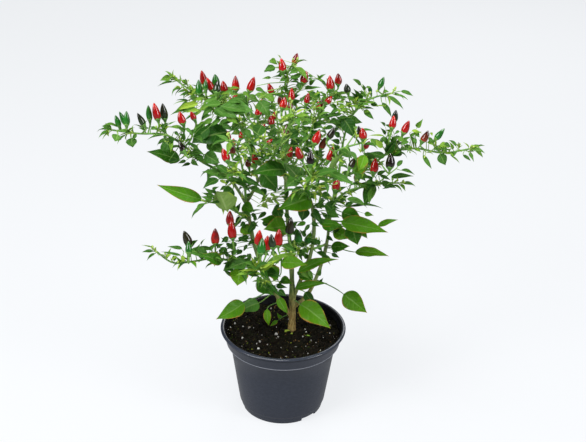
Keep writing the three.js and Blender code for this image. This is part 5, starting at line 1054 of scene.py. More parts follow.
HIDDEN_FOOT = 1.3  # this much of a chilli stands inside its calyx, below the foot that the picture shows
SEEN_CHILLI_WIDTH = 1.07  # a chilli's width beside the one read from the picture, where its edges are dark


class Chilli:
    """A chilli: its stem, where its stalk starts, its twig's joint if it has one, the point under its calyx,
    its foot, its axis and size, and its ripeness. It may have its own node, and another look than planned."""

    def __init__(self, stem, root, joint, under, foot, axis, length, width, ripeness):
        self.stem, self.root, self.joint, self.under, self.foot = stem, root, joint, under, foot
        self.axis, self.length, self.width, self.ripeness = axis, length, width, ripeness
        self.tip = foot + axis * length
        self.node = None
        self.place, self.look = None, ripeness

    def show(self, tip_column, tip_row, foot_column, foot_row, width, nearer=0, look=None):
        """Moves the chilli to where the picture shows its tip and foot, near its own depth."""
        self.tip = seen(tip_column, tip_row, self.tip[1] - nearer)
        self.foot = seen(foot_column, foot_row, self.foot[1] - nearer)
        self.length = math.dist(self.tip, self.foot)
        self.axis = unit(self.tip - self.foot)
        columns = math.hypot(tip_column - foot_column, tip_row - foot_row)
        self.width = SEEN_CHILLI_WIDTH * width * self.length / columns
        self.foot, self.length = self.foot - self.axis * HIDDEN_FOOT, self.length + HIDDEN_FOOT
        self.under = self.foot - self.axis * CALYX_HEIGHT
        self.look = look or self.ripeness


DEPTH_SHIFTS = (0, -5, 5, -10, 10, -15, 15)  # tried in turn until a chilli or a broad leaf has room
OUTWARD_LEAN = -0.012
ROWS_TO_ROOT = 17  # a chilli's stalk starts about this many rows below its middle


def chilli_choices(stem, column, row, lean, depth, ripeness, share):
    """A planned chilli at each of the depths that the solids' plan tries."""
    root = STEMS[stem].along(root_near(stem, column, row + ROWS_TO_ROOT))[0]
    tilt = math.radians(lean)
    axis = unit(np.array([math.sin(tilt), depth * OUTWARD_LEAN, math.cos(tilt)]))
    length = CHILLI_LENGTH * share
    width = CHILLI_WIDTH * (0.7 + 0.3 * share)
    for shift in DEPTH_SHIFTS:
        foot = seen(column, row, root[1] + depth + shift) - axis * (length / 2)
        under = foot - axis * CALYX_HEIGHT
        joint = under - axis * STALK_LENGTH if math.dist(under, root) > LONGEST_STALK else None
        yield Chilli(stem, root, joint, under, foot, axis, length, width, ripeness)


def broad_choices(stem, column, row, tip_column, tip_row, depth, tip_depth, width, turn):
    """A planned leaf at each of the depths that the solids' plan tries."""
    root = STEMS[stem].along(root_near(stem, column, row))[0]
    face = np.array([0.0, -math.sin(math.radians(turn)), math.cos(math.radians(turn))])
    for shift in DEPTH_SHIFTS:
        base = seen(column, row, root[1] + depth + shift)
        tip = seen(tip_column, tip_row, root[1] + tip_depth + shift)
        yield Leaf(stem, root, base, tip, width, face, broad=True)


JOINT_SPACING = 58


def stem_places(stem):
    """The places for leaves along a leafy stem: functions of a turn in degrees that give (twig, leaves)."""
    path, leaf = STEMS[stem], LEAFY_STEMS[stem]["leaf"]
    side, joint = 1, 0
    s = min(0.35 * path.length, 36)
    while s < path.length - 4:
        at, heading = path.along(s)
        size = leaf * (1.1 - 0.4 * s / path.length)

        def single(turn, at=at, heading=heading, size=size, side=side):
            """One leaf on the stem itself."""
            out = turned(heading, turn * side, -0.45, 0.3)
            return None, [narrow_leaf(stem, at, out, size * draw(0.8, 1.15))]

        def paired(turn, at=at, heading=heading, size=size, side=side):
            """Two leaves at the end of a twig."""
            out = turned(heading, -turn * side, -0.2, 0.8)
            end = at + out * draw(14, 26)
            pair = []
            for spread in (-55, 30):
                aside = turned(out, spread + draw(-20, 20), -0.3, 0.4)
                pair.append(narrow_leaf(stem, end, aside, size * draw(0.65, 0.95)))
            return (stem, at, end), pair

        yield single
        if joint % 3 == 1:
            yield paired
        side, joint = -side, joint + 1
        s += JOINT_SPACING
    at, heading = path.along(path.length - 1.5)
    for towards in (-1, 1):

        def last(turn, towards=towards):
            """A leaf at the stem's tip."""
            out = turned(heading, towards * turn / 2, -0.4, 0.3)
            return None, [narrow_leaf(stem, at, out, leaf * draw(0.6, 0.85))]

        yield last


CALYX_RIM = 0.34  # the radius of a solid calyx beside the width of its chilli


def find_chillies():
    """The chillies where the solids have them, each with the node that it stands for if it has its own."""
    planned = [(stem, row) for stem, rows in CHILLIES.items() for row in rows]
    ripe = [place for place in planned if place[1][4] in ("red", "mottled")]
    own = [id(place[1]) for place in sorted(ripe, key=lambda place: -place[1][5])[:OWN_SOLIDS]]
    nodes = [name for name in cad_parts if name.startswith("chilli_")]
    found = []
    for stem, row in planned:
        for chilli in chilli_choices(stem, *row):
            if id(row) in own:
                chilli.node = next((name for name in nodes if CORNERS[name].holds(chilli.tip)), None)
                hit = chilli.node is not None
            elif chilli.ripeness in ("green", "dark"):
                hit = CORNERS[node_of(stem)].holds(chilli.tip)
            else:
                rim = chilli.foot - chilli.axis * SEAT
                rim = rim + across_from(chilli.axis) * (chilli.width * CALYX_RIM)
                hit = CORNERS[node_of(stem)].holds(rim)
            if hit:
                chilli.place = (row[0], row[1])
                found.append(chilli)
                break
    return found


def find_broad_leaves():
    """The broad leaves where the solids have them, or else where the picture shows them."""
    leaves = []
    for stem, rows in BROAD_LEAVES.items():
        corners = CORNERS[node_of(stem)]
        for row in rows:
            choices = list(broad_choices(stem, *row))
            leaf = next((leaf for leaf in choices if corners.holds(leaf.tip)), choices[0])
            leaf.seen_tip = (row[2], row[3])
            leaves.append(leaf)
    return leaves


TRIES = 5  # a narrow leaf's place is tried with this many turns


def find_narrow_leaves(chillies):
    """The narrow leaves and twigs where the solids have them."""
    leaves, twigs = [], []
    places = []
    for chilli in chillies:
        if chilli.joint is None:
            continue

        def beside(turn, chilli=chilli):
            """A leaf at the joint of a chilli's twig."""
            out = unit(chilli.joint - chilli.root)
            heading = turned(out, 3 * turn, -0.4, 0.3)
            return None, [narrow_leaf(chilli.stem, chilli.joint, heading, draw(13, 21))]

        places.append(beside)
    for stem in LEAFY_STEMS:
        places.extend(stem_places(stem))
    for number, place in enumerate(places):
        for k in range(TRIES):
            sow(number * TRIES + k)
            draw(0, 1)
            twig, choice = place(draw(35, 85))
            kept = [leaf for leaf in choice if CORNERS[node_of(leaf.stem)].holds(leaf.tip)]
            if kept:
                leaves.extend(kept)
                twigs.extend([twig] if twig else [])
                break
    return leaves, twigs


def placed(name, data):
    """An object of a mesh, light or camera, linked to the scene."""
    made = bpy.data.objects.new(name, data)
    bpy.context.scene.collection.objects.link(made)
    return made


def meshed(name, points, faces):
    """An object of points in metres and faces, linked to the scene."""
    mesh = bpy.data.meshes.new(name)
    mesh.from_pydata(points, [], faces)
    return placed(name, mesh)


def dressed(piece, slot, nodes=()):
    """Makes a piece ride on the plant's only body and stand for the nodes."""
    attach(piece, "root")
    if nodes:
        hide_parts(*nodes)


class Shells:
    """Closed shells of one piece: points in millimetres, faces and each face's finish. A material reads three
    values of each point as its place and a fourth as its tone, and a point may be on a sharp edge."""

    def __init__(self):
        self.points, self.faces, self.finishes = [], [], []
        self.places, self.tones, self.creases = [], [], []

    def add(self, points, faces, places, tone=0.5, finishes=0, creased=None):
        """Adds a shell. A single number as its finishes is the finish of all its faces."""
        start = len(self.points)
        self.points.extend(points)
        self.faces.extend(tuple(i + start for i in face) for face in faces)
        self.finishes.extend([finishes] * len(faces) if isinstance(finishes, int) else finishes)
        self.places.extend(places)
        self.tones.extend([tone] * len(points))
        self.creases.extend([False] * len(points) if creased is None else creased)

    def piece(self, name, materials, slot, nodes=()):
        """Makes the shells one piece of the plant that stands for the nodes."""
        mesh = bpy.data.meshes.new(name)
        mesh.from_pydata((np.array(self.points) * METRE).tolist(), [], self.faces)
        place = mesh.attributes.new("place", "FLOAT_VECTOR", "POINT")
        place.data.foreach_set("vector", np.array(self.places, np.float32).ravel())
        tone = mesh.attributes.new("tone", "FLOAT", "POINT")
        tone.data.foreach_set("value", np.array(self.tones, np.float32))
        for material in materials:
            mesh.materials.append(material)
        mesh.polygons.foreach_set("material_index", self.finishes)
        mesh.polygons.foreach_set("use_smooth", [True] * len(mesh.polygons))
        if any(self.creases):
            ends = np.zeros(len(mesh.edges) * 2, np.int32)
            mesh.edges.foreach_get("vertices", ends)
            creased = np.array(self.creases)[ends.reshape(-1, 2)].all(1)
            mesh.attributes.new("sharp_edge", "BOOLEAN", "EDGE").data.foreach_set("value", creased)
        mesh.update()
        dressed(placed(name, mesh), slot, nodes)


def bent(start, leaving, end, arriving, count, pull=0.4):
    """Points on a curve that leaves start along one heading and reaches end along another."""
    reach = math.dist(start, end) * pull
    a, b = start + leaving * reach, end - arriving * reach
    t = np.linspace(0, 1, count)[:, None]
    return (1 - t) ** 3 * start + 3 * t * (1 - t) ** 2 * a + 3 * t**2 * (1 - t) * b + t**3 * end


def add_tube(shells, points, radii, sides, seed, tone, ridge=0.0):
    """A round tube through points with a radius at each, closed at both ends."""
    points = np.asarray(points, float)
    count = len(points)
    headings = np.gradient(points, axis=0)
    headings /= np.linalg.norm(headings, axis=1)[:, None]
    across = np.cross(headings[0], ASIDE)
    angles = np.arange(sides) * (2 * math.pi / sides)
    swell = 1 + ridge * np.cos(angles * 5)
    made, places = [], []
    far = 0.0
    for i in range(count):
        across = across - headings[i] * (across @ headings[i])
        across = across / np.linalg.norm(across)
        over = np.cross(headings[i], across)
        ring = np.outer(np.cos(angles) * swell, across) + np.outer(np.sin(angles) * swell, over)
        made.append(points[i] + ring * radii[i])
        far += float(np.linalg.norm(points[i] - points[i - 1])) if i else 0.0
        places.extend([(0.0, far / 100, seed)] * sides)
    ends = [points[0] - headings[0] * radii[0] * 0.5, points[-1] + headings[-1] * radii[-1] * 0.6]
    places.extend([places[0], places[-1]])
    shells.add(list(np.concatenate(made)) + ends, turned_faces(count, sides), places, tone)


# A blade's outline rises with t raised to the first of these and narrows with 1 - t raised to the second
NARROW_POWERS = (0.72, 1.5)
BROAD_POWERS = (0.72, 1.3)
BLADE_EDGE = 0.05  # a blade's thickness at its edge
BLADE_GAIN = 0.21  # what the thickness gains towards the midrib
BROAD_GRID = (15, 8)  # the rows and columns of faces of a broad blade
NARROW_GRIDS = ((7, (5, 4)), (12, (7, 4)), (math.inf, (9, 6)))  # and of narrow ones shorter than each length


def lie(leaf):
    """A blade's length, the heading of its midrib and the heading of its upper face."""
    length = math.dist(leaf.base, leaf.tip)
    axis = (leaf.tip - leaf.base) / length
    return length, axis, unit(leaf.face - axis * float(leaf.face @ axis))


def add_blade(shells, leaf, rng):
    """A blade with a fold along its midrib, waved edges and a tip that curls down."""
    length, axis, normal = lie(leaf)
    across = cross(axis, normal)
    rows, columns = BROAD_GRID if leaf.broad else next(grid for most, grid in NARROW_GRIDS if length < most)
    rise_power, fall_power = BROAD_POWERS if leaf.broad else NARROW_POWERS
    widest = rise_power / (rise_power + fall_power)
    # t runs from base to tip, closer near the base, and u from edge to edge, closer near the edges
    t = np.linspace(0, 1, rows + 1) ** 1.08
    u = np.linspace(-1, 1, columns + 1)
    u = np.sign(u) * np.abs(u) ** 0.85
    grid_t, grid_u = np.meshgrid(t, u, indexing="ij")
    outline = grid_t**rise_power * (1 - grid_t) ** fall_power
    outline /= widest**rise_power * (1 - widest) ** fall_power
    half = leaf.width / 2 * outline
    size = abs(grid_u)
    fold = rng.uniform(0.15, 0.42) if leaf.broad else rng.uniform(0.25, 0.7)
    waves = rng.uniform(1.6, 3.2) if leaf.broad else rng.uniform(0.8, 2.0)
    wave = leaf.width * (rng.uniform(0.03, 0.07) if leaf.broad else rng.uniform(0.01, 0.06))
    phases = [rng.uniform(0, 2 * math.pi) for _ in range(2)]
    curl = leaf.curl * length
    sway = rng.uniform(-0.07, 0.07) * length
    # The blade rises over its arch, falls at its curled tip, and folds up and waves towards its edges
    rise = leaf.arch * length * grid_t * (1 - grid_t)
    rise -= curl * np.clip((grid_t - 0.6) / 0.4, 0, 1) ** 2 * 0.3
    rise += fold * half * (size**1.15 - 0.35)
    phase = np.where(grid_u > 0, phases[0], phases[1])
    rise += wave * np.sin(2 * math.pi * waves * grid_t + phase) * size**2 * np.sin(math.pi * grid_t)
    side = half * grid_u * math.cos(fold * 0.9) + sway * grid_t * (1 - grid_t) * 2
    thick = BLADE_EDGE + BLADE_GAIN * (1 - size**2) * (1 - grid_t) ** 0.5
    # A midrib stands out under it, and its upper face is puffed up between the side veins
    keel = 0.35 * np.exp(-((grid_u / 0.14) ** 2)) * (1 - grid_t) * min(1.0, leaf.width / 12)
    quilt = 0.06 * leaf.width / 8 * np.sin(2 * math.pi * (grid_t * 6 - size * 1.4)) * size * (1 - size)
    made = leaf.base + np.multiply.outer(length * grid_t, axis)
    made = made + np.multiply.outer(side, across)
    top = made + np.multiply.outer(rise + quilt, normal)
    under = made + np.multiply.outer(rise - thick - keel, normal)
    points, places, creased = [], [], []
    index_top, index_under = {}, {}

    def put(p, a, b, edge):
        """Adds a point of the blade and gives its number."""
        points.append(p)
        places.append((a, b, leaf.seed))
        creased.append(edge)
        return len(points) - 1

    first = put(top[0, columns // 2], 0, 0, True)
    final = put(top[rows, columns // 2], 0, 1, True)
    for i in range(1, rows):
        for k in range(columns + 1):
            edge = k in (0, columns)
            index_top[i, k] = put(top[i, k], u[k], t[i], edge)
            if edge:
                index_under[i, k] = index_top[i, k]
            else:
                index_under[i, k] = put(under[i, k], u[k], t[i], False)
    faces, finishes = [], []
    for finish, index, turn in ((0, index_top, 1), (1, index_under, -1)):
        for k in range(columns):
            faces.append((first, index[1, k + 1], index[1, k])[::turn])
            faces.append((final, index[rows - 1, k], index[rows - 1, k + 1])[::turn])
            finishes.extend((finish, finish))
            for i in range(1, rows - 1):
                corners = (index[i, k], index[i, k + 1], index[i + 1, k + 1], index[i + 1, k])
                faces.append(corners[::turn])
                finishes.append(finish)
    shells.add(points, faces, places, leaf.tone, finishes, creased)


def add_petiole(shells, leaf, rng):
    """A leaf's stalk, from inside its stem to a little way under its blade."""
    length, axis, normal = lie(leaf)
    out = unit(leaf.base - leaf.root)
    end = leaf.base + axis * (0.1 * length) + normal * (leaf.arch * length * 0.07 - 0.25)
    leaving = unit(out + UP * rng.uniform(-0.25, 0.35))
    points = bent(leaf.root, leaving, end, unit(axis + normal * 0.3), 8 if leaf.broad else 4)
    thick = PETIOLE_RADIUS * min(1.0, 0.35 + leaf.width / 16)
    radii = np.interp(np.linspace(0, 1, len(points)), (0, 0.15, 0.8, 1), (1.35, 1, 0.85, 0.3)) * thick
    add_tube(shells, points, radii, 7 if leaf.broad else 4, leaf.seed, leaf.tone * 0.8)


def add_leaf(stalks, blades, leaf, rng):
    """A leaf's stalk and its blade, each with its piece."""
    add_petiole(stalks, leaf, rng)
    add_blade(blades, leaf, rng)


def fruit_radius(t, base):
    """A chilli's radius at a share of its length: round at the foot, widest a third up, and pointed."""
    return math.sin(math.pi * t**base) ** 0.66


FRUIT_TURNS = 15
FRUIT_SIDES = 18


def add_chilli(shells, chilli, rng):
    """A glossy cone-shaped chilli with a slightly bent axis and soft lobes."""
    across = across_from(chilli.axis)
    over = cross(chilli.axis, across)
    bend = across * rng.uniform(-0.05, 0.05) + over * rng.uniform(-0.04, 0.04)
    lobes, phase = rng.uniform(0.01, 0.04), rng.uniform(0, 2 * math.pi)
    base = rng.uniform(0.5, 0.6)
    seed = rng.random()
    points, places = [], []
    shares = [0.5 * (1 - math.cos(math.pi * (i + 0.5) / FRUIT_TURNS)) for i in range(FRUIT_TURNS)]
    for t in shares:
        centre = chilli.foot + chilli.axis * (chilli.length * t) + bend * (chilli.length * t * (1 - t) * 2)
        radius = chilli.width / 2 * fruit_radius(t, base)
        for angle in round_angles(FRUIT_SIDES):
            r = radius * (1 + lobes * math.cos(3 * angle + phase) * math.sin(math.pi * t))
            points.append(centre + across * (r * math.cos(angle)) + over * (r * math.sin(angle)))
            places.append((0.5 + 0.5 * math.cos(angle + phase), t, seed))
    points.extend([chilli.foot, chilli.tip])
    places.extend([(0.5, 0.0, seed), (0.5, 1.0, seed)])
    shells.add(points, turned_faces(FRUIT_TURNS, FRUIT_SIDES), places, rng.random())


CALYX_SIDES = 20
SEPALS = 5


def add_calyx(shells, chilli, rng):
    """The green cup under a chilli, flared from its stalk to a rim with five low points."""
    across = across_from(chilli.axis)
    over = cross(chilli.axis, across)
    half = chilli.width / 2
    turn = rng.uniform(0, 2 * math.pi)
    outer = [(-CALYX_HEIGHT, 1.1), (-2.4, 1.5), (-1.0, half * 0.54), (0.3, half * 0.79), (1.8, half * 0.93)]
    inner = [(1.6, half * 0.87), (0.4, half * 0.68), (-0.6, half * 0.2)]
    points = []
    for n, (height, radius) in enumerate(outer + inner):
        for angle in round_angles(CALYX_SIDES):
            point = math.cos(SEPALS * angle + turn)
            lift = 0.7 * max(point, -0.6) if n in (4, 5) else 0.0
            spread = radius * (1 + 0.03 * point * (n > 1))
            centre = chilli.foot + chilli.axis * (height + lift)
            points.append(centre + (across * math.cos(angle) + over * math.sin(angle)) * spread)
    points.append(chilli.foot - chilli.axis * (CALYX_HEIGHT + 0.4))
    points.append(chilli.foot - chilli.axis * 0.8)
    faces = turned_faces(len(outer) + len(inner), CALYX_SIDES)
    seed = rng.random()
    shells.add(points, faces, [(0.0, 0.3, seed)] * len(points), rng.uniform(0.5, 0.7))


def add_stalk(shells, chilli, rng):
    """A chilli's stalk, by way of the twig that carries it where its stem is far."""
    out = unit((chilli.joint if chilli.joint is not None else chilli.under) - chilli.root)
    seed = rng.random()
    if chilli.joint is not None:
        arriving = unit(out + chilli.axis)
        twig = bent(chilli.root, unit(out + UP * 0.2), chilli.joint, arriving, 7, 0.33)
        stalk = bent(chilli.joint, arriving, chilli.under, chilli.axis, 6, 0.33)
        points = np.concatenate([twig, stalk[1:]])
        radii = np.interp(np.linspace(0, 1, len(points)), (0, 0.5, 0.9, 1), (0.95, 0.8, 0.95, 1.15))
    else:
        points = bent(chilli.root, unit(out + chilli.axis * 0.1), chilli.under, chilli.axis, 9, 0.36)
        radii = np.interp(np.linspace(0, 1, len(points)), (0, 0.2, 0.8, 1), (0.85, 0.7, 0.9, 1.15))
    add_tube(shells, points, radii, 8, seed, 0.45)


class Nodes:
    """Shader nodes of one material or group, added and wired by short calls. Numbers are set on sockets."""

    def __init__(self, tree):
        self.tree = tree

    def add(self, kind, inputs=None, **settings):
        """A new node with its settings, and its inputs set or linked."""
        made = self.tree.nodes.new("ShaderNode" + kind)
        for key, value in settings.items():
            setattr(made, key, value)
        for key, value in (inputs or {}).items():
            if isinstance(value, bpy.types.NodeSocket):
                self.tree.links.new(value, made.inputs[key])
            else:
                made.inputs[key].default_value = value
        return made

    def math(self, operation, a, b=0.0):
        """A sum or another function of one or two values."""
        return self.add("Math", {0: a, 1: b}, operation=operation).outputs[0]

    def plus(self, a, b):
        """One value plus another."""
        return self.math("ADD", a, b)

    def minus(self, a, b):
        """One value minus another."""
        return self.math("SUBTRACT", a, b)

    def times(self, a, b):
        """One value times another."""
        return self.math("MULTIPLY", a, b)

    def ramp(self, value, low, high, start=0.0, end=1.0):
        """A smooth step of value from start at low to end at high."""
        inputs = {0: value, 1: low, 2: high, 3: start, 4: end}
        return self.add("MapRange", inputs, interpolation_type="SMOOTHSTEP").outputs[0]

    def mix(self, share, a, b, blend="MIX"):
        """Two colours mixed, with this share of the second."""
        return self.add("Mix", {0: share, 6: a, 7: b}, data_type="RGBA", blend_type=blend).outputs[2]

    def tinted(self, base, tint):
        """A colour multiplied by another."""
        return self.mix(1.0, base, tint, "MULTIPLY")

    def here(self):
        """Where the surface is, in metres."""
        return self.add("TexCoord").outputs["Object"]

    def height(self):
        """How high the surface is, in metres."""
        return self.add("SeparateXYZ", {0: self.here()}).outputs[2]

    def noise(self, scale, detail, roughness, at=None):
        """Soft noise from 0 to 1 at a place, or else where the surface is."""
        if at is None:
            at = self.here()
        inputs = {"Scale": scale, "Detail": detail, "Roughness": roughness, "Vector": at}
        return self.add("TexNoise", inputs).outputs["Fac"]

    def stray(self, scale, detail, roughness, reach):
        """Soft noise about zero that spans reach."""
        return self.times(self.minus(self.noise(scale, detail, roughness), 0.5), reach)

    def place(self):
        """The three values of a point that Shells keeps as its place."""
        split = self.add("SeparateXYZ", {0: self.add("Attribute", attribute_name="place").outputs["Vector"]})
        return split.outputs

    def tone(self):
        """The value of a point that Shells keeps as its tone."""
        return self.add("Attribute", attribute_name="tone").outputs["Fac"]

    def colours(self, value, stops):
        """A colour that changes with value through (position, colour) stops."""
        made = self.add("ValToRGB", {0: value})
        elements = made.color_ramp.elements
        while len(elements) < len(stops):
            elements.new(0.5)
        for element, (position, colour) in zip(elements, stops):
            element.position = position
            element.color = colour
        return made.outputs["Color"]


def colour(red, green, blue):
    """A display colour, 0 to 255, as the shader's linear one."""
    shares = [c / 255 for c in (red, green, blue)]
    return [c / 12.92 if c <= 0.04045 else ((c + 0.055) / 1.055) ** 2.4 for c in shares] + [1.0]


def new_group(name, inputs, outputs):
    """An empty shader group with named number inputs and outputs, and its nodes and input sockets."""
    tree = bpy.data.node_groups.new(name, "ShaderNodeTree")
    for label, value in inputs.items():
        socket = tree.interface.new_socket(label, in_out="INPUT", socket_type="NodeSocketFloat")
        socket.default_value = value
    for label, kind in outputs.items():
        tree.interface.new_socket(label, in_out="OUTPUT", socket_type="NodeSocket" + kind)
    nodes = Nodes(tree)
    return tree, nodes, tree.nodes.new("NodeGroupInput").outputs, tree.nodes.new("NodeGroupOutput")


def grain_group():
    """Fine grain: a soft patchy mask, a sharper speck mask, and a height for a bump."""
    outputs = {"Patches": "Float", "Specks": "Float", "Height": "Float"}
    tree, n, given, out = new_group("grain", {"Scale": 400.0, "Stretch": 1.0, "Speck Share": 0.3}, outputs)
    squash = n.add("CombineXYZ", {0: 1.0, 1: 1.0, 2: given["Stretch"]}).outputs[0]
    at = n.add("VectorMath", {0: n.here(), 1: squash}, operation="MULTIPLY").outputs[0]
    patches = n.noise(given["Scale"], 4.0, 0.6, at)
    fine = n.noise(n.times(given["Scale"], 3.7), 5.0, 0.65, at)
    level = n.minus(0.72, n.times(given["Speck Share"], 0.3))
    specks = n.ramp(fine, level, n.plus(level, 0.06))
    height = n.plus(n.times(patches, 0.7), n.times(fine, 0.3))
    tree.links.new(n.ramp(patches, 0.38, 0.62), out.inputs["Patches"])
    tree.links.new(specks, out.inputs["Specks"])
    tree.links.new(height, out.inputs["Height"])
    return tree


def veins_group():
    """A leaf's pattern: its midrib and side veins, its edge and tip, and the puffs between its veins."""
    outputs = {name: "Float" for name in ("Veins", "Edge", "Height", "Patches")}
    tree, n, given, out = new_group("leaf_veins", {"Pairs": 6.5, "Sweep": 1.5, "Vein Width": 0.1}, outputs)
    across, along = n.place()[:2]
    size = n.math("ABSOLUTE", across)
    wobble = n.stray(260.0, 2.0, 0.5, 0.5)
    swept = n.times(n.math("POWER", size, 0.85), given["Sweep"])
    phase = n.minus(n.times(along, given["Pairs"]), n.plus(swept, wobble))
    phase = n.plus(phase, n.times(n.math("SIGN", across), 0.2))
    off = n.times(n.math("ABSOLUTE", n.minus(n.math("FRACT", phase), 0.5)), 2.0)
    side = n.ramp(off, n.minus(1.0, given["Vein Width"]), 1.0)
    side = n.times(side, n.ramp(size, 0.95, 0.55, 0.0, 0.7))
    midrib = n.ramp(size, 0.11, 0.035)
    veins = n.math("MAXIMUM", side, midrib)
    patches = n.ramp(n.noise(420.0, 4.0, 0.6), 0.35, 0.65)
    ragged = n.stray(330.0, 3.0, 0.6, 0.34)
    edge = n.ramp(n.plus(size, ragged), 0.86, 0.97)
    tip = n.ramp(n.plus(along, n.times(ragged, 0.4)), 0.93, 0.985)
    puff = n.times(n.minus(1.0, n.math("POWER", off, 2.0)), n.ramp(size, 0.02, 0.2))
    height = n.minus(puff, n.times(veins, 0.7))
    tree.links.new(veins, out.inputs["Veins"])
    tree.links.new(n.math("MAXIMUM", edge, tip), out.inputs["Edge"])
    tree.links.new(height, out.inputs["Height"])
    tree.links.new(patches, out.inputs["Patches"])
    return tree


GROUPS = {"grain": grain_group(), "veins": veins_group()}


def use(n, name, inputs=None):
    """A shader group placed in a material with its own values."""
    made = n.tree.nodes.new("ShaderNodeGroup")
    made.node_tree = GROUPS[name]
    for key, value in (inputs or {}).items():
        made.inputs[key].default_value = value
    return made.outputs


def new_material(name):
    """An empty material and its nodes."""
    material = bpy.data.materials.new(name)
    material.use_nodes = True
    material.node_tree.nodes.clear()
    return material, Nodes(material.node_tree)


def finished(n, surface):
    """Wires the last shader of a material to its output."""
    n.add("OutputMaterial", {"Surface": surface})


def bump(n, height, strength, distance):
    """The normal that a height gives, with its strength and its depth in metres."""
    return n.add("Bump", {"Height": height, "Strength": strength, "Distance": distance}).outputs[0]


def surfaced(material, n, base, roughness, normal, level=0.5):
    """A material with its surface made of a colour, roughness, normal and specular level."""
    finished(n, n.add("BsdfPrincipled", {
        "Base Color": base,
        "Roughness": roughness,
        "Specular IOR Level": level,
        "Normal": normal,
    }).outputs[0])
    return material


def leaf_material(name, stops, vein_colour, vein_share, lights, sheen, rough, edge_share):
    """One face of the leaves: colour by tone, paler veins, tan edges when old, and light shining through."""
    material, n = new_material(name)
    veins = use(n, "veins")
    seed = n.place()[2]
    tone = n.tone()
    base = n.colours(tone, stops)
    shade = n.plus(n.times(seed, 0.75), n.times(veins["Patches"], 0.22))
    base = n.mix(shade, base, n.tinted(base, (0.4, 0.52, 0.4, 1.0)))
    base = n.mix(n.times(veins["Veins"], vein_share), base, vein_colour)
    aged = n.times(n.ramp(tone, 0.6, 0.8), edge_share)
    worn = n.ramp(n.noise(70.0, 2.0, 0.5), 0.38, 0.52)
    tan = n.mix(n.times(worn, 0.7), colour(206, 168, 70), colour(190, 104, 52))
    base = n.mix(n.times(veins["Edge"], n.times(aged, worn)), base, tan)
    normal = bump(n, veins["Height"], 0.45, 0.0005)
    shine = n.add("BsdfPrincipled", {
        "Base Color": base,
        "Roughness": n.ramp(veins["Patches"], 0.0, 1.0, rough, rough + 0.12),
        "Specular IOR Level": sheen,
        "Normal": normal,
    }).outputs[0]
    glow = n.add("BsdfTranslucent", {"Color": n.colours(tone, lights), "Normal": normal}).outputs[0]
    finished(n, n.add("MixShader", {0: 0.3, 1: shine, 2: glow}).outputs[0])
    return material


LEAF_TOP_COLOURS = [
    (0.0, colour(208, 228, 88)), (0.22, colour(156, 202, 72)), (0.42, colour(104, 160, 64)),
    (0.62, colour(54, 108, 34)), (0.8, colour(90, 156, 30)), (1.0, colour(126, 184, 34)),
]
LEAF_UNDER_COLOURS = [
    (0.0, colour(180, 206, 120)), (0.3, colour(140, 182, 96)), (0.6, colour(102, 148, 74)),
    (1.0, colour(136, 172, 80)),
]
LEAF_LIGHTS = [
    (0.0, colour(196, 226, 66)), (0.3, colour(132, 198, 50)), (0.55, colour(76, 148, 30)),
    (0.8, colour(112, 188, 16)), (1.0, colour(142, 204, 20)),
]


def stem_material():
    """Green stems, stalks and calyxes: ridged along their length, paler on the young ones."""
    material, n = new_material("green_stem")
    grain = use(n, "grain", {"Scale": 900.0, "Stretch": 0.35, "Speck Share": 0.5})
    tone = n.tone()
    base = n.colours(tone, [
        (0.0, colour(182, 206, 92)), (0.35, colour(136, 180, 76)), (0.6, colour(82, 138, 50)),
        (1.0, colour(92, 120, 52)),
    ])
    base = n.mix(n.times(grain["Patches"], 0.45), base, n.tinted(base, (0.55, 0.68, 0.6, 1.0)))
    base = n.mix(n.times(grain["Specks"], 0.35), base, colour(176, 196, 128))
    roughness = n.ramp(grain["Patches"], 0.0, 1.0, 0.42, 0.58)
    return surfaced(material, n, base, roughness, bump(n, grain["Height"], 0.35, 0.0005))


GREEN_FROM = (0.105, 0.165)  # the heights in metres where the bark starts and ends to turn green


def bark_material():
    """The trunk: fissured tan-brown wood at its foot that turns into green stems higher up."""
    material, n = new_material("trunk_bark")
    grain = use(n, "grain", {"Scale": 520.0, "Stretch": 0.22, "Speck Share": 0.35})
    cracks = use(n, "grain", {"Scale": 1300.0, "Stretch": 0.12, "Speck Share": 0.8})
    wood = n.mix(grain["Patches"], colour(146, 120, 62), colour(204, 180, 108))
    wood = n.mix(n.times(cracks["Specks"], 0.45), wood, colour(92, 66, 34))
    green = n.mix(grain["Patches"], colour(96, 128, 60), colour(142, 166, 92))
    green = n.mix(n.times(grain["Specks"], 0.3), green, colour(176, 190, 140))
    level = n.plus(n.height(), n.stray(60.0, 3.0, 0.6, 0.03))
    base = n.mix(n.ramp(level, *GREEN_FROM), wood, green)
    relief = n.minus(grain["Height"], n.times(cracks["Specks"], 0.5))
    return surfaced(material, n, base, n.ramp(level, *GREEN_FROM, 0.85, 0.5), bump(n, relief, 0.7, 0.0012))


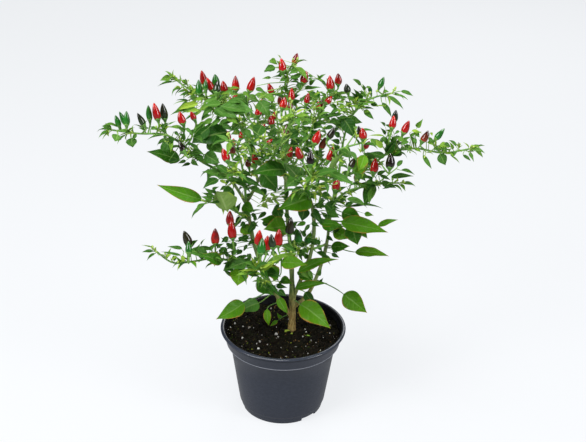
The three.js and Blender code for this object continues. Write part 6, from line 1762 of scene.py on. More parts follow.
def chilli_material(look, foot, middle, tip, patch, patch_share, tint):
    """Glossy chilli skin: colour from foot to tip, patches of an unripe colour, and fine streaks."""
    material, n = new_material(look + "_chilli_skin")
    grain = use(n, "grain", {"Scale": 210.0, "Stretch": 0.55, "Speck Share": 0.2})
    around, along, seed = n.place()
    base = n.mix(n.ramp(along, 0.0, 0.45), colour(*foot), colour(*middle))
    base = n.mix(n.ramp(along, 0.5, 1.0), base, colour(*tip))
    base = n.mix(n.times(seed, 0.5), base, n.tinted(base, tint))
    blotch = n.plus(n.noise(130.0, 2.0, 0.5), n.times(along, 0.24))
    blotch = n.plus(blotch, n.times(n.minus(around, 0.5), 0.22))
    base = n.mix(n.times(n.ramp(blotch, 0.55, 0.76), patch_share), base, colour(*patch))
    streaks = n.noise(900.0, 3.0, 0.6)
    base = n.mix(n.ramp(streaks, 0.45, 0.7, 0.0, 0.12), base, n.tinted(base, (1.5, 1.25, 1.2, 1.0)))
    roughness = n.ramp(grain["Patches"], 0.0, 1.0, 0.1, 0.18)
    return surfaced(material, n, base, roughness, bump(n, grain["Height"], 0.1, 0.0006), 0.85)


def pot_material(name, dark, light):
    """Moulded satin plastic: faint turned marks, dust at the foot, a painted highlight along the step and
    painted shade under the lip.
    """
    material, n = new_material(name)
    grain = use(n, "grain", {"Scale": 260.0, "Stretch": 2.4, "Speck Share": 0.0})
    dust = use(n, "grain", {"Scale": 900.0, "Stretch": 1.0, "Speck Share": 0.25})
    z = n.height()
    base = n.mix(grain["Patches"], dark, light)
    worn = n.ramp(n.add("NewGeometry").outputs["Pointiness"], 0.54, 0.64)
    base = n.mix(n.times(worn, 0.2), base, colour(120, 126, 142))
    low = n.ramp(z, 0.02, 0.0, 0.0, 0.3)
    base = n.mix(n.times(dust["Specks"], low), base, colour(150, 146, 140))
    # A pale line along the collar's step: a painted highlight where the rounded edge catches the light
    step = n.math("ABSOLUTE", n.minus(z, (POT_HEIGHT - COLLAR_HEIGHT + 0.8) * METRE))
    base = n.mix(n.ramp(step, 0.0007, 0.0002, 0.0, 0.55), base, colour(170, 174, 184))
    # A dark band just under the lip: painted shade where the lip overhangs
    under_lip_shade = n.math("ABSOLUTE", n.minus(z, (POT_HEIGHT - LIP_THICKNESS - 0.4) * METRE))
    base = n.mix(n.ramp(under_lip_shade, 0.0012, 0.0003, 0.0, 0.75), base, colour(18, 19, 22))
    rings = n.math("SINE", n.times(z, 2600.0))
    relief = n.plus(n.times(rings, 0.04), dust["Height"])
    roughness = n.ramp(grain["Patches"], 0.0, 1.0, 0.2, 0.24)
    return surfaced(material, n, base, roughness, bump(n, relief, 0.05, 0.0002))


def soil_material():
    """Damp potting soil: near-black peat with brown fibres and a thin green film of algae."""
    material, n = new_material("potting_soil")
    grain = use(n, "grain", {"Scale": 420.0, "Stretch": 1.0, "Speck Share": 0.6})
    base = n.mix(grain["Patches"], colour(5, 4, 3), colour(22, 17, 11))
    algae = n.times(n.ramp(n.noise(55.0, 3.0, 0.6), 0.45, 0.62), 0.5)
    base = n.mix(algae, base, colour(14, 24, 5))
    base = n.mix(n.times(grain["Specks"], 0.35), base, colour(66, 50, 30))
    roughness = n.ramp(grain["Patches"], 0.0, 1.0, 0.75, 0.95)
    return surfaced(material, n, base, roughness, bump(n, grain["Height"], 0.9, 0.0012), 0.1)


def crumb_material(name, dark, light, spots, rough):
    """Loose bits on the soil, each in its own shade between dark and light."""
    material, n = new_material(name)
    grain = use(n, "grain", {"Scale": 1400.0, "Stretch": 1.0, "Speck Share": 0.5})
    base = n.mix(n.place()[2], dark, light)
    base = n.mix(n.times(grain["Patches"], 0.4), base, spots)
    roughness = n.ramp(grain["Patches"], 0.0, 1.0, rough, min(rough + 0.15, 1.0))
    return surfaced(material, n, base, roughness, bump(n, grain["Height"], 0.8, 0.0006), 0.12)


LEAF_TOP = leaf_material(
    "leaf_upper_face", LEAF_TOP_COLOURS, colour(170, 208, 112), 0.34, LEAF_LIGHTS, 0.18, 0.32, 0.95
)
LEAF_UNDER = leaf_material(
    "leaf_under_face", LEAF_UNDER_COLOURS, colour(196, 214, 146), 0.42, LEAF_LIGHTS, 0.08, 0.6, 0.7
)
STEM = stem_material()
BARK = bark_material()
# Each look of a chilli: display colours of foot, middle, tip and patches, the patches' share, and a tint
SKIN_COLOURS = {
    "red": ((188, 10, 7), (170, 4, 7), (204, 32, 16), (88, 4, 8), 0.42, (0.72, 0.5, 0.6, 1.0)),
    "mottled": ((214, 40, 12), (184, 14, 12), (150, 24, 24), (46, 20, 20), 0.7, (0.7, 0.6, 0.7, 1.0)),
    "dark": ((26, 18, 7), (18, 6, 4), (22, 8, 10), (42, 44, 14), 0.55, (0.9, 0.6, 0.8, 1.0)),
    "green": ((48, 132, 24), (30, 108, 24), (62, 126, 44), (24, 60, 24), 0.45, (0.6, 0.7, 0.6, 1.0)),
    "turning": ((40, 78, 24), (40, 58, 30), (36, 40, 30), (22, 24, 16), 0.62, colour(16, 24, 14)),
    "brown": ((166, 40, 10), (98, 34, 14), (62, 24, 16), (36, 16, 14), 0.6, colour(40, 10, 6)),
}
FRUIT_SKINS = {look: chilli_material(look, *skin) for look, skin in SKIN_COLOURS.items()}
# The slots of chillies by ripeness or look, and the slot of all others
SKIN_SLOTS = {"red": "chilli_red", "green": "foliage"}
OTHER_SLOT = "chilli_mottled"
POT = pot_material("pot_plastic", colour(48, 53, 64), colour(52, 57, 69))
# The inside wall's near-black plastic: partly soil stain, partly painted shade of the pot's hollow
POT_INSIDE_STAIN_AND_SHADE = pot_material("pot_inside_stain_and_shade", colour(14, 15, 17), colour(24, 25, 28))
SOIL = soil_material()
PERLITE = crumb_material("perlite", colour(112, 106, 98), colour(240, 240, 236), colour(96, 90, 80), 0.7)
PEAT = crumb_material("peat_crumbs", colour(2, 2, 1), colour(34, 28, 18), colour(12, 20, 5), 0.7)
CHIPS = crumb_material("bark_chips", colour(30, 20, 11), colour(128, 98, 58), colour(22, 15, 9), 0.7)
SCRAPS = crumb_material("moss_and_scraps", colour(30, 62, 12), colour(150, 158, 52), colour(24, 52, 12), 0.6)


def inner_radius(z):
    """The pot's inner radius at a height below its collar."""
    collar_foot = POT_HEIGHT - COLLAR_HEIGHT
    return BODY_TOP_RADIUS - POT_WALL - (collar_foot - z) * (BODY_TOP_RADIUS - FOOT_RADIUS) / collar_foot


def arc(centre, radii, first, last, count):
    """Points of a section on an oval arc, from one angle in degrees to another."""
    angles = np.radians(np.linspace(first, last, count))
    return [(centre[0] + radii[0] * math.cos(a), centre[1] + radii[1] * math.sin(a)) for a in angles]


POT_SIDES = 176


def turned_body(name, section, sides):
    """A closed section turned about the pot's axis. The section starts and ends on the axis."""
    inner = section[1:-1]
    points = []
    for r, z in inner:
        for angle in round_angles(sides):
            points.append((r * math.cos(angle) * METRE, r * math.sin(angle) * METRE, z * METRE))
    points.extend([(0, 0, section[0][1] * METRE), (0, 0, section[-1][1] * METRE)])
    return meshed(name, points, turned_faces(len(inner), sides))


DRAIN_SIDES = 24
CUT_MARGIN = 1  # how far a notch's cutter reaches under the pot


def cutter_blocks():
    """The notches in the foot and the drain holes, as one mesh to cut with."""
    points, faces = [], []

    def prism(outline, low, high):
        """Adds a block of an outline between two heights."""
        start, count = len(points), len(outline)
        points.extend((x * METRE, y * METRE, z * METRE) for z in (low, high) for x, y in outline)
        faces.append([start + k for k in reversed(range(count))])
        faces.append([start + count + k for k in range(count)])
        for k in range(count):
            a, b = start + k, start + (k + 1) % count
            faces.append([a, b, b + count, a + count])

    inside, outside = FOOT_RADIUS - 5, BODY_TOP_RADIUS
    for n in range(NOTCH_COUNT):
        middle = NOTCH_FIRST + 360 / NOTCH_COUNT * n
        outline = []
        for r, side in ((inside, -1), (outside, -1), (outside, 1), (inside, 1)):
            angle = math.radians(middle + side * NOTCH_ANGLE / 2)
            outline.append((r * math.cos(angle), r * math.sin(angle)))
        prism(outline, -CUT_MARGIN, NOTCH_HEIGHT)
    for n in range(DRAIN_COUNT):
        angle = 2 * math.pi * (n + 0.5) / DRAIN_COUNT
        x, y = DRAIN_CIRCLE * math.cos(angle), DRAIN_CIRCLE * math.sin(angle)
        last = 360 - 360 // DRAIN_SIDES
        prism(arc((x, y), (DRAIN_RADIUS, DRAIN_RADIUS), 0, last, DRAIN_SIDES), -3, 5)
    return meshed("cutter", points, faces)


def apply_modifiers(piece):
    """Makes a piece's modifiers part of its mesh."""
    made = bpy.data.meshes.new_from_object(piece.evaluated_get(bpy.context.evaluated_depsgraph_get()))
    piece.modifiers.clear()
    piece.data = made


def make_pot():
    """The moulded pot: a rolled lip, a flared collar over a small step, and an inset foot with notches."""
    collar_foot = POT_HEIGHT - COLLAR_HEIGHT
    ledge = collar_foot + POT_WALL
    half = (LIP_WIDTH / 2, LIP_THICKNESS / 2)
    section = [
        (0, 0.4), (FOOT_RADIUS - 6, 0.4), (FOOT_RADIUS - 5, 0), (FOOT_RADIUS - 1, 0),
        (FOOT_RADIUS - 0.1, 0.35), (FOOT_RADIUS + 0.35, 1.1),
        (BODY_FOOT_RADIUS - FOOT_INSET - 0.4, FOOT_HEIGHT - 1.6),
        (BODY_FOOT_RADIUS - FOOT_INSET, FOOT_HEIGHT - 0.2), (BODY_FOOT_RADIUS - 0.2, FOOT_HEIGHT + 0.3),
        (BODY_FOOT_RADIUS, FOOT_HEIGHT + 0.9),
    ]
    for share in (0.33, 0.66):
        radius = BODY_FOOT_RADIUS + (BODY_TOP_RADIUS - BODY_FOOT_RADIUS) * share
        section.append((radius, FOOT_HEIGHT + (collar_foot - FOOT_HEIGHT) * share))
    section += [
        (BODY_TOP_RADIUS, collar_foot - 0.9), (BODY_TOP_RADIUS + 0.5, collar_foot - 0.4),
        (COLLAR_FOOT_RADIUS - 0.5, collar_foot - 0.1), (COLLAR_FOOT_RADIUS + 0.1, collar_foot + 0.15),
        (COLLAR_FOOT_RADIUS + 0.45, collar_foot + 0.55), (COLLAR_FOOT_RADIUS + 0.4, collar_foot + 1.0),
        (COLLAR_FOOT_RADIUS + 0.25, collar_foot + 1.35),
    ]
    flare = (COLLAR_TOP_RADIUS - COLLAR_FOOT_RADIUS, POT_HEIGHT - LIP_THICKNESS - 0.6 - collar_foot - 1.35)
    for share in (0.25, 0.5, 0.75, 1):
        radius = COLLAR_FOOT_RADIUS + 0.25 + flare[0] * share**1.1
        section.append((radius, collar_foot + 1.35 + flare[1] * share))
    section += arc((LIP_RADIUS - half[0], POT_HEIGHT - half[1]), half, -72, 185, 22)
    for share in (0.2, 0.5, 0.8):
        radius = LIP_RADIUS - LIP_WIDTH + (COLLAR_FOOT_RADIUS - POT_WALL - LIP_RADIUS + LIP_WIDTH) * share
        section.append((radius, POT_HEIGHT - half[1] + (ledge - POT_HEIGHT + half[1]) * share))
    section += [
        (COLLAR_FOOT_RADIUS - POT_WALL, ledge), (inner_radius(collar_foot), ledge),
        (inner_radius(POT_FLOOR + FLOOR_FILLET), POT_FLOOR + FLOOR_FILLET),
        (inner_radius(POT_FLOOR) - 1, POT_FLOOR + 0.8),
        (inner_radius(POT_FLOOR) - FLOOR_FILLET, POT_FLOOR), (0, POT_FLOOR),
    ]
    pot = turned_body("nursery_pot", section, POT_SIDES)
    cutter = cutter_blocks()
    cut = pot.modifiers.new("cut", "BOOLEAN")
    cut.operation, cut.solver, cut.object = "DIFFERENCE", "EXACT", cutter
    apply_modifiers(pot)
    bpy.data.objects.remove(cutter)
    soften = pot.modifiers.new("soften", "BEVEL")
    soften.width, soften.segments, soften.limit_method = 0.25 * METRE, 2, "ANGLE"
    soften.angle_limit = math.radians(55)
    apply_modifiers(pot)
    pot.data.shade_smooth()
    pot.data.set_sharp_from_angle(angle=math.radians(40))
    pot.data.materials.clear()
    pot.data.materials.append(POT)
    pot.data.materials.append(POT_INSIDE_STAIN_AND_SHADE)
    # Inward faces above the floor take the near-black inside finish: soil stain and painted shade
    for face in pot.data.polygons:
        inward = face.normal.dot(face.center.xy.to_3d()) < -0.3 * face.center.xy.length
        face.material_index = int(inward and face.center.z > POT_FLOOR * METRE)
    dressed(pot, "pot", ["pot"])


def soil_height(x, y):
    """The soil's surface: long lumps, as the solid has, with clods on them, and a dip along the wall."""
    lump = math.sin(x * 0.31 + 1.3) * math.cos(y * 0.27) + 0.6 * math.sin(x * 0.13 - y * 0.23)
    clods = noise.fractal((x * 0.16, y * 0.16, 3.1), 0.9, 2.2, 5)
    fine = noise.noise((x * 0.9, y * 0.9, 7.7))
    wall = max(0.0, (math.hypot(x, y) - 55) / 8)
    return SOIL_TOP + SOIL_LUMP * lump + 1.1 * clods + 0.5 * fine - 0.8 * wall**2


SOIL_TURNS = 74  # on the soil's top
SOIL_SIDES = 230


def make_soil():
    """The body of the soil, from the pot's floor to its clodded top."""
    collar_foot = POT_HEIGHT - COLLAR_HEIGHT
    ledge = collar_foot + POT_WALL + SEAT
    points = []

    def turn(radius, height):
        """Adds a turn of corners at one height, or at the height that a function gives."""
        for angle in round_angles(SOIL_SIDES):
            x, y = radius * math.cos(angle), radius * math.sin(angle)
            points.append(np.array([x, y, height(x, y) if callable(height) else height]))

    turn(inner_radius(POT_FLOOR) - FLOOR_FILLET - 1, POT_FLOOR + SEAT)
    turn(inner_radius(POT_FLOOR + 6) - SEAT, POT_FLOOR + 6)
    turn(inner_radius(collar_foot) - SEAT, ledge)
    turn(COLLAR_FOOT_RADIUS - POT_WALL - SEAT, ledge)
    for k in range(SOIL_TURNS, 0, -1):
        turn(SOIL_EDGE_RADIUS * k / SOIL_TURNS, soil_height)
    turns = len(points) // SOIL_SIDES
    points.append(np.array([0, 0, POT_FLOOR + SEAT]))
    points.append(np.array([0, 0, soil_height(0, 0)]))
    soil = Shells()
    soil.add(points, turned_faces(turns, SOIL_SIDES), [(0, 0, 0)] * len(points))
    soil.piece("soil_bed", [SOIL], "soil", ["soil"])


def add_crumb(shells, at, size, flatness, rng, rough, long=1.0):
    """An irregular lump: a small ball pushed in and out, stretched, flattened, turned and set at a point."""
    turn = np.array(Euler([rng.uniform(0, 2 * math.pi) for _ in range(3)]).to_matrix())
    squash = np.array([long, 1.0, flatness])
    points = []
    for direction in CRUMB_POINTS:
        points.append(at + turn @ (direction * squash) * size * (1 + rng.uniform(-rough, rough)))
    shells.add(points, CRUMB_FACES, [(0, 0, rng.random())] * len(points))


def ball_points():
    """The corners and faces of a small ball of triangles."""
    made = bmesh.new()
    bmesh.ops.create_icosphere(made, subdivisions=1, radius=0.5)
    made.verts.ensure_lookup_table()
    points = [np.array(v.co) for v in made.verts]
    faces = [tuple(v.index for v in f.verts) for f in made.faces]
    made.free()
    return points, faces


CRUMB_POINTS, CRUMB_FACES = ball_points()


CLEAR_OF_TRUNK = 6.5
LITTER_RADIUS = SOIL_EDGE_RADIUS - 0.8


def scatter(rng, count):
    """Points on the soil clear of the trunk's foot."""
    base = STEMS["trunk"].points[0]
    made = []
    while len(made) < count:
        r, angle = LITTER_RADIUS * math.sqrt(rng.random()), rng.uniform(0, 2 * math.pi)
        x, y = r * math.cos(angle), r * math.sin(angle)
        if math.hypot(x - base[0], y - base[1]) > CLEAR_OF_TRUNK:
            made.append(np.array([x, y, soil_height(x, y)]))
    return made


# Scraps on the soil where the picture shows them: column, row, length and width in mm, turn in degrees, tone
SCRAP_LEAVES = [(287.5, 332, 8, 4.5, 15, 0.0), (308, 337, 8, 3.2, -25, 0.2), (292, 334.5, 4, 2.4, 60, 0.0)]
# The larger perlite grains where the picture shows them: column, row and size in mm
PERLITE_GRAINS = [
    (276, 335, 3.6), (278, 337.5, 2.4), (235, 324, 2.2), (243, 327, 2), (249.5, 328.5, 3), (262, 336, 2),
    (271, 309, 2.4), (242.5, 338.5, 2.4), (260, 342, 2.4), (258.5, 349, 2.4), (267.5, 345, 1.8),
    (305, 330, 2.6), (306, 332.5, 2), (311, 341, 2), (330, 326, 2.2), (303, 337, 1.8), (286.5, 357, 1.8),
    (316, 343, 1.4), (253, 353, 1.4), (270, 355, 1.3), (296, 347, 1.3), (323, 336, 1.2), (228.5, 330, 1.4),
    (281, 348, 1.5),
]


SOIL_LOOKS = 12  # each look comes nearer to the point of the surface


def on_soil(column, row):
    """The point of the soil's surface that the picture shows at a column and row."""
    y = 0.0
    for _ in range(SOIL_LOOKS):
        p = seen(column, row, y)
        y += (soil_height(p[0], p[1]) - p[2]) / math.tan(PITCH) * -0.8
    return seen(column, row, y)


PEAT_COUNT = 1900
CHIP_COUNT = 260
SMALL_PERLITE_COUNT = 80
MOSS_COUNT = 190


def make_litter():
    """What lies loose on the soil: peat crumbs, bark chips, perlite, moss and leaf scraps."""
    rng = random.Random(11)
    peat, chips, perlite, moss = Shells(), Shells(), Shells(), Shells()
    for at in scatter(rng, PEAT_COUNT):
        at = at + UP * rng.uniform(-0.2, 0.5)
        add_crumb(peat, at, rng.uniform(1.0, 4.0), rng.uniform(0.4, 0.9), rng, 0.4)
    for at in scatter(rng, CHIP_COUNT):
        long = rng.uniform(1.6, 3.6)
        add_crumb(chips, at + UP * rng.uniform(0.1, 0.6), rng.uniform(0.6, 1.3), 0.45, rng, 0.3, long)
    for column, row, size in PERLITE_GRAINS:
        add_crumb(perlite, on_soil(column, row) + UP * size * 0.3, size * 1.15, 0.85, rng, 0.22)
    for at in scatter(rng, SMALL_PERLITE_COUNT):
        size = 0.5 + 1.5 * rng.random() ** 2
        add_crumb(perlite, at + UP * size * 0.3, size, 0.85, rng, 0.25)
    for at in scatter(rng, MOSS_COUNT):
        at = at + UP * rng.uniform(0.1, 0.5)
        add_crumb(moss, at, rng.uniform(0.5, 1.5), 0.5, rng, 0.35, rng.uniform(1, 2))
    peat.piece("peat_crumbs", [PEAT], "soil")
    chips.piece("bark_chips", [CHIPS], "soil")
    perlite.piece("perlite_grains", [PERLITE], "soil")
    moss.piece("moss_flecks", [SCRAPS], "soil")
    fallen = Shells()
    for column, row, length, width, turn, tone in SCRAP_LEAVES:
        at = on_soil(column, row) + UP * 1.2
        heading = np.array([math.cos(math.radians(turn)), math.sin(math.radians(turn)), 0.1])
        leaf = Leaf(None, at, at - heading * length / 2, at + heading * length / 2, width, UP, tone=tone)
        add_blade(fallen, leaf, rng)
    fallen.piece("fallen_leaf_scraps", [LEAF_TOP, LEAF_UNDER], "foliage")


def stem_points(stem, start, step):
    """Points along a stem's smooth line, about a step apart."""
    path = STEMS[stem]
    count = max(2, round((path.length - start) / step))
    return [path.smooth(start + (path.length - start) * i / count) for i in range(count + 1)]


def on_smooth(stem, root):
    """The point of the smooth stem beside a root on its straight pieces."""
    path = STEMS[stem]
    halves = range(int(path.length * 2) + 1)
    best = min(halves, key=lambda i: math.dist(path.along(i / 2 + 1e-6)[0], root))
    return path.smooth(best / 2)


WOOD_TONE = 0.6


def add_main_stem(shells, stem, rng):
    """A main stem with the small swellings of its joints and old leaf scars."""
    points = stem_points(stem, 0, 3.0)
    first, last = MAIN_STEMS[stem]["radii"]
    joints = [rng.uniform(0.08, 0.95) for _ in range(len(points) // 6)]
    radii = []
    for i in range(len(points)):
        t = i / (len(points) - 1)
        swell = sum(math.exp(-(((t - j) * len(points) / 1.6) ** 2)) for j in joints)
        radii.append((first + (last - first) * t) * (1 + 0.13 * min(swell, 1.2) + rng.uniform(-0.03, 0.03)))
    add_tube(shells, points, radii, 16, rng.random(), WOOD_TONE, 0.035)


# The trunk's foot: heights from the soil's top, with radii beside the trunk's own
TRUNK_FOOT = [(-TRUNK_ROOT_DEPTH, 0.9), (-8, 0.96), (-2, 1.08), (1, 1.06), (4, 0.98), (9, 0.95)]
# The first stretch of each leafy stem: distances along it and radii there
STUB_RADII = {0: 1.75, 3: 1.55, 6: 1.42, STUB: 1.36}


def make_trunk():
    """The trunk and its main stems, and the first stretch of each leafy stem."""
    rng = random.Random(5)
    shells = Shells()
    base = STEMS["trunk"].points[0]
    foot = [np.array([base[0], base[1], SOIL_TOP + rise]) for rise, _ in TRUNK_FOOT]
    foot.append(base + UP * 5)
    radii = [TRUNK_FOOT_RADIUS * size for _, size in TRUNK_FOOT] + [MAIN_STEMS["trunk"]["radii"][0]]
    add_tube(shells, foot, radii, 20, 0.5, WOOD_TONE, 0.05)
    for stem in MAIN_STEMS:
        add_main_stem(shells, stem, rng)
    for stem in LEAFY_STEMS:
        points = [STEMS[stem].smooth(s) for s in STUB_RADII]
        add_tube(shells, points, list(STUB_RADII.values()), 10, rng.random(), WOOD_TONE)
    shells.piece("trunk_wood", [BARK], "bark", ["trunk"])


# The tones of the large leaves that the picture shows plainly, by the column and row of their tips
SEEN_TONES = {
    (148, 150.6): 0.7, (173, 150): 0.55, (160, 80.4): 0.3, (192, 142.6): 0.63, (254, 111): 0.45,
    (249, 106): 0.44, (238, 118): 0.44, (269.5, 116.6): 0.46, (355, 138.4): 0.6, (388, 156): 0.66,
    (445.6, 165.4): 0.52, (413.3, 175.9): 0.5, (364.4, 206.3): 0.68, (356, 185.8): 0.5, (340, 170): 0.5,
    (343.5, 153): 0.14, (367, 156): 0.92, (157, 184.8): 0.84, (217, 190.4): 0.06, (237.2, 286): 0.98,
    (186, 251): 0.5, (200, 255): 0.72, (297, 251): 0.28, (244, 262): 0.4, (236, 275): 0.26, (306, 264): 0.9,
    (280.5, 222): 0.64, (264, 229): 0.94, (216.2, 319): 0.86, (239.5, 311.8): 0.5, (269, 326): 0.95,
    (274, 295): 0.68, (278.6, 208.6): 0.84, (302, 221.4): 0.62, (336.3, 258.1): 0.84, (326.8, 282.6): 0.88,
    (330.4, 328.4): 0.94, (316, 305.5): 0.58, (388, 232): 0.84, (362, 219): 0.78, (357.8, 244.8): 0.7,
    (397.8, 219.4): 0.86, (388.8, 255.4): 0.96, (366.8, 312.8): 0.96,
}


# How wide some of the broad leaves look beside their solids, and where the blades of two of them start
SEEN_SHARES = {
    (157, 184.8): 0.7, (148, 150.6): 0.66, (364.4, 206.3): 0.8, (388, 232): 0.86, (362, 219): 0.78,
    (357.8, 244.8): 1.15, (397.8, 219.4): 0.66, (388.8, 255.4): 0.7, (413.3, 175.9): 0.66,
    (396.5, 188): 0.7, (343.5, 153): 0.7, (356, 185.8): 0.55, (340, 170): 0.6, (355, 138.4): 0.84,
    (432, 169): 0.6, (471, 161): 0.6, (297, 251): 0.72, (236, 275): 0.5, (306, 264): 0.66,
    (336.3, 258.1): 0.74, (326.8, 282.6): 0.76, (220, 163): 0.8, (374, 119.3): 0.7, (262, 186): 0.7,
    (252, 173.4): 0.8,
}
SEEN_BASES = {(364.4, 206.3): (373, 181.5), (306, 264): (281, 262.6)}


def leaf_tone(leaf, rng):
    """A leaf's tone: as seen, or else old and bright on main stems, dark in the crown and young at tips."""
    if leaf.seen_tip in SEEN_TONES:
        return SEEN_TONES[leaf.seen_tip]
    if leaf.stem in MAIN_STEMS:
        return rng.uniform(0.74, 0.98)
    if leaf.stem.startswith("low"):
        return rng.uniform(0.5, 0.86)
    if leaf.broad and leaf.width > 16:
        return rng.uniform(0.55, 0.82)
    path = STEMS[leaf.stem]
    share = min(math.dist(leaf.root, path.points[0]) / path.length, 1.0)
    return rng.uniform(0.4, 0.62) - 0.16 * max(0.0, share - 0.7) / 0.3


def mark_leaf(leaf, rng):
    """Gives one of the solids' leaves its tone, seed and curl."""
    leaf.tone, leaf.seed = leaf_tone(leaf, rng), rng.random()
    leaf.curl = rng.uniform(0.0, 0.5)


BUD_LENGTH = 2.6


def new_buds(at, heading, spread, count, rng):
    """Places for buds at a growing tip: where each starts, its heading and its length."""
    made = []
    for _ in range(count):
        aside = np.array([rng.uniform(-1, 1), rng.uniform(-1, 1), rng.uniform(-0.2, 1)])
        made.append((at, unit(heading + aside * spread), BUD_LENGTH * rng.uniform(0.7, 1.2)))
    return made


def add_bud(shells, at, heading, size, rng):
    """A closed flower bud, or a tiny set fruit, on its own short stalk."""
    end = at + heading * (size * 1.6)
    stalk = bent(at, heading, end, unit(heading + UP * 0.4), 4)
    add_tube(shells, stalk, [0.3, 0.3, 0.32, 0.36], 5, 0.2, 0.1)
    axis = unit(heading + UP * 0.5)
    shares = (0.0, 0.18, 0.45, 0.7, 0.9, 1.0)
    points = [end + axis * (size * t) for t in shares]
    radii = [size * r for r in (0.18, 0.34, 0.4, 0.34, 0.18, 0.06)]
    add_tube(shells, points, radii, 8, rng.random(), rng.uniform(0.0, 0.12))


GOLDEN_ANGLE = 2.4


def rosette(stem, at, heading, leaf, rng, count):
    """The young leaves round a growing tip, shorter towards its middle."""
    side = unit(cross(heading, UP) if abs(heading[2]) < 0.9 else cross(heading, np.array([1.0, 0, 0])))
    over = cross(heading, side)
    made = []
    start = rng.uniform(0, 2 * math.pi)
    for i in range(count):
        angle = start + i * GOLDEN_ANGLE
        out = side * math.cos(angle) + over * math.sin(angle)
        share = (i + 1) / count
        length = leaf * (0.75 - 0.5 * share) * rng.uniform(0.85, 1.15)
        aim = unit(out * (1.15 - 0.7 * share) + heading * 0.9 + UP * rng.uniform(-0.25, 0.2))
        base = at + aim * (length * 0.16)
        face = unit(heading * 0.8 - out * 0.4 + UP * 1.1)
        tone = rng.uniform(0.1, 0.36) - 0.2 * share
        width = length * rng.uniform(0.28, 0.38)
        looks = {"tone": max(tone, 0.0), "curl": rng.uniform(0.1, 0.7)}
        made.append(Leaf(stem, at, base, base + aim * length, width, face, **looks))
    return made


def spray(stem, at, heading, reach, leaf, rng):
    """A side twig with leaves on alternate sides and a rosette at its tip: (twig's points, leaves, buds)."""
    droop = UP * rng.uniform(-0.15, 0.45)
    end = at + unit(heading + droop * 0.5) * reach
    twig = bent(at, heading, end, unit(heading + droop), 6)
    leaves = []
    joints = max(1, round(reach / 7))
    side = rng.choice((-1, 1))
    along = unit(twig[-1] - twig[0])
    flat = unit(cross(UP, along) + 1e-6)
    for i in range(1, joints + 1):
        t = i / (joints + 0.4)
        here = twig[round(t * (len(twig) - 1))]
        out = flat * side * rng.uniform(0.7, 1.2) + along * rng.uniform(0.3, 0.9)
        aim = unit(out + UP * rng.uniform(-0.4, 0.3))
        length = leaf * rng.uniform(0.45, 0.85)
        base = here + aim * (length * rng.uniform(0.12, 0.28))
        tip = base + aim * length - UP * (length * rng.uniform(0.0, 0.3))
        tilt = rng.uniform(-0.35, 0.45)
        face = np.array([rng.uniform(-0.4, 0.4), -math.sin(tilt), math.cos(tilt)])
        width = length * rng.uniform(0.28, 0.4)
        looks = {"tone": rng.uniform(0.3, 0.6), "curl": rng.uniform(0.0, 0.9)}
        looks["arch"] = rng.uniform(0.25, 0.7)
        leaves.append(Leaf(stem, here, base, tip, width, face, **looks))
        side = -side
    leaves.extend(rosette(stem, twig[-1], unit(twig[-1] - twig[-2]), leaf * 0.7, rng, rng.randint(3, 5)))
    return twig, leaves, new_buds(twig[-1], heading, 1.0, rng.randint(0, 2), rng)


# How far apart the side sprays of a leafy stem stand and their shortest and longest reach
SPRAYS = {
    "left_long": (7.5, 3, 8), "right_long": (7.5, 3, 8), "low_left": (9, 2, 5), "right_crown": (6, 3, 9),
    "left_crown": (6, 3, 9), "top": (6.5, 3, 7), "left_middle": (12, 2, 5), "right_middle": (8, 3, 6),
    "low_front": (7, 4, 9), "low_middle": (7, 4, 9), "front_left": (7, 3, 9), "inner_right": (8, 3, 8),
    "inner_left": (7, 3, 8),
}
CROWN_SPRAYS = (5, 9, 26)
TIP_SIZE = 0.85  # how large the leaves round a stem's tip are beside its others, and where they are smaller
TIP_SIZES = {
    "left_middle": 0.2, "right_middle": 0.3, "low_left": 0.4, "left_crown": 0.5, "right_long": 0.5,
    "inner_left": 0.5,
}
FIRST_SPRAY = 16.0


def extra_growth(stem, rng):
    """The side sprays that fill a leafy stem out, in turn round its line, and the rosette at its tip."""
    path, leaf = STEMS[stem], LEAFY_STEMS[stem]["leaf"]
    spacing, least, most = SPRAYS.get(stem, CROWN_SPRAYS)
    twigs, leaves, buds = [], [], []
    angle = rng.uniform(0, 2 * math.pi)
    s = FIRST_SPRAY
    while s < path.length - 3:
        heading = unit(path.smooth(min(s + 2, path.length)) - path.smooth(s - 2))
        at = path.smooth(s)
        side = unit(cross(heading, UP))
        over = cross(side, heading)
        angle += GOLDEN_ANGLE + rng.uniform(-0.4, 0.4)
        out = side * math.cos(angle) + over * math.sin(angle) * 0.7
        aim = unit(out + heading * rng.uniform(0.35, 0.9) + UP * rng.uniform(0.0, 0.3))
        share = s / path.length
        reach = rng.uniform(least, most) * (1.15 - 0.45 * share)
        twig, some, few = spray(stem, at, aim, reach, leaf, rng)
        twigs.append(twig)
        leaves.extend(some)
        buds.extend(few)
        s += spacing * rng.uniform(0.7, 1.3)
    tip = path.points[-1]
    heading = unit(tip - path.smooth(path.length - 4))
    leaves.extend(rosette(stem, tip, heading, leaf * TIP_SIZES.get(stem, TIP_SIZE), rng, 6))
    buds.extend(new_buds(tip, heading, 0.8, 3, rng))
    return twigs, leaves, buds


# Chillies that leaves cover in the picture
COVERED = {
    (235, 97.5), (246, 99), (262.7, 101.7), (318, 92), (370, 88), (356, 176), (320.3, 186.6), (254, 157.6),
    (276, 139), (192.6, 116.5), (182.4, 119.2), (224.2, 84.5), (235.5, 81.5),
}
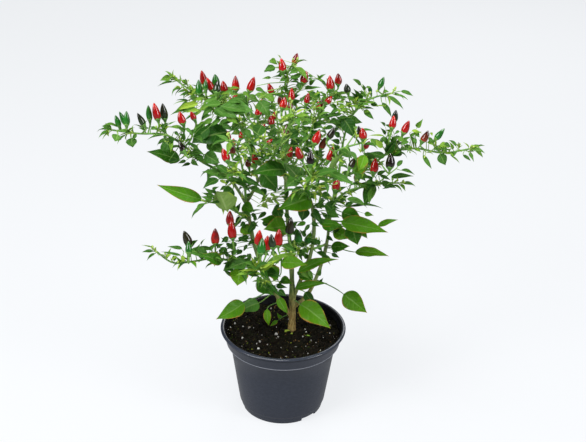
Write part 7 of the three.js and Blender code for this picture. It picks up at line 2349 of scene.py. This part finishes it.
# Places between the leaves that the picture shows clear: column, row and reach
CLEARINGS = [
    (273, 84, 6), (375, 96, 5), (395, 96, 7), (404, 96, 6), (355, 115, 6), (347, 136, 6.5), (347, 147, 6.5),
    (352, 155, 6), (425, 147, 4), (425, 157, 5), (465, 157, 5), (395, 166, 6), (404, 184, 6), (244, 195, 5),
    (355, 205, 6), (195, 206, 5), (155, 256, 5), (315, 255, 6), (195, 266, 5), (174, 266, 4), (273, 276, 5),
    (155, 136, 4), (290, 57, 4),
]


# How many columns a leaf stays off a clear chilli at its foot, and how much nearer it may come at its tip
CLEAR_OF_FOOT, NEARER_AT_TIP = 4.2, 1.6


def before_clear_place(leaf, clear_chillies):
    """Whether a leaf lies before a chilli that the picture shows clear, or across one of the clearings."""
    for share in (0.0, 0.25, 0.5, 0.75, 1.0):
        at = leaf.base + (leaf.tip - leaf.base) * share
        column, row = pictured(at)
        if any(math.hypot(column - c, row - r) < reach for c, r, reach in CLEARINGS):
            return True
        for chilli in clear_chillies:
            if at[1] > chilli.foot[1]:
                continue
            c, r = pictured(chilli.foot)
            across, up = np.array(pictured(chilli.tip)) - (c, r)
            along = ((column - c) * across + (row - r) * up) / (across**2 + up**2)
            along = min(max(along, 0.0), 1.0)
            off = math.hypot(column - c - across * along, row - r - up * along)
            if off < CLEAR_OF_FOOT - NEARER_AT_TIP * along:
                return True
    return False


# A leaf's width in millimetres for each column that it looks wide, folded and tilted as it is
SEEN_WIDTH = 1.14
SEEN_DROP = 3  # how much nearer a leaf's tip stands than its base


def seen_leaves(stem):
    """The smaller leaves of a stem that the picture shows."""
    made = []
    for *ends, depth, width, turn, tone in SEEN_LEAVES.get(stem, []):
        leaf = next(broad_choices(stem, *ends, depth, depth - SEEN_DROP, width * SEEN_WIDTH, turn))
        leaf.root, leaf.broad, leaf.tone = on_smooth(stem, leaf.root), False, tone
        made.append(leaf)
    return made


STEM_TONE = 0.525
TWIG_RADII = (0.8, 0.72, 0.68, 0.64, 0.6)


def make_leafy_stem(stem, chillies, leaves, twigs, clear_chillies):
    """A leafy stem's pieces: its wood with twigs, stalks and buds, its leaves, its chillies and calyxes."""
    rng = random.Random(100 + list(LEAFY_STEMS).index(stem))
    node = node_of(stem)
    wood, blades, cups = Shells(), Shells(), Shells()
    points = stem_points(stem, STUB, 4.0)
    radii = np.linspace(STEM_RADII[0], STEM_RADII[1] * 0.9, len(points))
    radii *= [1 + 0.12 * math.sin(i * 1.3) ** 6 + rng.uniform(-0.03, 0.03) for i in range(len(points))]
    add_tube(wood, points, radii, 12, rng.random(), STEM_TONE, 0.04)
    for _, start, end in twigs:
        out = unit(end - start)
        add_tube(wood, bent(on_smooth(stem, start), out, end, out, len(TWIG_RADII)), TWIG_RADII, 7, 0.5, 0.4)
    more_twigs, more_leaves, buds = extra_growth(stem, rng)
    for points in more_twigs:
        add_tube(wood, points, np.linspace(0.62, 0.42, len(points)), 6, rng.random(), 0.3)
    for leaf in leaves:
        if leaf.on_stem:
            leaf.root = on_smooth(stem, leaf.root)
        mark_leaf(leaf, rng)
        add_leaf(wood, blades, leaf, rng)
    for leaf in more_leaves + seen_leaves(stem):
        leaf.seed = rng.random()
        if not before_clear_place(leaf, clear_chillies):
            add_leaf(wood, blades, leaf, rng)
    for at, aim, size in buds:
        add_bud(wood, at, aim, size, rng)
    loose = {}
    for chilli in chillies:
        chilli.root = on_smooth(stem, chilli.root)
        add_stalk(wood, chilli, rng)
        add_calyx(cups, chilli, rng)
        if chilli.node:
            skin = Shells()
            add_chilli(skin, chilli, rng)
            slot = SKIN_SLOTS.get(chilli.ripeness, OTHER_SLOT)
            skin.piece(chilli.node + "_skin", [FRUIT_SKINS[chilli.look]], slot, [chilli.node])
        else:
            add_chilli(loose.setdefault(chilli.look, Shells()), chilli, rng)
    wood.piece(stem + "_stem", [STEM], "foliage", [node])
    blades.piece(stem + "_leaves", [LEAF_TOP, LEAF_UNDER], "foliage", [node])
    if chillies:
        cups.piece(stem + "_calyxes", [STEM], "foliage", [node])
    for look, skins in loose.items():
        skins.piece(f"{stem}_{look}_chillies", [FRUIT_SKINS[look]], SKIN_SLOTS.get(look, OTHER_SLOT), [node])


def make_main_leaves(leaves):
    """The old leaves that grow straight from the trunk and main stems."""
    rng = random.Random(71)
    stalks, blades = Shells(), Shells()
    for leaf in leaves:
        leaf.root = on_smooth(leaf.stem, leaf.root)
        mark_leaf(leaf, rng)
        add_leaf(stalks, blades, leaf, rng)
    for stem in MAIN_STEMS:
        for leaf in seen_leaves(stem):
            leaf.seed, leaf.curl = rng.random(), rng.uniform(0.1, 0.7)
            add_leaf(stalks, blades, leaf, rng)
    stalks.piece("main_stem_leaf_stalks", [STEM], "foliage", ["trunk"])
    blades.piece("main_stem_leaves", [LEAF_TOP, LEAF_UNDER], "foliage", ["trunk"])


ADDED_SHARE = 0.6  # the planned size of an added chilli, before the picture gives its own


def make_plant():
    """The whole plant, from the solids' plan and from what the picture shows of it."""
    chillies = find_chillies()
    broad = find_broad_leaves()
    narrow, twigs = find_narrow_leaves(chillies)
    for leaf in broad:
        leaf.width *= SEEN_SHARES.get(leaf.seen_tip, 1.0)
        if leaf.seen_tip in SEEN_BASES:
            leaf.base = seen(*SEEN_BASES[leaf.seen_tip], leaf.base[1])
    ends = [twig[2] for twig in twigs] + [chilli.joint for chilli in chillies if chilli.joint is not None]
    for leaf in narrow:
        leaf.on_stem = all(math.dist(leaf.root, end) > 0.01 for end in ends)
    for chilli in chillies:
        if chilli.place in SEEN_CHILLIES:
            chilli.show(*SEEN_CHILLIES[chilli.place])
    for stem, depth, tip_column, tip_row, column, row, width, nearer, look in MORE_CHILLIES:
        more = next(chilli_choices(stem, column, row, 0, depth, look, ADDED_SHARE))
        more.show(tip_column, tip_row, column, row, width, nearer, look)
        more.joint = None
        chillies.append(more)
    clear_chillies = [chilli for chilli in chillies if chilli.place in set(SEEN_CHILLIES) - COVERED]
    make_trunk()
    make_main_leaves([leaf for leaf in broad if leaf.stem in MAIN_STEMS])
    for stem in LEAFY_STEMS:
        make_leafy_stem(
            stem,
            [chilli for chilli in chillies if chilli.stem == stem],
            [leaf for leaf in broad + narrow if leaf.stem == stem],
            [twig for twig in twigs if twig[0] == stem],
            clear_chillies,
        )


SENSOR_WIDTH = 36


def make_camera():
    """The camera at the place from which the plan sees the plant."""
    lens = bpy.data.cameras.new("camera")
    lens.sensor_width = SENSOR_WIDTH
    lens.lens = FOCAL * SENSOR_WIDTH / PICTURE_WIDTH
    camera = placed("camera", lens)
    camera.location = EYE * METRE
    turned_down = Matrix.Rotation(math.pi / 2 - PITCH, 4, "X") @ Matrix.Rotation(LEAN, 4, "Z")
    camera.rotation_euler = turned_down.to_euler()
    bpy.context.scene.camera = camera


# The strength of the floor's and the room's light, how much more the camera sees and how much less gloss sees
FLOOR_GLOW = (0.5, 0.303, 0.34)
ROOM_GLOW = (0.235, 0.695, 0.13)
FLOOR_REACH = 12.0
# Each softbox: its place, the point that it faces and its width and height in metres, and its power in watts
SOFTBOXES = {
    "above": ((-0.3, -0.5, 1.8), (0, 0, 0.2), (0.8, 0.6), 22),
    "left": ((-1.4, -1.0, 1.1), (0, 0, 0.25), (0.7, 1.1), 24),
    "right": ((1.5, -0.8, 0.9), (0, 0, 0.25), (0.6, 1.1), 17),
    "behind": ((0.5, 1.7, 1.3), (0, 0, 0.25), (0.9, 0.9), 9),
}


def glow_strength(n, plain, more_seen, less_gloss):
    """The strength of a glow by the kind of ray that meets it."""
    rays = n.add("LightPath").outputs
    strength = n.plus(plain, n.times(rays["Is Camera Ray"], more_seen))
    return n.minus(strength, n.times(rays["Is Glossy Ray"], less_gloss))


def make_softbox(name, at, target, size, power):
    """A lamp with a broad face turned to a point."""
    light = bpy.data.lights.new(name, "AREA")
    light.shape, light.size, light.size_y = "RECTANGLE", size[0], size[1]
    light.energy = power
    softbox = placed(name, light)
    softbox.location = at
    softbox.rotation_euler = (Vector(target) - Vector(at)).to_track_quat("-Z", "Y").to_euler()


def make_studio():
    """A plain pale floor under soft light from above, both sides, behind and the room."""
    corners = [(x * FLOOR_REACH, y * FLOOR_REACH, 0) for x, y in ((-1, -1), (1, -1), (1, 1), (-1, 1))]
    floor = meshed("floor", corners, [(0, 1, 2, 3)])
    material, n = new_material("floor_paper")
    shader = n.add("BsdfPrincipled", {
        "Base Color": (0.14, 0.142, 0.145, 1),
        "Roughness": 0.9,
        "Specular IOR Level": 0.1,
        "Emission Color": (0.955, 0.975, 1.0, 1),
        "Emission Strength": glow_strength(n, *FLOOR_GLOW),
    })
    finished(n, shader.outputs[0])
    floor.data.materials.append(material)
    world = bpy.data.worlds.new("studio")
    world.use_nodes = True
    background = world.node_tree.nodes["Background"]
    background.inputs["Color"].default_value = (0.93, 0.955, 1.0, 1)
    strength = glow_strength(Nodes(world.node_tree), *ROOM_GLOW)
    world.node_tree.links.new(strength, background.inputs["Strength"])
    bpy.context.scene.world = world
    for name, softbox in SOFTBOXES.items():
        make_softbox("softbox_" + name, *softbox)
    bpy.context.scene.view_settings.view_transform = "Standard"


make_camera()
make_pot()
make_soil()
make_litter()
make_plant()
make_studio()
